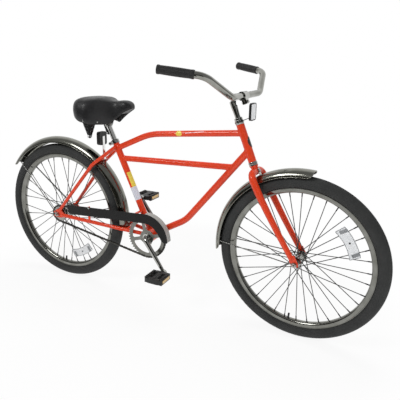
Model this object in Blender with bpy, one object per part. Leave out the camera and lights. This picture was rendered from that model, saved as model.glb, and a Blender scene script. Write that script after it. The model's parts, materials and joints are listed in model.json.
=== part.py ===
# Leisure bicycle with balloon tyres, fenders, coaster brake and chain guard.
# Metres, +Z up, X forward, Y to the rider's left, origin where the rear tyre meets the floor.

import math

import bmesh
import bpy
from mathutils import Matrix, Vector

# Wheels
TYRE_RADIUS = 0.335
TYRE_SECTION = 0.027
TYRE_TREAD_WIDTH = 0.012
TYRE_FACETS = 38
WHEELBASE = 1.163
TYRE_SEATING = 0.006
RIM_DEPTH = 0.0145
RIM_WIDTH = 0.030
RIM_WALL = 0.0018
SPOKES = 36
SPOKE_RADIUS = 0.0011
SPOKE_SIDES = 3
SPOKE_CROSSES = 3
SPOKE_START_FRONT = 0.04
SPOKE_START_REAR = 0.0349
HUB_RADIUS_FRONT = 0.0155
HUB_RADIUS_REAR = 0.0235
FLANGE_RADIUS_FRONT = 0.0220
FLANGE_RADIUS_REAR = 0.0335
FLANGE_OFFSET_FRONT = 0.0330
FLANGE_OFFSET_REAR = 0.0290
FLANGE_THICKNESS = 0.0030
AXLE_RADIUS_FRONT = 0.0040
AXLE_RADIUS_REAR = 0.00475
DROPOUT_SPACING_FRONT = 0.100
DROPOUT_SPACING_REAR = 0.110
DROPOUT_THICKNESS = 0.0050
AXLE_END = 0.0170
AXLE_NUT_HEIGHT = 0.0090
AXLE_NUT_RADIUS = 0.0087

# Steering
HEAD_ANGLE = math.radians(67.0)
FORK_OFFSET = 0.057
STEER_AT_REST = math.radians(-5.0)
HEAD_TUBE_RADIUS = 0.0159
HEAD_TUBE_WALL = 0.0013
CROWN_ROOM = 0.055
HEAD_TUBE_LENGTH = 0.149
CUP_HEIGHT = 0.0085
CUP_RADIUS = 0.0190
RACE_HEIGHT = 0.0060
LOCKNUT_HEIGHT = 0.0140
STEERER_RADIUS = 0.0127
STEERER_WALL = 0.0014
QUILL_RADIUS = 0.0108
QUILL_DEPTH = 0.050
STEM_RISE = 0.054
STEM_REACH = 0.050
BAR_RADIUS = 0.0125
GRIP_RADIUS = 0.0147
GRIP_LENGTH = 0.122

# Frame tubes
TOP_TUBE_RADIUS = 0.0127
DOWN_TUBE_RADIUS = 0.0143
SEAT_TUBE_RADIUS = 0.0143
SEAT_TUBE_WALL = 0.0012
SEAT_TUBE_ANGLE = math.radians(64.9)
SEAT_TUBE_LENGTH = 0.443
CHAIN_STAY_RADIUS = 0.0090
CHAIN_STAY_FLAT = 0.0075
SEAT_STAY_RADIUS = 0.0080
BRIDGE_RADIUS = 0.0060
CHAIN_STAY_ROOM = 0.1625
CRANK_DROP = 0.0265
SHELL_RADIUS = 0.0285
SHELL_WALL = 0.0028
SHELL_WIDTH = 0.068

# Drive
CHAIN_PITCH = 0.0127
RING_TEETH = 46
COG_TEETH = 19
CHAIN_LINE = 0.0460
RING_THICKNESS = 0.0026
CRANK_LENGTH = 0.170
CRANK_AT_REST = math.radians(-51.0)
CRANK_SPINDLE_RADIUS = 0.0115
PEDAL_WIDTH = 0.088
PEDAL_LENGTH = 0.086
PEDAL_HEIGHT = 0.030
PEDAL_SPINDLE_RADIUS = 0.0062

# Fenders
FENDER_ROOM_REAR = 0.035
FENDER_ROOM_FRONT = 0.025
FENDER_HALF_WIDTH = 0.0315
FENDER_DEPTH = 0.028
FENDER_WALL = 0.0012
STAY_WIRE_RADIUS = 0.0022

# Seat
SEAT_POST_RADIUS = 0.0127
SEAT_POST_ABOVE = 0.092
SEAT_POST_BELOW = 0.120
SADDLE_LENGTH = 0.256
SADDLE_WIDTH = 0.230
SADDLE_HEIGHT = 0.103
SADDLE_CROWN_ABOVE_RAILS = 0.0940788
SADDLE_REAR_SETBACK = 0.1145540
SPRING_TURNS = 7
SPRING_WIRE_RADIUS = 0.0021
SPRING_TOP_RADIUS = 0.0270
SPRING_TIP_RADIUS = 0.0072
SPRING_OFFSET = 0.066

# Sides of round pieces that fit one another
HEAD_SIDES = 14
SHELL_SIDES = 14
SEAT_SIDES = 14

# Clearances
GAP = 0.0003
RUN_GAP = 0.0008

# Sizes that follow from those above
BEAD_RADIUS = TYRE_RADIUS - 2.0 * TYRE_SECTION + TYRE_SEATING
RIM_BED_RADIUS = BEAD_RADIUS - RIM_DEPTH
FENDER_RADIUS_REAR = TYRE_RADIUS + FENDER_ROOM_REAR
FENDER_RADIUS_FRONT = TYRE_RADIUS + FENDER_ROOM_FRONT
HEAD_TUBE_BOTTOM = FENDER_RADIUS_FRONT + CROWN_ROOM
CRANK_X = TYRE_RADIUS + CHAIN_STAY_ROOM
CRANK_Z = TYRE_RADIUS - CRANK_DROP

TAU = 2.0 * math.pi
Y_AXIS = Vector((0.0, 1.0, 0.0))
Z_AXIS = Vector((0.0, 0.0, 1.0))


# Materials

def material(name, colour, roughness, metallic):
    """Return a Principled material with the given base colour."""
    mat = bpy.data.materials.get(name)
    if mat is None:
        mat = bpy.data.materials.new(name)
        mat.use_nodes = True
        shader = mat.node_tree.nodes["Principled BSDF"]
        shader.inputs["Base Color"].default_value = (colour[0], colour[1], colour[2], 1.0)
        shader.inputs["Roughness"].default_value = roughness
        shader.inputs["Metallic"].default_value = metallic
        mat.diffuse_color = (colour[0], colour[1], colour[2], 1.0)
    return mat


def clear_scene():
    for old in list(bpy.data.objects):
        bpy.data.objects.remove(old, do_unlink=True)


clear_scene()

RED_PAINT = material("red_paint", (0.72, 0.045, 0.018), 0.30, 0.0)
CHROME = material("chrome", (0.80, 0.80, 0.80), 0.12, 1.0)
STEEL = material("zinc_steel", (0.55, 0.55, 0.55), 0.35, 1.0)
RING_STEEL = material("ring_steel", (0.42, 0.42, 0.42), 0.30, 1.0)
DARK_STEEL = material("dark_steel", (0.10, 0.10, 0.10), 0.45, 1.0)
TYRE_RUBBER = material("tyre_rubber", (0.040, 0.042, 0.040), 0.85, 0.0)
GRIP_RUBBER = material("grip_rubber", (0.022, 0.022, 0.022), 0.75, 0.0)
BLACK_PLASTIC = material("black_plastic", (0.018, 0.018, 0.018), 0.50, 0.0)
BLACK_VINYL = material("black_vinyl", (0.020, 0.021, 0.021), 0.42, 0.0)
BLACK_PAINT = material("black_paint", (0.012, 0.012, 0.012), 0.35, 0.0)
AMBER = material("amber_lens", (0.80, 0.42, 0.08), 0.18, 0.0)
CLEAR_LENS = material("clear_lens", (0.75, 0.76, 0.78), 0.15, 0.0)
RED_LENS = material("red_lens", (0.55, 0.02, 0.02), 0.18, 0.0)


# Objects and pivots

def empty(name, place, parent=None, turn=None):
    """Add an empty whose world position is place, in the straight-ahead pose."""
    pivot = bpy.data.objects.new(name, None)
    pivot.empty_display_size = 0.03
    bpy.context.scene.collection.objects.link(pivot)
    pivot["straight"] = (place[0], place[1], place[2])
    pivot.location = place
    if parent is not None:
        pivot.parent = parent
        pivot.location = Vector(place) - Vector(parent["straight"])
    if turn is not None:
        pivot.rotation_mode = "QUATERNION"
        pivot.rotation_quaternion = turn
    return pivot


def new_object(name, bm, mat, sharp=35.0):
    """Turn a bmesh, drawn in world positions, into an object."""
    bmesh.ops.remove_doubles(bm, verts=bm.verts, dist=1e-7)
    bmesh.ops.recalc_face_normals(bm, faces=bm.faces)
    mesh = bpy.data.meshes.new(name)
    bm.to_mesh(mesh)
    bm.free()
    if mat is not None:
        mesh.materials.append(mat)
    mesh.shade_smooth()
    mesh.set_sharp_from_angle(angle=math.radians(sharp))
    obj = bpy.data.objects.new(name, mesh)
    bpy.context.scene.collection.objects.link(obj)
    return obj


def hang(obj, pivot):
    """Give an object its pivot as parent and origin, keeping its drawn place."""
    offset = Vector(pivot["straight"])
    obj.data.transform(Matrix.Translation(-offset))
    obj.parent = pivot
    return obj


def boolean(obj, other, operation, solver="EXACT"):
    """Join, cut or intersect obj with other, which is used up."""
    other.hide_render = True
    other.display_type = "WIRE"
    change = obj.modifiers.new("shape", "BOOLEAN")
    change.operation = operation
    change.solver = solver
    change.object = other
    graph = bpy.context.evaluated_depsgraph_get()
    graph.update()
    result = bpy.data.meshes.new_from_object(obj.evaluated_get(graph))
    obj.modifiers.clear()
    old = obj.data
    obj.data = result
    bpy.data.meshes.remove(old)
    bpy.data.objects.remove(other, do_unlink=True)
    tidy(obj)
    return obj


def tidy(obj, sharp=35.0):
    """Dissolve slivers left by a cut and renew the smooth shading."""
    bm = bmesh.new()
    bm.from_mesh(obj.data)
    bmesh.ops.remove_doubles(bm, verts=bm.verts, dist=1e-6)
    bmesh.ops.dissolve_degenerate(bm, edges=bm.edges, dist=1e-6)
    bm.to_mesh(obj.data)
    bm.free()
    obj.data.shade_smooth()
    obj.data.set_sharp_from_angle(angle=math.radians(sharp))


def union(obj, *others):
    for other in others:
        boolean(obj, other, "UNION")
    return obj


def cut(obj, *others):
    for other in others:
        boolean(obj, other, "DIFFERENCE")
    return obj


# Paths and lofts

def bent_path(corners, radii, step=math.radians(9.0)):
    """Straight runs through the corners, each joined by an arc of its radius."""
    pts = [Vector(c) for c in corners]
    path = [pts[0]]
    for i in range(1, len(pts) - 1):
        before = (pts[i - 1] - pts[i]).normalized()
        after = (pts[i + 1] - pts[i]).normalized()
        inside = before.angle(after)
        turn = math.pi - inside
        radius = radii[i - 1]
        if turn < 1e-4 or radius <= 0.0:
            path.append(pts[i])
            continue
        reach = radius * math.tan(turn / 2.0)
        centre = pts[i] + (before + after).normalized() * (radius / math.sin(inside / 2.0))
        start = pts[i] + before * reach
        end = pts[i] + after * reach
        count = max(2, int(math.ceil(turn / step)))
        arm_a = start - centre
        arm_b = end - centre
        for k in range(count + 1):
            t = k / count
            a = math.sin((1.0 - t) * turn) / math.sin(turn)
            b = math.sin(t * turn) / math.sin(turn)
            path.append(centre + arm_a * a + arm_b * b)
    path.append(pts[-1])
    return path


def frames_along(path, up):
    """Side and up directions at each point, carried along without twist."""
    count = len(path)
    tangents = []
    for i in range(count):
        ahead = path[min(i + 1, count - 1)] - path[i]
        behind = path[i] - path[max(i - 1, 0)]
        if ahead.length < 1e-9:
            ahead = behind
        if behind.length < 1e-9:
            behind = ahead
        tangents.append((ahead.normalized() + behind.normalized()).normalized())
    up = Vector(up)
    frames = []
    for tangent in tangents:
        side = tangent.cross(up).normalized()
        up = side.cross(tangent).normalized()
        frames.append((side, up, tangent))
    return frames


def loft(rings, closed=False):
    """Skin a list of rings of equal count, capped unless closed on itself."""
    bm = bmesh.new()
    rows = [[bm.verts.new(p) for p in ring] for ring in rings]
    count = len(rows[0])
    spans = len(rows) if closed else len(rows) - 1
    for i in range(spans):
        low = rows[i]
        high = rows[(i + 1) % len(rows)]
        for k in range(count):
            n = (k + 1) % count
            bm.faces.new((low[k], low[n], high[n], high[k]))
    if not closed:
        bm.faces.new(list(reversed(rows[0])))
        bm.faces.new(rows[-1])
    return bm


def tube(name, path, radius, sides, mat=None, up=(0.0, 1.0, 0.0), flat=1.0):
    """Round or oval rod along a path; radius may be one value or one per point.

    flat scales the half width across the up direction's own axis."""
    pts = [Vector(p) for p in path]
    frames = frames_along(pts, up)
    rings = []
    for i, (p, (side, top, _)) in enumerate(zip(pts, frames)):
        r = radius[i] if isinstance(radius, (list, tuple)) else radius
        f = flat[i] if isinstance(flat, (list, tuple)) else flat
        ring = []
        for k in range(sides):
            a = TAU * (k + 0.5) / sides
            ring.append(p + side * (r * math.cos(a)) + top * (r * f * math.sin(a)))
        rings.append(ring)
    return new_object(name, loft(rings), mat)


def turned(name, profile, place, axis, segments, mat=None, start=0.0, ring=False):
    """Turn a profile of (radius, height) pairs about an axis through place.

    A ring's profile is a closed loop off the axis; otherwise it runs from one
    end of the axis to the other."""
    axis = Vector(axis).normalized()
    side = axis.orthogonal().normalized()
    if abs(axis.y) > 0.9:
        side = Vector((0.0, 0.0, -1.0))
    side = Matrix.Rotation(start, 3, axis) @ side
    place = Vector(place)
    bm = bmesh.new()
    verts = [bm.verts.new(place + side * r + axis * h) for r, h in profile]
    edges = [bm.edges.new((verts[i], verts[i + 1])) for i in range(len(verts) - 1)]
    if ring:
        edges.append(bm.edges.new((verts[-1], verts[0])))
    bmesh.ops.spin(bm, geom=verts + edges, cent=place, axis=axis, dvec=(0.0, 0.0, 0.0),
                   angle=TAU, steps=segments, use_merge=False, use_normal_flip=False)
    bmesh.ops.remove_doubles(bm, verts=bm.verts, dist=2e-6)
    flats = []
    for end in (profile[0], profile[-1]):
        if not ring and end[0] < 1e-9:
            flats.append(end[1])
    if flats:
        centres = [v for v in bm.verts
                   if (v.co - place - axis * (v.co - place).dot(axis)).length < 1e-8]
        bmesh.ops.dissolve_verts(bm, verts=centres)
    return new_object(name, bm, mat)


def prism(name, outline, thickness, place, across, up, mat=None):
    """Extrude a flat outline, given as (along, up) pairs, centred on place.

    across is the direction of the thickness."""
    across = Vector(across).normalized()
    up = Vector(up)
    up = (up - across * up.dot(across)).normalized()
    along = up.cross(across)
    place = Vector(place)
    near = place - across * (thickness / 2.0)
    ring_a = [near + along * a + up * b for a, b in outline]
    ring_b = [p + across * thickness for p in ring_a]
    return new_object(name, loft([ring_a, ring_b]), mat)


def arc_points(cx, cy, radius, start, end, count):
    """Points on an arc in a plane, angles in radians, both ends included."""
    return [(cx + radius * math.cos(start + (end - start) * k / count),
             cy + radius * math.sin(start + (end - start) * k / count))
            for k in range(count + 1)]


def rounded_box_outline(half_w, half_h, corner, count=3):
    """Outline of a rectangle with rounded corners."""
    pts = []
    for sx, sy, start in ((1, 1, 0.0), (-1, 1, 0.25), (-1, -1, 0.5), (1, -1, 0.75)):
        pts += arc_points(sx * (half_w - corner), sy * (half_h - corner), corner,
                          start * TAU, (start + 0.25) * TAU, count)
    return pts


# Reference points, all in the straight-ahead pose

REAR_AXLE = Vector((0.0, 0.0, TYRE_RADIUS))
FRONT_AXLE = Vector((WHEELBASE, 0.0, TYRE_RADIUS))
CRANK_AXIS = Vector((CRANK_X, 0.0, CRANK_Z))
HEAD_UP = Vector((-math.cos(HEAD_ANGLE), 0.0, math.sin(HEAD_ANGLE)))
HEAD_AHEAD = Vector((math.sin(HEAD_ANGLE), 0.0, math.cos(HEAD_ANGLE)))
STEER_FOOT = FRONT_AXLE - HEAD_AHEAD * FORK_OFFSET
SEAT_UP = Vector((-math.cos(SEAT_TUBE_ANGLE), 0.0, math.sin(SEAT_TUBE_ANGLE)))

HEAD_TUBE_TOP = HEAD_TUBE_BOTTOM + HEAD_TUBE_LENGTH
HEAD_BORE = HEAD_TUBE_RADIUS - HEAD_TUBE_WALL
RACE_TOP = HEAD_TUBE_BOTTOM - CUP_HEIGHT - 2.0 * GAP
CROWN_TOP = RACE_TOP - RACE_HEIGHT - GAP
UPPER_CUP_TOP = HEAD_TUBE_TOP + GAP + CUP_HEIGHT
REFLECTOR_RING = 0.0025
LOCKNUT_BOTTOM = UPPER_CUP_TOP + REFLECTOR_RING + 2.0 * GAP
LOCKNUT_TOP = LOCKNUT_BOTTOM + LOCKNUT_HEIGHT


def head(up, ahead=0.0, left=0.0):
    """Point given by its place along, ahead of and beside the steering axis."""
    return STEER_FOOT + HEAD_UP * up + HEAD_AHEAD * ahead + Y_AXIS * left


def seat(up, ahead=0.0, left=0.0):
    """Point along the seat tube's axis, from the crank axis upwards."""
    forward = Vector((math.sin(SEAT_TUBE_ANGLE), 0.0, math.cos(SEAT_TUBE_ANGLE)))
    return CRANK_AXIS + SEAT_UP * up + forward * ahead + Y_AXIS * left


def about(centre, radius, angle, left=0.0):
    """Point at an angle about an axle, from straight ahead towards up."""
    return centre + Vector((radius * math.cos(angle), left, radius * math.sin(angle)))


def where_radius(start, end, centre, radius):
    """Share of the way from start to end where the side distance is radius."""
    a = Vector((start.x - centre.x, start.z - centre.z))
    d = Vector((end.x - start.x, end.z - start.z))
    half = a.dot(d)
    inner = half * half - d.dot(d) * (a.dot(a) - radius * radius)
    return (-half + math.sqrt(inner)) / d.dot(d)


STEER_PIVOT = empty("steering_axis", STEER_FOOT, None,
                    Matrix.Rotation(STEER_AT_REST, 3, HEAD_UP).to_quaternion())
FRONT_WHEEL_PIVOT = empty("front_axle_axis", FRONT_AXLE, STEER_PIVOT)
REAR_WHEEL_PIVOT = empty("rear_axle_axis", REAR_AXLE)
CRANK_PIVOT = empty("crank_axis", CRANK_AXIS, None,
                    Matrix.Rotation(-CRANK_AT_REST, 3, Y_AXIS).to_quaternion())
SPROCKET_PIVOT = empty("rear_sprocket_axis", REAR_AXLE)
FRAME_PIVOT = empty("frame_origin", (0.0, 0.0, 0.0))


# Fender angles, from straight ahead towards up, and the crown line's facets

FENDER_TIP_ANGLE = math.radians(86.0)
REAR_FENDER_ENDS = (math.radians(-5.0), math.radians(145.0))
FRONT_FENDER_ENDS = (math.radians(85.0), math.radians(185.0))
REAR_STAY_ANGLE = math.radians(138.0)
FRONT_STAY_ANGLE = math.radians(178.0)
FENDER_STEP = math.radians(11.5)
FENDER_ROUNDING = 0.030
FENDER_SPANS = 6


def fender_stations(radius, ends):
    """Angles of the fender's rings, closer together at its rounded ends."""
    start, end = ends
    rounding = FENDER_ROUNDING / radius
    inner = max(2, int(round((end - start - 2.0 * rounding) / FENDER_STEP)))
    span = end - start - 2.0 * rounding
    stations = [start, start + 0.30 * rounding]
    stations += [start + rounding + span * k / inner for k in range(inner + 1)]
    return stations + [end - 0.30 * rounding, end]


def crown_reach(radius, ends, angle, spread=0.0):
    """Least and most distance of the faceted crown line within a spread of an angle."""
    found = []
    stations = fender_stations(radius, ends)
    for low_angle, high_angle in zip(stations, stations[1:]):
        middle = (low_angle + high_angle) / 2.0
        near = max(low_angle, angle - spread)
        far = min(high_angle, angle + spread)
        if near <= far:
            chord = radius * math.cos((high_angle - low_angle) / 2.0)
            found += [chord / math.cos(near - middle), chord / math.cos(far - middle)]
            if near < middle < far:
                found.append(chord)
    return min(found), max(found)


# Frame

TOP_TUBE_BELOW_HEAD = 0.035
TOP_TUBE_BELOW_SEAT = 0.029
TOP_TUBE_BEND = Vector((0.488, 0.0, TYRE_RADIUS + 0.4248))
TOP_TUBE_BEND_RADIUS = 0.28
MID_TUBE_BELOW_SEAT = 0.077
MID_TUBE_DOWN_SHARE = 0.222
DOWN_TUBE_ABOVE_HEAD = 0.044
DOWN_TUBE_BEND = Vector((0.6665, 0.0, TYRE_RADIUS + 0.071))
DOWN_TUBE_BEND_RADIUS = 0.16
SEAT_STAY_KNEE = Vector((0.211, 0.0445, TYRE_RADIUS + 0.268))
CHAIN_STAY_KNEE = Vector((0.345, 0.0430, TYRE_RADIUS - 0.0135))
CHAIN_STAY_END = 0.019
SEAT_STAY_BELOW = 0.022
LUG_THICKNESS = 0.0025
GUARD_FACE = 0.0600
GUARD_SHEET = 0.0012
GUARD_BOLT = Vector((0.191, 0.0, TYRE_RADIUS + 0.064))
GUARD_BOLT_RADIUS = 0.0025


def rear_dropout(side):
    """Track end with its slot open to the rear."""
    w = AXLE_RADIUS_REAR + GAP
    outline = [(-0.024, -w)]
    outline += arc_points(0.0, 0.0, w, -TAU / 4.0, TAU / 4.0, 5)
    outline += [(-0.024, w), (-0.0245, w + 0.007), (-0.018, w + 0.011), (0.000, 0.026), (0.014, 0.027)]
    outline += [(0.034, 0.010), (0.038, 0.000), (0.034, -0.011), (0.010, -0.016)]
    outline += [(-0.018, -w - 0.009), (-0.0245, -w - 0.006)]
    place = REAR_AXLE + Y_AXIS * (side * (DROPOUT_SPACING_REAR + DROPOUT_THICKNESS) / 2.0)
    return prism("dropout", outline, DROPOUT_THICKNESS, place, (0.0, -1.0, 0.0), Z_AXIS)


def mirrored(point, side):
    return Vector((point.x, point.y * side, point.z))


def bridge_spot(low_end, high_end):
    """Where a cross tube between two stays comes to lie 0.3 mm off the rear fender."""
    reach = FENDER_RADIUS_REAR
    for _ in range(3):
        spot = low_end.lerp(high_end, where_radius(low_end, high_end, REAR_AXLE, reach))
        out = Vector((spot.x - REAR_AXLE.x, 0.0, spot.z - REAR_AXLE.z))
        crown = crown_reach(FENDER_RADIUS_REAR, REAR_FENDER_ENDS, math.atan2(out.z, out.x), math.radians(1.0))[1]
        reach = crown + FENDER_WALL / 2.0 + GAP + BRIDGE_RADIUS
    return spot, out.normalized()


def fender_bridge(low_end, high_end):
    spot, out = bridge_spot(low_end, high_end)
    return tube("bridge", [Vector((spot.x, -spot.y, spot.z)), spot], BRIDGE_RADIUS, 6, up=out)


SEAT_STAY_TOP = seat(SEAT_TUBE_LENGTH - SEAT_STAY_BELOW, 0.003, SEAT_TUBE_RADIUS + SEAT_STAY_RADIUS - 0.0058)
SEAT_BRIDGE, SEAT_BRIDGE_OUT = bridge_spot(SEAT_STAY_KNEE, SEAT_STAY_TOP)
SEAT_BRIDGE_MID = Vector((SEAT_BRIDGE.x, 0.0, SEAT_BRIDGE.z))


def build_frame():
    body = turned("frame", [(0.0, HEAD_TUBE_BOTTOM), (HEAD_TUBE_RADIUS, HEAD_TUBE_BOTTOM),
                            (HEAD_TUBE_RADIUS, HEAD_TUBE_TOP), (0.0, HEAD_TUBE_TOP)],
                  head(0.0), HEAD_UP, HEAD_SIDES, RED_PAINT)
    down_start = head(HEAD_TUBE_BOTTOM + DOWN_TUBE_ABOVE_HEAD)
    parts = [
        tube("top", bent_path([head(HEAD_TUBE_TOP - TOP_TUBE_BELOW_HEAD), TOP_TUBE_BEND,
                               seat(SEAT_TUBE_LENGTH - TOP_TUBE_BELOW_SEAT)], [TOP_TUBE_BEND_RADIUS],
                              math.radians(10.0)), TOP_TUBE_RADIUS, 10),
        tube("down", bent_path([down_start, DOWN_TUBE_BEND, CRANK_AXIS], [DOWN_TUBE_BEND_RADIUS]),
             DOWN_TUBE_RADIUS, 10),
        tube("middle", [seat(SEAT_TUBE_LENGTH - MID_TUBE_BELOW_SEAT),
                        down_start.lerp(DOWN_TUBE_BEND, MID_TUBE_DOWN_SHARE)], TOP_TUBE_RADIUS, 10),
        tube("seat", [seat(0.0), seat(SEAT_TUBE_LENGTH)], SEAT_TUBE_RADIUS, SEAT_SIDES),
        turned("shell", [(0.0, -SHELL_WIDTH / 2.0), (SHELL_RADIUS, -SHELL_WIDTH / 2.0),
                         (SHELL_RADIUS, SHELL_WIDTH / 2.0), (0.0, SHELL_WIDTH / 2.0)],
               CRANK_AXIS, Y_AXIS, SHELL_SIDES),
    ]
    plate = (DROPOUT_SPACING_REAR + DROPOUT_THICKNESS) / 2.0
    for side in (-1.0, 1.0):
        stay_end = seat(SEAT_TUBE_LENGTH - SEAT_STAY_BELOW, 0.003,
                        side * (SEAT_TUBE_RADIUS + SEAT_STAY_RADIUS - 0.0058))
        foot = REAR_AXLE + Vector((0.0095, side * (plate + 0.001), 0.0200))
        knee = mirrored(SEAT_STAY_KNEE, side)
        toe = foot.lerp(knee, 0.16)
        clear = foot.lerp(knee, 0.28)
        path = [foot, toe, clear] + bent_path([clear, knee, stay_end], [0.10], math.radians(14.0))[1:]
        count = len(path)
        parts.append(tube("seat_stay", path, [SEAT_STAY_RADIUS] * count, 8,
                          flat=[0.45, 0.55] + [1.0] * (count - 2)))
        heel = REAR_AXLE + Vector((0.0250, side * (plate + 0.0002), -0.0010))
        knee = mirrored(CHAIN_STAY_KNEE, side)
        toe = heel.lerp(knee, 0.09)
        inner = CRANK_AXIS + Vector((-0.012, side * CHAIN_STAY_END, 0.001))
        path = [heel, toe] + bent_path([toe, knee, inner], [0.20], math.radians(14.0))[1:]
        count = len(path)
        oval = CHAIN_STAY_FLAT / CHAIN_STAY_RADIUS
        parts.append(tube("chain_stay", path, [CHAIN_STAY_RADIUS] * count, 10,
                          flat=[0.42, oval] + [oval] * (count - 2)))
        parts.append(rear_dropout(side))
    inner = CRANK_AXIS + Vector((-0.012, CHAIN_STAY_END, 0.001))
    parts.append(fender_bridge(SEAT_STAY_KNEE, SEAT_STAY_TOP))
    parts.append(fender_bridge(CHAIN_STAY_KNEE, inner))
    # Lugs for the chain guard: one on the right chain stay, one on the seat tube
    face = -(GUARD_FACE - GAP)
    share = (GUARD_BOLT.x - REAR_AXLE.x) / CHAIN_STAY_KNEE.x
    stay_z = REAR_AXLE.z + (CHAIN_STAY_KNEE.z - REAR_AXLE.z) * share
    lug_height = GUARD_BOLT.z + 0.007 - stay_z
    place = Vector((GUARD_BOLT.x, face + LUG_THICKNESS / 2.0, stay_z + lug_height / 2.0))
    parts.append(prism("lug", rounded_box_outline(0.006, lug_height / 2.0, 0.0045, 2), LUG_THICKNESS,
                       place, (0.0, -1.0, 0.0), Z_AXIS))
    inside = -0.0520
    place = Vector((GUARD_BOLT.x, (face + inside) / 2.0 + 0.0003, stay_z + 0.0015))
    parts.append(prism("lug_root", rounded_box_outline(0.0055, 0.0055, 0.001, 1), inside - face - 0.0006,
                       place, (0.0, -1.0, 0.0), Z_AXIS))
    arm = seat(0.1165)
    place = Vector((arm.x, (face - 0.010) / 2.0, arm.z))
    parts.append(prism("lug_arm", rounded_box_outline(0.007, 0.0022, 0.001, 1), -face - 0.010,
                       place, (0.0, -1.0, 0.0), Z_AXIS))
    union(body, *parts)
    cutters = [
        turned("bore", [(0.0, HEAD_TUBE_BOTTOM - 0.02), (HEAD_BORE, HEAD_TUBE_BOTTOM - 0.02),
                        (HEAD_BORE, HEAD_TUBE_TOP + 0.02), (0.0, HEAD_TUBE_TOP + 0.02)],
               head(0.0), HEAD_UP, HEAD_SIDES),
        turned("bore", [(0.0, -SHELL_WIDTH), (SHELL_RADIUS - SHELL_WALL, -SHELL_WIDTH),
                        (SHELL_RADIUS - SHELL_WALL, SHELL_WIDTH), (0.0, SHELL_WIDTH)],
               CRANK_AXIS, Y_AXIS, SHELL_SIDES),
        tube("bore", [seat(0.012), seat(SEAT_TUBE_LENGTH + 0.02)], SEAT_TUBE_RADIUS - SEAT_TUBE_WALL, SEAT_SIDES),
        tube("bore", [Vector((GUARD_BOLT.x, -0.070, GUARD_BOLT.z)), Vector((GUARD_BOLT.x, -0.054, GUARD_BOLT.z))],
             GUARD_BOLT_RADIUS + GAP, 8, up=Z_AXIS),
    ]
    cut(body, *cutters)
    hang(body, FRAME_PIVOT)
    return body


build_frame()


# Headset

def ring_on_head(name, profile, mat, pivot, segments=HEAD_SIDES):
    obj = turned(name, profile, head(0.0), HEAD_UP, segments, mat, ring=True)
    return hang(obj, pivot)


CUP_BORE = STEERER_RADIUS + 0.0006
CUP_LIP = HEAD_BORE - GAP
low = HEAD_TUBE_BOTTOM - GAP
ring_on_head("headset_lower_cup",
             [(CUP_BORE, low - CUP_HEIGHT), (CUP_RADIUS, low - CUP_HEIGHT), (CUP_RADIUS - 0.0010, low - 0.003),
              (HEAD_TUBE_RADIUS + 0.0008, low), (CUP_LIP, low), (CUP_LIP, low + 0.006), (CUP_BORE, low + 0.006)],
             CHROME, FRAME_PIVOT)
high = HEAD_TUBE_TOP + GAP
ring_on_head("headset_upper_cup",
             [(CUP_BORE, high + CUP_HEIGHT), (CUP_BORE, high - 0.006), (CUP_LIP, high - 0.006), (CUP_LIP, high),
              (HEAD_TUBE_RADIUS + 0.0008, high), (CUP_RADIUS - 0.0010, high + 0.003),
              (CUP_RADIUS, high + CUP_HEIGHT)],
             CHROME, FRAME_PIVOT)
ring_on_head("fork_crown_race",
             [(STEERER_RADIUS + GAP, RACE_TOP - RACE_HEIGHT), (CUP_RADIUS - 0.0005, RACE_TOP - RACE_HEIGHT),
              (CUP_RADIUS - 0.0020, RACE_TOP),
              (STEERER_RADIUS + GAP, RACE_TOP)],
             CHROME, STEER_PIVOT)
nut = turned("headset_locknut",
             [(STEERER_RADIUS + GAP, LOCKNUT_BOTTOM), (CUP_RADIUS - 0.0015, LOCKNUT_BOTTOM),
              (CUP_RADIUS - 0.0015, LOCKNUT_BOTTOM + 0.004), (CUP_RADIUS - 0.0025, LOCKNUT_BOTTOM + 0.0045),
              (CUP_RADIUS - 0.0025, LOCKNUT_TOP - 0.0015), (CUP_RADIUS - 0.0040, LOCKNUT_TOP),
              (STEERER_RADIUS + GAP, LOCKNUT_TOP)],
             head(0.0), HEAD_UP, HEAD_SIDES, CHROME, ring=True)
hang(nut, STEER_PIVOT)


# Fork, one piece with its steerer

BLADE_RADIUS = 0.0140
BLADE_TIP_RADIUS = 0.0105
BLADE_OFFSET = 0.0530
BLADE_BEND_POWER = 1.3
CROWN_CENTRE = CROWN_TOP - 0.0245
FENDER_TAB_HOLE = 0.0027


def blade_path(side):
    """Out from the crown, round the shoulder, then down the curved blade."""
    shoulder = bent_path([head(CROWN_CENTRE), head(CROWN_CENTRE, 0.001, side * BLADE_OFFSET),
                          head(CROWN_CENTRE - 0.100, 0.008, side * BLADE_OFFSET)], [0.030],
                         math.radians(24.0))[:-1]
    low_end = 0.026
    path = list(shoulder)
    count = 5
    for k in range(1, count + 1):
        up = (CROWN_CENTRE - 0.060) * (1.0 - k / count) + low_end * (k / count)
        ahead = FORK_OFFSET * ((CROWN_CENTRE - up) / CROWN_CENTRE) ** BLADE_BEND_POWER
        path.append(head(up, ahead, side * BLADE_OFFSET))
    return path


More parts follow.
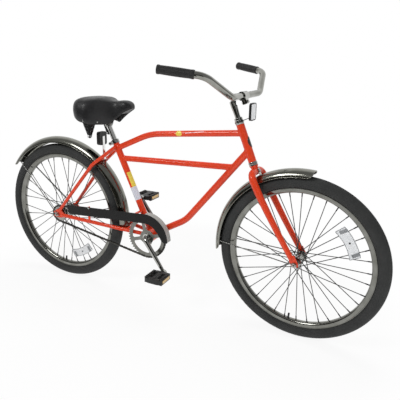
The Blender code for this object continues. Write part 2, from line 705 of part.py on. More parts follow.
def build_fork():
    top = LOCKNUT_TOP - 0.002
    fork = turned("fork", [(0.0, CROWN_CENTRE - 0.006), (0.0125, CROWN_CENTRE - 0.006),
                           (0.0135, CROWN_TOP - 0.010), (0.0180, CROWN_TOP),
                           (STEERER_RADIUS, CROWN_TOP), (STEERER_RADIUS, top), (0.0, top)],
                  head(0.0), HEAD_UP, HEAD_SIDES, RED_PAINT)
    parts = []
    w = AXLE_RADIUS_FRONT + GAP
    for side in (-1.0, 1.0):
        path = blade_path(side)
        count = len(path)
        radii = [BLADE_RADIUS if i < 5 else
                 BLADE_RADIUS + (BLADE_TIP_RADIUS - BLADE_RADIUS) * (i - 4) / (count - 5) for i in range(count)]
        parts.append(tube("blade", path, radii, 9, up=HEAD_AHEAD))
        outline = [(-w, -0.013)]
        outline += arc_points(0.0, 0.0, w, TAU / 2.0, 0.0, 5)
        outline += [(w, -0.013), (0.0115, -0.011), (0.0140, 0.002), (0.0100, 0.034)]
        outline += [(-0.0160, 0.040), (-0.0150, 0.004), (-0.0120, -0.009)]
        place = FRONT_AXLE + Y_AXIS * (side * (DROPOUT_SPACING_FRONT + DROPOUT_THICKNESS) / 2.0)
        parts.append(prism("tip", list(reversed(outline)), DROPOUT_THICKNESS, place, (0.0, -1.0, 0.0), HEAD_UP))
    union(fork, *parts)
    bore = turned("bore", [(0.0, CROWN_TOP + 0.002), (STEERER_RADIUS - STEERER_WALL, CROWN_TOP + 0.002),
                           (STEERER_RADIUS - STEERER_WALL, top + 0.02), (0.0, top + 0.02)],
                  head(0.0), HEAD_UP, HEAD_SIDES)
    hole = tube("bore", [head(CROWN_CENTRE, 0.004), head(CROWN_CENTRE, 0.04)], FENDER_TAB_HOLE + 2.0 * GAP, 6)
    cut(fork, bore, hole)
    hang(fork, STEER_PIVOT)
    return fork


build_fork()


# Wheels

FACET_SCALE = 1.0 / math.cos(math.pi / TYRE_FACETS)
RIM_FACETS = 32
RIM_EDGE = BEAD_RADIUS + 0.0014
RIM_FLOOR = BEAD_RADIUS - 0.0072
TYRE_FIT = 0.0005


def build_tyre(name, axle, pivot):
    """Balloon tyre with a flat tread band; its facets touch the tyre radius."""
    middle = TYRE_RADIUS - TYRE_SECTION
    half = [(TYRE_RADIUS, TYRE_TREAD_WIDTH / 2.0)]
    for degrees in (45.0, 84.0, 120.0):
        a = math.radians(degrees)
        half.append((middle + TYRE_SECTION * math.cos(a), TYRE_SECTION * math.sin(a)))
    inside = RIM_WIDTH / 2.0 - RIM_WALL - TYRE_FIT
    half += [(RIM_EDGE + TYRE_FIT, inside)]
    half += [(RIM_FLOOR + TYRE_FIT + GAP, inside)]
    profile = [(r * FACET_SCALE, y) for r, y in half]
    profile += [(r, -y) for r, y in reversed(profile)]
    obj = turned(name, profile, axle, Y_AXIS, TYRE_FACETS, TYRE_RUBBER, start=math.pi / TYRE_FACETS, ring=True)
    return hang(obj, pivot)


def build_rim(name, axle, pivot):
    half_w = RIM_WIDTH / 2.0
    half = [(RIM_FLOOR, half_w - RIM_WALL), (RIM_EDGE, half_w - RIM_WALL), (RIM_EDGE, half_w),
            (RIM_FLOOR + 0.001, half_w - 0.0004), (RIM_BED_RADIUS - 0.0045, 0.0070)]
    profile = half + [(r, -y) for r, y in reversed(half)]
    obj = turned(name, profile, axle, Y_AXIS, RIM_FACETS, CHROME, ring=True)
    hole = tube("valve_hole", [about(axle, RIM_BED_RADIUS - 0.02, VALVE_ANGLE),
                               about(axle, RIM_FLOOR + 0.004, VALVE_ANGLE)], VALVE_RADIUS + 2.0 * GAP, 6)
    cut(obj, hole)
    return hang(obj, pivot)


VALVE_ANGLE = math.radians(-94.5)
VALVE_RADIUS = 0.0042
VALVE_LENGTH = 0.032


def build_valve(name, axle, pivot):
    """Rubber valve stem through the rim, with its cap."""
    outer = RIM_FLOOR + 0.0002
    steps = [(0.0, VALVE_RADIUS), (0.55, VALVE_RADIUS), (0.62, 0.0034), (0.96, 0.0034), (1.0, 0.0026)]
    path = [about(axle, outer - VALVE_LENGTH * t, VALVE_ANGLE) for t, _ in steps]
    obj = tube(name, path, [r for _, r in steps], 6, BLACK_PLASTIC)
    return hang(obj, pivot)


def spokes_object(axle, flange_radius, flange_offset, phase, lean):
    """All spokes of a wheel, three-cross, as separate rods in one mesh."""
    bm = bmesh.new()
    hole_radius = flange_radius - 0.0035
    rim_flat = (RIM_BED_RADIUS - 0.0045) * math.cos(math.pi / RIM_FACETS)
    per_side = SPOKES // 2
    pitch = TAU / per_side
    for side in (-1.0, 1.0):
        for k in range(per_side):
            outer = k % 2 == 0
            lead = lean if outer else -lean
            hub_angle = phase + pitch * (k + (0.5 if side > 0.0 else 0.0))
            rim_angle = hub_angle + lead * SPOKE_CROSSES * pitch
            step = (FLANGE_THICKNESS / 2.0 + SPOKE_RADIUS * 0.4) * (1.0 if outer else -1.0)
            start = about(axle, hole_radius, hub_angle, side * (flange_offset + step))
            rim_y = side * (0.0036 if outer else 0.0018)
            end = about(axle, rim_flat - GAP - 0.0008, rim_angle, rim_y)
            line = (end - start).normalized()
            side_dir = line.cross(Y_AXIS).normalized()
            top_dir = side_dir.cross(line).normalized()
            rows = []
            for place, radius in ((start, SPOKE_RADIUS), (end, SPOKE_RADIUS)):
                row = []
                for j in range(SPOKE_SIDES):
                    a = TAU * (j + 0.25) / SPOKE_SIDES
                    row.append(bm.verts.new(place + side_dir * radius * math.cos(a) + top_dir * radius * math.sin(a)))
                rows.append(row)
            for low_row, high_row in zip(rows, rows[1:]):
                for j in range(SPOKE_SIDES):
                    n = (j + 1) % SPOKE_SIDES
                    bm.faces.new((low_row[j], low_row[n], high_row[n], high_row[j]))
            bm.faces.new(list(reversed(rows[0])))
            bm.faces.new(rows[-1])
    return new_object("spokes", bm, None)


def build_hub(name, axle, pivot, barrel, flange, offset, ends, bore, phase, lean, mat):
    """Turned hub shell with two flanges, joined with its spokes."""
    left, right = ends
    t = FLANGE_THICKNESS / 2.0
    profile = [(bore, -right), (barrel * 0.72, -right), (barrel * 0.80, -offset - t), (flange, -offset - t),
               (flange, -offset + t), (barrel, -offset + t), (barrel, offset - t),
               (flange, offset - t), (flange, offset + t), (barrel * 0.80, offset + t), (barrel * 0.72, left),
               (bore, left)]
    hub = turned(name, profile, axle, Y_AXIS, 12, mat, start=math.pi / 12.0, ring=True)
    union(hub, spokes_object(axle, flange, offset, phase, lean))
    return hang(hub, pivot)


def hex_ring(name, place, across, start, end, radius):
    """Hexagon nut body along Y, as a prism."""
    outline = [(radius * math.cos(TAU * k / 6.0), radius * math.sin(TAU * k / 6.0)) for k in range(6)]
    centre = Vector(place) + Y_AXIS * ((start + end) / 2.0)
    return prism(name, outline, abs(end - start), centre, (0.0, -1.0, 0.0), across)


EYELET = 0.0016


def build_axle(name, axle, pivot, radius, spacing, inner_left, inner_right, across):
    """Axle rod with its lock nuts inside the dropouts and nuts outside them."""
    out = spacing / 2.0 + DROPOUT_THICKNESS
    tip = out + AXLE_END
    nut_face = out + EYELET + 2.0 * GAP
    rod = turned(name, [(0.0, -tip), (radius - 0.0006, -tip), (radius, -tip + 0.001), (radius, tip - 0.001),
                        (radius - 0.0006, tip), (0.0, tip)], axle, Y_AXIS, 8, STEEL)
    inside = spacing / 2.0 - GAP
    parts = []
    for side, inner in ((-1.0, inner_right), (1.0, inner_left)):
        parts.append(turned("locknut", [(0.0, side * inner), (radius + 0.0035, side * inner),
                                        (radius + 0.0035, side * inside), (0.0, side * inside)],
                            axle, Y_AXIS, 8))
        parts.append(turned("washer", [(0.0, side * nut_face), (AXLE_NUT_RADIUS + 0.0012, side * nut_face),
                                       (AXLE_NUT_RADIUS + 0.0012, side * (nut_face + 0.0014)),
                                       (0.0, side * (nut_face + 0.0014))], axle, Y_AXIS, 10))
        parts.append(hex_ring("nut", axle, across, side * (nut_face + 0.0008),
                              side * (nut_face + AXLE_NUT_HEIGHT), AXLE_NUT_RADIUS))
    union(rod, *parts)
    return hang(rod, pivot)


HUB_END_FRONT = DROPOUT_SPACING_FRONT / 2.0 - 0.0055
HUB_END_LEFT = DROPOUT_SPACING_REAR / 2.0 - 0.0150
HUB_END_RIGHT = CHAIN_LINE - 0.0095

build_tyre("front_tyre", FRONT_AXLE, FRONT_WHEEL_PIVOT)
build_tyre("rear_tyre", REAR_AXLE, REAR_WHEEL_PIVOT)
build_rim("front_rim", FRONT_AXLE, FRONT_WHEEL_PIVOT)
build_rim("rear_rim", REAR_AXLE, REAR_WHEEL_PIVOT)
build_valve("front_valve", FRONT_AXLE, FRONT_WHEEL_PIVOT)
build_valve("rear_valve", REAR_AXLE, REAR_WHEEL_PIVOT)
build_hub("front_hub", FRONT_AXLE, FRONT_WHEEL_PIVOT, HUB_RADIUS_FRONT, FLANGE_RADIUS_FRONT,
          FLANGE_OFFSET_FRONT, (HUB_END_FRONT, HUB_END_FRONT), AXLE_RADIUS_FRONT + RUN_GAP, SPOKE_START_FRONT, 1.0, CHROME)
build_hub("rear_hub", REAR_AXLE, REAR_WHEEL_PIVOT, HUB_RADIUS_REAR, FLANGE_RADIUS_REAR,
          FLANGE_OFFSET_REAR, (HUB_END_LEFT, HUB_END_RIGHT), AXLE_RADIUS_REAR + RUN_GAP, SPOKE_START_REAR, -1.0, CHROME)
build_axle("front_axle", FRONT_AXLE, STEER_PIVOT, AXLE_RADIUS_FRONT, DROPOUT_SPACING_FRONT,
           HUB_END_FRONT + RUN_GAP, HUB_END_FRONT + RUN_GAP, HEAD_UP)
DRIVER_END = CHAIN_LINE + 0.0036
BRAKE_CONE_START = HUB_END_LEFT + RUN_GAP
BRAKE_CONE_END = BRAKE_CONE_START + 0.0068
build_axle("rear_axle", REAR_AXLE, FRAME_PIVOT, AXLE_RADIUS_REAR, DROPOUT_SPACING_REAR,
           BRAKE_CONE_END + GAP, DRIVER_END + RUN_GAP, Z_AXIS)


# Crank, chainring, rear sprocket and chain

RING_RADIUS = CHAIN_PITCH / 2.0 / math.sin(math.pi / RING_TEETH)
COG_RADIUS = CHAIN_PITCH / 2.0 / math.sin(math.pi / COG_TEETH)
ROLLER_HALF = 0.0022
PLATE_HALF = 0.0041
TOOTH_ROOT = PLATE_HALF + 0.0004
TOOTH_TIP = 0.0030
CHAIN_INNER = 0.0024
CHAIN_OUTER = 0.0039
ARM_OFFSET = 0.0650
ARM_FLARE = 0.0150
ARM_RADIUS = 0.0098
ARM_TIP_RADIUS = 0.0062
ARM_BREADTH = 1.40
EYE_RADIUS = 0.0120
EYE_THICKNESS = 0.0130
BOSS_RADIUS = 0.0175
CONE_RADIUS = 0.0145
PIN_RADIUS = 0.0035
PIN_REACH = 0.0340
CUP_FLANGE = 0.0028
LOCK_RADIUS = 0.0185


def toothed_outline(teeth, radius):
    """Sprocket outline with a gap centred on angle zero."""
    pts = []
    half_gap = math.atan((ROLLER_HALF + 0.0008) / radius)
    pitch = TAU / teeth
    for k in range(teeth):
        a = k * pitch
        pts.append((a - half_gap, radius - TOOTH_ROOT))
        pts.append((a + half_gap, radius - TOOTH_ROOT))
        pts.append((a + pitch / 2.0, radius + TOOTH_TIP))
    return [(r * math.cos(a), r * math.sin(a)) for a, r in pts]


def rod_y(name, place, start, end, radius, segments=12, mat=None):
    return turned(name, [(0.0, start), (radius, start), (radius, end), (0.0, end)],
                  place, Y_AXIS, segments, mat)


def crank_point(x, y, z=0.0):
    return CRANK_AXIS + Vector((x, y, z))


def build_crank():
    """One-piece crank: arm, bend, spindle, bend and arm in one rod."""
    flare = ARM_OFFSET + ARM_FLARE
    bend = 0.020
    corners = [crank_point(CRANK_LENGTH, -flare), crank_point(0.0, -ARM_OFFSET),
               crank_point(0.0, ARM_OFFSET), crank_point(-CRANK_LENGTH, flare)]
    path = bent_path(corners, [bend, bend], math.radians(30.0))
    radii = []
    breadths = []
    for p in path:
        out = abs(p.x - CRANK_AXIS.x)
        share = min(1.0, out / 0.030)
        taper = ARM_TIP_RADIUS + (ARM_RADIUS - ARM_TIP_RADIUS) * (1.0 - out / CRANK_LENGTH)
        radii.append(CRANK_SPINDLE_RADIUS + (taper - CRANK_SPINDLE_RADIUS) * share)
        breadths.append(1.0 + (ARM_BREADTH - 1.0) * share)
    body = tube("crank", path, radii, 10, CHROME, up=(0.0, 0.0, 1.0), flat=breadths)
    parts = []
    for side in (-1.0, 1.0):
        eye = crank_point(-side * CRANK_LENGTH, 0.0)
        parts.append(rod_y("eye", eye, side * flare - EYE_THICKNESS / 2.0, side * flare + EYE_THICKNESS / 2.0,
                           EYE_RADIUS, 12))
        parts.append(rod_y("cone", CRANK_AXIS, side * (SHELL_WIDTH / 2.0 - 0.006),
                           side * (CHAIN_LINE - RING_THICKNESS / 2.0 - GAP if side < 0.0 else
                                   SHELL_WIDTH / 2.0 + 0.0055), CONE_RADIUS, 12))
    boss_face = CHAIN_LINE + RING_THICKNESS / 2.0 + GAP
    parts.append(rod_y("boss", CRANK_AXIS, -boss_face, -boss_face - 0.0045, BOSS_RADIUS, 14))
    parts.append(rod_y("pin", crank_point(PIN_REACH, 0.0), -ARM_OFFSET - 0.002,
                       -CHAIN_LINE + RING_THICKNESS / 2.0, PIN_RADIUS, 8))
    union(body, *parts)
    for side in (-1.0, 1.0):
        eye = crank_point(-side * CRANK_LENGTH, 0.0)
        cut(body, rod_y("hole", eye, side * flare - EYE_THICKNESS, side * flare + EYE_THICKNESS,
                        PEDAL_SPINDLE_RADIUS + GAP, 8))
    hang(body, CRANK_PIVOT)


def build_chainring():
    place = CRANK_AXIS - Y_AXIS * CHAIN_LINE
    ring = prism("chainring", toothed_outline(RING_TEETH, RING_RADIUS), RING_THICKNESS, place,
                 (0.0, -1.0, 0.0), Z_AXIS, RING_STEEL)
    cutters = [rod_y("hole", place, -0.01, 0.01, CRANK_SPINDLE_RADIUS / math.cos(math.pi / 10.0) + GAP, 10),
               rod_y("hole", place + Vector((PIN_REACH, 0.0, 0.0)), -0.01, 0.01, PIN_RADIUS + GAP, 8)]
    outer = RING_RADIUS - 0.0190
    inner = 0.0330
    half_arm = 0.0085
    first_arm = math.radians(68.0)
    for k in range(4):
        mid = first_arm + TAU / 8.0 + k * TAU / 4.0
        wide = TAU / 8.0 - math.asin(half_arm / outer)
        narrow = TAU / 8.0 - math.asin(half_arm / inner)
        outline = arc_points(0.0, 0.0, outer, mid - wide + 0.06, mid + wide - 0.06, 5)
        outline.append(((outer - 0.005) * math.cos(mid + wide), (outer - 0.005) * math.sin(mid + wide)))
        outline.append(((inner + 0.006) * math.cos(mid + narrow * 1.12), (inner + 0.006) * math.sin(mid + narrow * 1.12)))
        outline += arc_points(0.0, 0.0, inner, mid + narrow * 0.7, mid - narrow * 0.7, 2)
        outline.append(((inner + 0.006) * math.cos(mid - narrow * 1.12), (inner + 0.006) * math.sin(mid - narrow * 1.12)))
        outline.append(((outer - 0.005) * math.cos(mid - wide), (outer - 0.005) * math.sin(mid - wide)))
        cutters.append(prism("window", outline, 0.02, place, (0.0, -1.0, 0.0), Z_AXIS))
    cut(ring, *cutters)
    hang(ring, CRANK_PIVOT)


def tangent_angle():
    """Angles of the chain's upper and lower tangents on both sprockets."""
    line = REAR_AXLE - CRANK_AXIS
    middle = math.atan2(line.z, line.x)
    spread = math.acos((RING_RADIUS - COG_RADIUS) / line.length)
    return middle - spread, middle + spread, middle


def roller_places():
    """Roller centres in the side view, round the ring, then round the cog."""
    upper, lower, middle = tangent_angle()
    ring_pitch = TAU / RING_TEETH
    cog_pitch = TAU / COG_TEETH
    first = math.ceil((lower - TAU - CRANK_AT_REST) / ring_pitch)
    last = math.floor((upper - CRANK_AT_REST) / ring_pitch)
    ring = [about(CRANK_AXIS, RING_RADIUS, CRANK_AT_REST + k * ring_pitch) for k in range(first, last + 1)]
    half = int(math.floor((lower - upper) / 2.0 / cog_pitch))
    cog = [about(REAR_AXLE, COG_RADIUS, middle + k * cog_pitch) for k in range(-half, half + 1)]
    places = list(ring)
    for start, end, following in ((ring[-1], cog[0], cog), (cog[-1], ring[0], [])):
        count = max(1, int(round((end - start).length / CHAIN_PITCH)))
        places += [start.lerp(end, k / count) for k in range(1, count)]
        places += following
    return places


def build_chain():
    """Roller chain: two rows of plates with a roller at every pitch."""
    places = roller_places()
    count = len(places)
    bm = bmesh.new()
    outer = []
    inner = []
    for i, p in enumerate(places):
        ahead = (places[(i + 1) % count] - places[i - 1]).normalized()
        out = Vector((ahead.z, 0.0, -ahead.x))

        def corner(step, y, h):
            spot = p + ahead * step + out * h
            return bm.verts.new((spot.x, -CHAIN_LINE + y, spot.z))

        bends = (places[(i + 1) % count] - p).angle(p - places[i - 1]) > 0.01
        if bends or i % 4 == 0:
            outer.append((i, {(y, h): corner(0.0, y * CHAIN_OUTER, h * PLATE_HALF)
                              for y in (-1, 1) for h in (-1, 1)}))
        inner.append([{(y, h): corner(step, y * CHAIN_INNER, h * PLATE_HALF)
                       for y in (-1, 1) for h in (-1, 1)} for step in (-ROLLER_HALF, ROLLER_HALF)])
    for i, (a, b) in enumerate(inner):
        following = inner[(i + 1) % count][0]
        for row in (a, b):
            bm.faces.new((row[-1, -1], row[1, -1], row[1, 1], row[-1, 1]))
        for h in (-1, 1):
            bm.faces.new((a[-1, h], a[1, h], b[1, h], b[-1, h]))
        for y in (-1, 1):
            bm.faces.new((b[y, -1], b[y, 1], following[y, 1], following[y, -1]))
    for k, (i, first) in enumerate(outer):
        j, last = outer[(k + 1) % len(outer)]
        j = j if j > i else j + count
        for y in (-1, 1):
            bm.faces.new((first[y, -1], first[y, 1], last[y, 1], last[y, -1]))
            for h in (-1, 1):
                bm.faces.new((first[y, h], inner[i][0][y, h], inner[i][1][y, h]))
                edge = [inner[i][1][y, h]]
                for m in range(i + 1, j):
                    edge += [inner[m % count][0][y, h], inner[m % count][1][y, h]]
                edge.append(inner[j % count][0][y, h])
                half = len(edge) // 2
                for m in range(half):
                    bm.faces.new((first[y, h], edge[m], edge[m + 1]))
                if half < len(edge):
                    bm.faces.new((first[y, h], edge[half], last[y, h]))
                for m in range(half, len(edge) - 1):
                    bm.faces.new((last[y, h], edge[m], edge[m + 1]))
    hang(new_object("chain", bm, DARK_STEEL), FRAME_PIVOT)


def build_sprocket():
    """Rear sprocket on its driver."""
    bore = AXLE_RADIUS_REAR + RUN_GAP
    driver = turned("rear_sprocket", [(bore, -DRIVER_END), (0.0150, -DRIVER_END), (0.0170, -DRIVER_END + 0.002),
                                      (0.0190, -HUB_END_RIGHT - RUN_GAP), (bore, -HUB_END_RIGHT - RUN_GAP)],
                    REAR_AXLE, Y_AXIS, 10, STEEL, ring=True)
    middle = tangent_angle()[2]
    outline = []
    for x, z in toothed_outline(COG_TEETH, COG_RADIUS):
        outline.append((x * math.cos(middle) - z * math.sin(middle), x * math.sin(middle) + z * math.cos(middle)))
    plate = prism("cog", outline, RING_THICKNESS, REAR_AXLE - Y_AXIS * CHAIN_LINE, (0.0, -1.0, 0.0), Z_AXIS)
    cut(plate, rod_y("hole", REAR_AXLE - Y_AXIS * CHAIN_LINE, -0.01, 0.01, 0.0120, 10))
    union(driver, plate)
    hang(driver, SPROCKET_PIVOT)


build_crank()
build_chainring()
build_chain()
build_sprocket()

for side, name in ((-1.0, "crank_bearing_cup_right"), (1.0, "crank_bearing_cup_left")):
    lip = SHELL_RADIUS - SHELL_WALL - GAP
    face = side * (SHELL_WIDTH / 2.0 + GAP)
    cup = turned(name, [(CONE_RADIUS + RUN_GAP, face + side * CUP_FLANGE), (SHELL_RADIUS, face + side * CUP_FLANGE),
                        (SHELL_RADIUS, face), (lip, face), (lip, face - side * 0.009),
                        (lip - 0.0025, face - side * 0.009), (CONE_RADIUS + RUN_GAP, face - side * 0.002)],
                 CRANK_AXIS, Y_AXIS, SHELL_SIDES, STEEL, ring=True)
    hang(cup, FRAME_PIVOT)

lock_face = SHELL_WIDTH / 2.0 + 0.0055 + GAP
lock_bore = (CRANK_SPINDLE_RADIUS + GAP) / math.cos(math.pi / 6.0)
lock = turned("crank_locknut", [(lock_bore, lock_face), (LOCK_RADIUS, lock_face), (LOCK_RADIUS, lock_face + 0.0042),
                                (lock_bore, lock_face + 0.0042)],
              CRANK_AXIS, Y_AXIS, 6, STEEL, ring=True)
hang(lock, CRANK_PIVOT)


# Pedals

PEDAL_END_GAP = 0.0030
PEDAL_BARREL_RADIUS = 0.0105
PEDAL_BAR = 0.0150
PEDAL_FLAT_HALF = 0.0200
LENS_LENGTH = 0.058
LENS_HEIGHT = 0.0135
LENS_DEPTH = 0.0045


def build_pedal(side, label):
    turn = Matrix.Rotation(CRANK_AT_REST, 3, Y_AXIS).to_quaternion()
    pivot = empty("pedal_axis_" + label, crank_point(-side * CRANK_LENGTH, 0.0), CRANK_PIVOT, turn)
    axis = crank_point(-side * CRANK_LENGTH, 0.0)
    flare = ARM_OFFSET + ARM_FLARE
    eye_face = flare + EYE_THICKNESS / 2.0
    near = eye_face + PEDAL_END_GAP
    far = near + PEDAL_WIDTH
    mid = (near + far) / 2.0
    hl = PEDAL_LENGTH / 2.0
    hw = PEDAL_WIDTH / 2.0
    outline = []
    for sx, sy in ((1, 1), (-1, 1), (-1, -1), (1, -1)):
        corner = [(sx * PEDAL_FLAT_HALF, sy * hw), (sx * (hl - 0.006), sy * (hw - 0.005)), (sx * hl, sy * (hw - 0.011))]
        outline += list(reversed(corner)) if sx * sy > 0 else corner
    body = prism("pedal_" + label, outline, PEDAL_HEIGHT * 0.85, axis + Y_AXIS * (side * mid), (0.0, 0.0, 1.0),
                 Y_AXIS, BLACK_PLASTIC)
    parts = [rod_y("barrel", axis, side * (near + 0.0005), side * (far - 0.0005), PEDAL_BARREL_RADIUS, 10)]
    union(body, *parts)
    cutters = []
    slot = (hl - PEDAL_BAR - PEDAL_BARREL_RADIUS) / 2.0 - 0.0015
    centre = (hl - PEDAL_BAR + PEDAL_BARREL_RADIUS) / 2.0
    for sx in (-1.0, 1.0):
        place = axis + Vector((sx * centre, side * mid, 0.0))
        cutters.append(prism("slot", rounded_box_outline(hw - 0.018, slot, 0.004, 1), 0.05, place,
                             (0.0, 0.0, 1.0), (1.0, 0.0, 0.0)))
        place = axis + Vector((sx * (hl + 0.004), side * mid, 0.0))
        cutters.append(prism("pocket", [(LENS_LENGTH / 2.0 + GAP, LENS_HEIGHT / 2.0 + GAP),
                                        (-LENS_LENGTH / 2.0 - GAP, LENS_HEIGHT / 2.0 + GAP),
                                        (-LENS_LENGTH / 2.0 - GAP, -LENS_HEIGHT / 2.0 - GAP),
                                        (LENS_LENGTH / 2.0 + GAP, -LENS_HEIGHT / 2.0 - GAP)],
                             2.0 * (0.004 + LENS_DEPTH), place, (1.0, 0.0, 0.0), Z_AXIS))
    cutters.append(rod_y("bore", axis, side * (near - 0.01), side * (far - 0.012), PEDAL_SPINDLE_RADIUS, 8))
    cut(body, *cutters)
    hang(body, pivot)
    for sx, end in ((1.0, "front"), (-1.0, "rear")):
        depth = LENS_DEPTH - GAP
        place = axis + Vector((sx * (hl - LENS_DEPTH + GAP + depth / 2.0 + 0.0005), side * mid, 0.0))
        lens = prism("pedal_reflector_%s_%s" % (label, end),
                     rounded_box_outline(LENS_LENGTH / 2.0, LENS_HEIGHT / 2.0, 0.001, 1), depth, place,
                     (1.0, 0.0, 0.0), Z_AXIS, AMBER)
        hang(lens, pivot)
    inside = flare - EYE_THICKNESS / 2.0
    profile = [(0.0, side * (inside + 0.0005)), (PEDAL_SPINDLE_RADIUS, side * (inside + 0.0005)),
               (PEDAL_SPINDLE_RADIUS, side * (eye_face + GAP)), (0.0085, side * (eye_face + GAP)),
               (0.0085, side * (near - GAP)), (PEDAL_SPINDLE_RADIUS - 0.0006, side * (near - GAP)),
               (PEDAL_SPINDLE_RADIUS - 0.0010, side * (far - 0.0125)), (0.0, side * (far - 0.0125))]
    spindle = turned("pedal_spindle_" + label, profile, axis, Y_AXIS, 8, STEEL)
    hang(spindle, CRANK_PIVOT)


build_pedal(-1.0, "right")
build_pedal(1.0, "left")


# Stem, handlebar and grips

CLAMP_UP = LOCKNUT_TOP + STEM_RISE + 0.0145
CLAMP_RADIUS = BAR_RADIUS + 0.0042
CLAMP_WIDTH = 0.038
CLAMP_SLIT = 0.0030
STEM_TOP = CLAMP_UP - 0.004
STEM_BOLT_RADIUS = 0.0040
STEM_HEAD_RADIUS = 0.0130
BINDER_RADIUS = 0.0030
BINDER_DROP = 0.0240
EAR_HALF = 0.0095
BAR_STRAIGHT = 0.122
BAR_SHOULDER_BACK = 0.027
BAR_SHOULDER_OUT = 0.245
BAR_RISE = 0.078
BAR_END_BACK = 0.170
BAR_END_OUT = 0.306
BAR_END_RISE = 0.097
BAR_AHEAD = 0.012


def build_stem():
    """Quill stem with a forward clamp split at its underside."""
    quill_low = HEAD_TUBE_TOP - QUILL_DEPTH
    stem = turned("stem", [(0.0, quill_low), (QUILL_RADIUS, quill_low), (QUILL_RADIUS, LOCKNUT_TOP + 0.012),
                           (STEM_HEAD_RADIUS, STEM_TOP - 0.018), (STEM_HEAD_RADIUS, STEM_TOP),
                           (0.0, STEM_TOP)], head(0.0), HEAD_UP, 12, CHROME)
    arm = tube("arm", [head(STEM_TOP - 0.0150, 0.002), head(CLAMP_UP - 0.003, STEM_REACH * 0.75)],
               [0.0105, 0.0125], 10, up=Y_AXIS, flat=1.12)
    barrel = rod_y("barrel", head(CLAMP_UP, STEM_REACH), -CLAMP_WIDTH / 2.0, CLAMP_WIDTH / 2.0, CLAMP_RADIUS, 14)
    ears = prism("ears", rounded_box_outline(EAR_HALF, 0.0105, 0.003, 2), 0.020,
                 head(CLAMP_UP - BINDER_DROP + 0.003, STEM_REACH), Y_AXIS, HEAD_UP)
    union(stem, arm, barrel, ears)
    centre = head(CLAMP_UP, STEM_REACH)
    slit = prism("slit", [(CLAMP_SLIT / 2.0, 0.0), (-CLAMP_SLIT / 2.0, 0.0), (-CLAMP_SLIT / 2.0, -0.05),
                          (CLAMP_SLIT / 2.0, -0.05)], 0.08, centre, Y_AXIS, HEAD_UP)
    bar_hole = rod_y("hole", centre, -0.05, 0.05, BAR_RADIUS / math.cos(math.pi / 12.0) + GAP, 12)
    bolt_hole = turned("hole", [(0.0, quill_low + 0.01), (STEM_BOLT_RADIUS + GAP, quill_low + 0.01),
                                (STEM_BOLT_RADIUS + GAP, STEM_TOP + 0.02), (0.0, STEM_TOP + 0.02)],
                       head(0.0), HEAD_UP, 8)
    drop = head(CLAMP_UP - BINDER_DROP, STEM_REACH)
    binder_hole = tube("hole", [drop - HEAD_AHEAD * 0.03, drop + HEAD_AHEAD * 0.03], BINDER_RADIUS + GAP, 8)
    cut(stem, slit, bar_hole, bolt_hole, binder_hole)
    hang(stem, STEER_PIVOT)
    bolt = turned("stem_bolt", [(0.0, quill_low + 0.012), (STEM_BOLT_RADIUS, quill_low + 0.012),
                                (STEM_BOLT_RADIUS, STEM_TOP + GAP), (0.0080, STEM_TOP + GAP),
                                (0.0080, STEM_TOP + 0.0045), (0.0060, STEM_TOP + 0.0060), (0.0, STEM_TOP + 0.0060)],
                  head(0.0), HEAD_UP, 8, STEEL)
    hang(bolt, STEER_PIVOT)
    reach = EAR_HALF + GAP
    profile = [(0.0, -reach - 0.004), (0.0055, -reach - 0.004), (0.0055, -reach), (BINDER_RADIUS, -reach),
               (BINDER_RADIUS, reach), (0.0055, reach), (0.0055, reach + 0.004), (0.0, reach + 0.004)]
    binder = turned("stem_clamp_bolt", profile, drop, HEAD_AHEAD, 8, STEEL)
    hang(binder, STEER_PIVOT)


def bar_point(back, out, rise):
    centre = head(CLAMP_UP, STEM_REACH)
    return centre + Vector((-back, out, rise))


def bar_corners(side):
    return [bar_point(-BAR_AHEAD, side * BAR_STRAIGHT, 0.004),
            bar_point(BAR_SHOULDER_BACK, side * BAR_SHOULDER_OUT, BAR_RISE),
            bar_point(BAR_END_BACK, side * BAR_END_OUT, BAR_END_RISE)]


def build_handlebar():
    right = bar_corners(-1.0)
    left = bar_corners(1.0)
    hub = CLAMP_WIDTH / 2.0 + 0.010
    corners = [right[2], right[1], right[0], bar_point(0.0, -hub, 0.0), bar_point(0.0, hub, 0.0),
               left[0], left[1], left[2]]
    path = bent_path(corners, [0.060, 0.055, 0.0, 0.0, 0.055, 0.060], math.radians(18.0))
    bar = tube("handlebar", path, BAR_RADIUS, 10, CHROME, up=Z_AXIS)
    hang(bar, STEER_PIVOT)
    for side, name in ((-1.0, "grip_right"), (1.0, "grip_left")):
        corners = bar_corners(side)
        end = corners[2]
        inward = (corners[1] - end).normalized()
        cap = 0.0035
        steps = [(-cap - GAP, 0.92), (-0.0008, 1.06), (0.012, 1.0), (0.055, 1.04), (0.108, 1.0),
                 (0.1125, 1.06), (0.1195, 1.00)]
        stretch = GRIP_LENGTH / 0.1195
        path = [end + inward * (t * stretch) for t, _ in steps]
        grip = tube(name, path, [GRIP_RADIUS * f for _, f in steps], 10, GRIP_RUBBER, up=Z_AXIS)
        bore = tube("bore", [end - inward * GAP, end + inward * (GRIP_LENGTH + 0.02)],
                    BAR_RADIUS + GAP, 10, up=Z_AXIS)
        cut(grip, bore)
        hang(grip, STEER_PIVOT)


build_stem()
build_handlebar()


# Reflectors

FRONT_REFLECTOR_UP = UPPER_CUP_TOP + 0.0192
FRONT_REFLECTOR_AHEAD = 0.0645
REFLECTOR_HALF_WIDTH = 0.0240
REFLECTOR_HALF_HEIGHT = 0.0320
REFLECTOR_DEPTH = 0.0090
LENS_RIM = 0.0030
LENS_THICKNESS = 0.0040


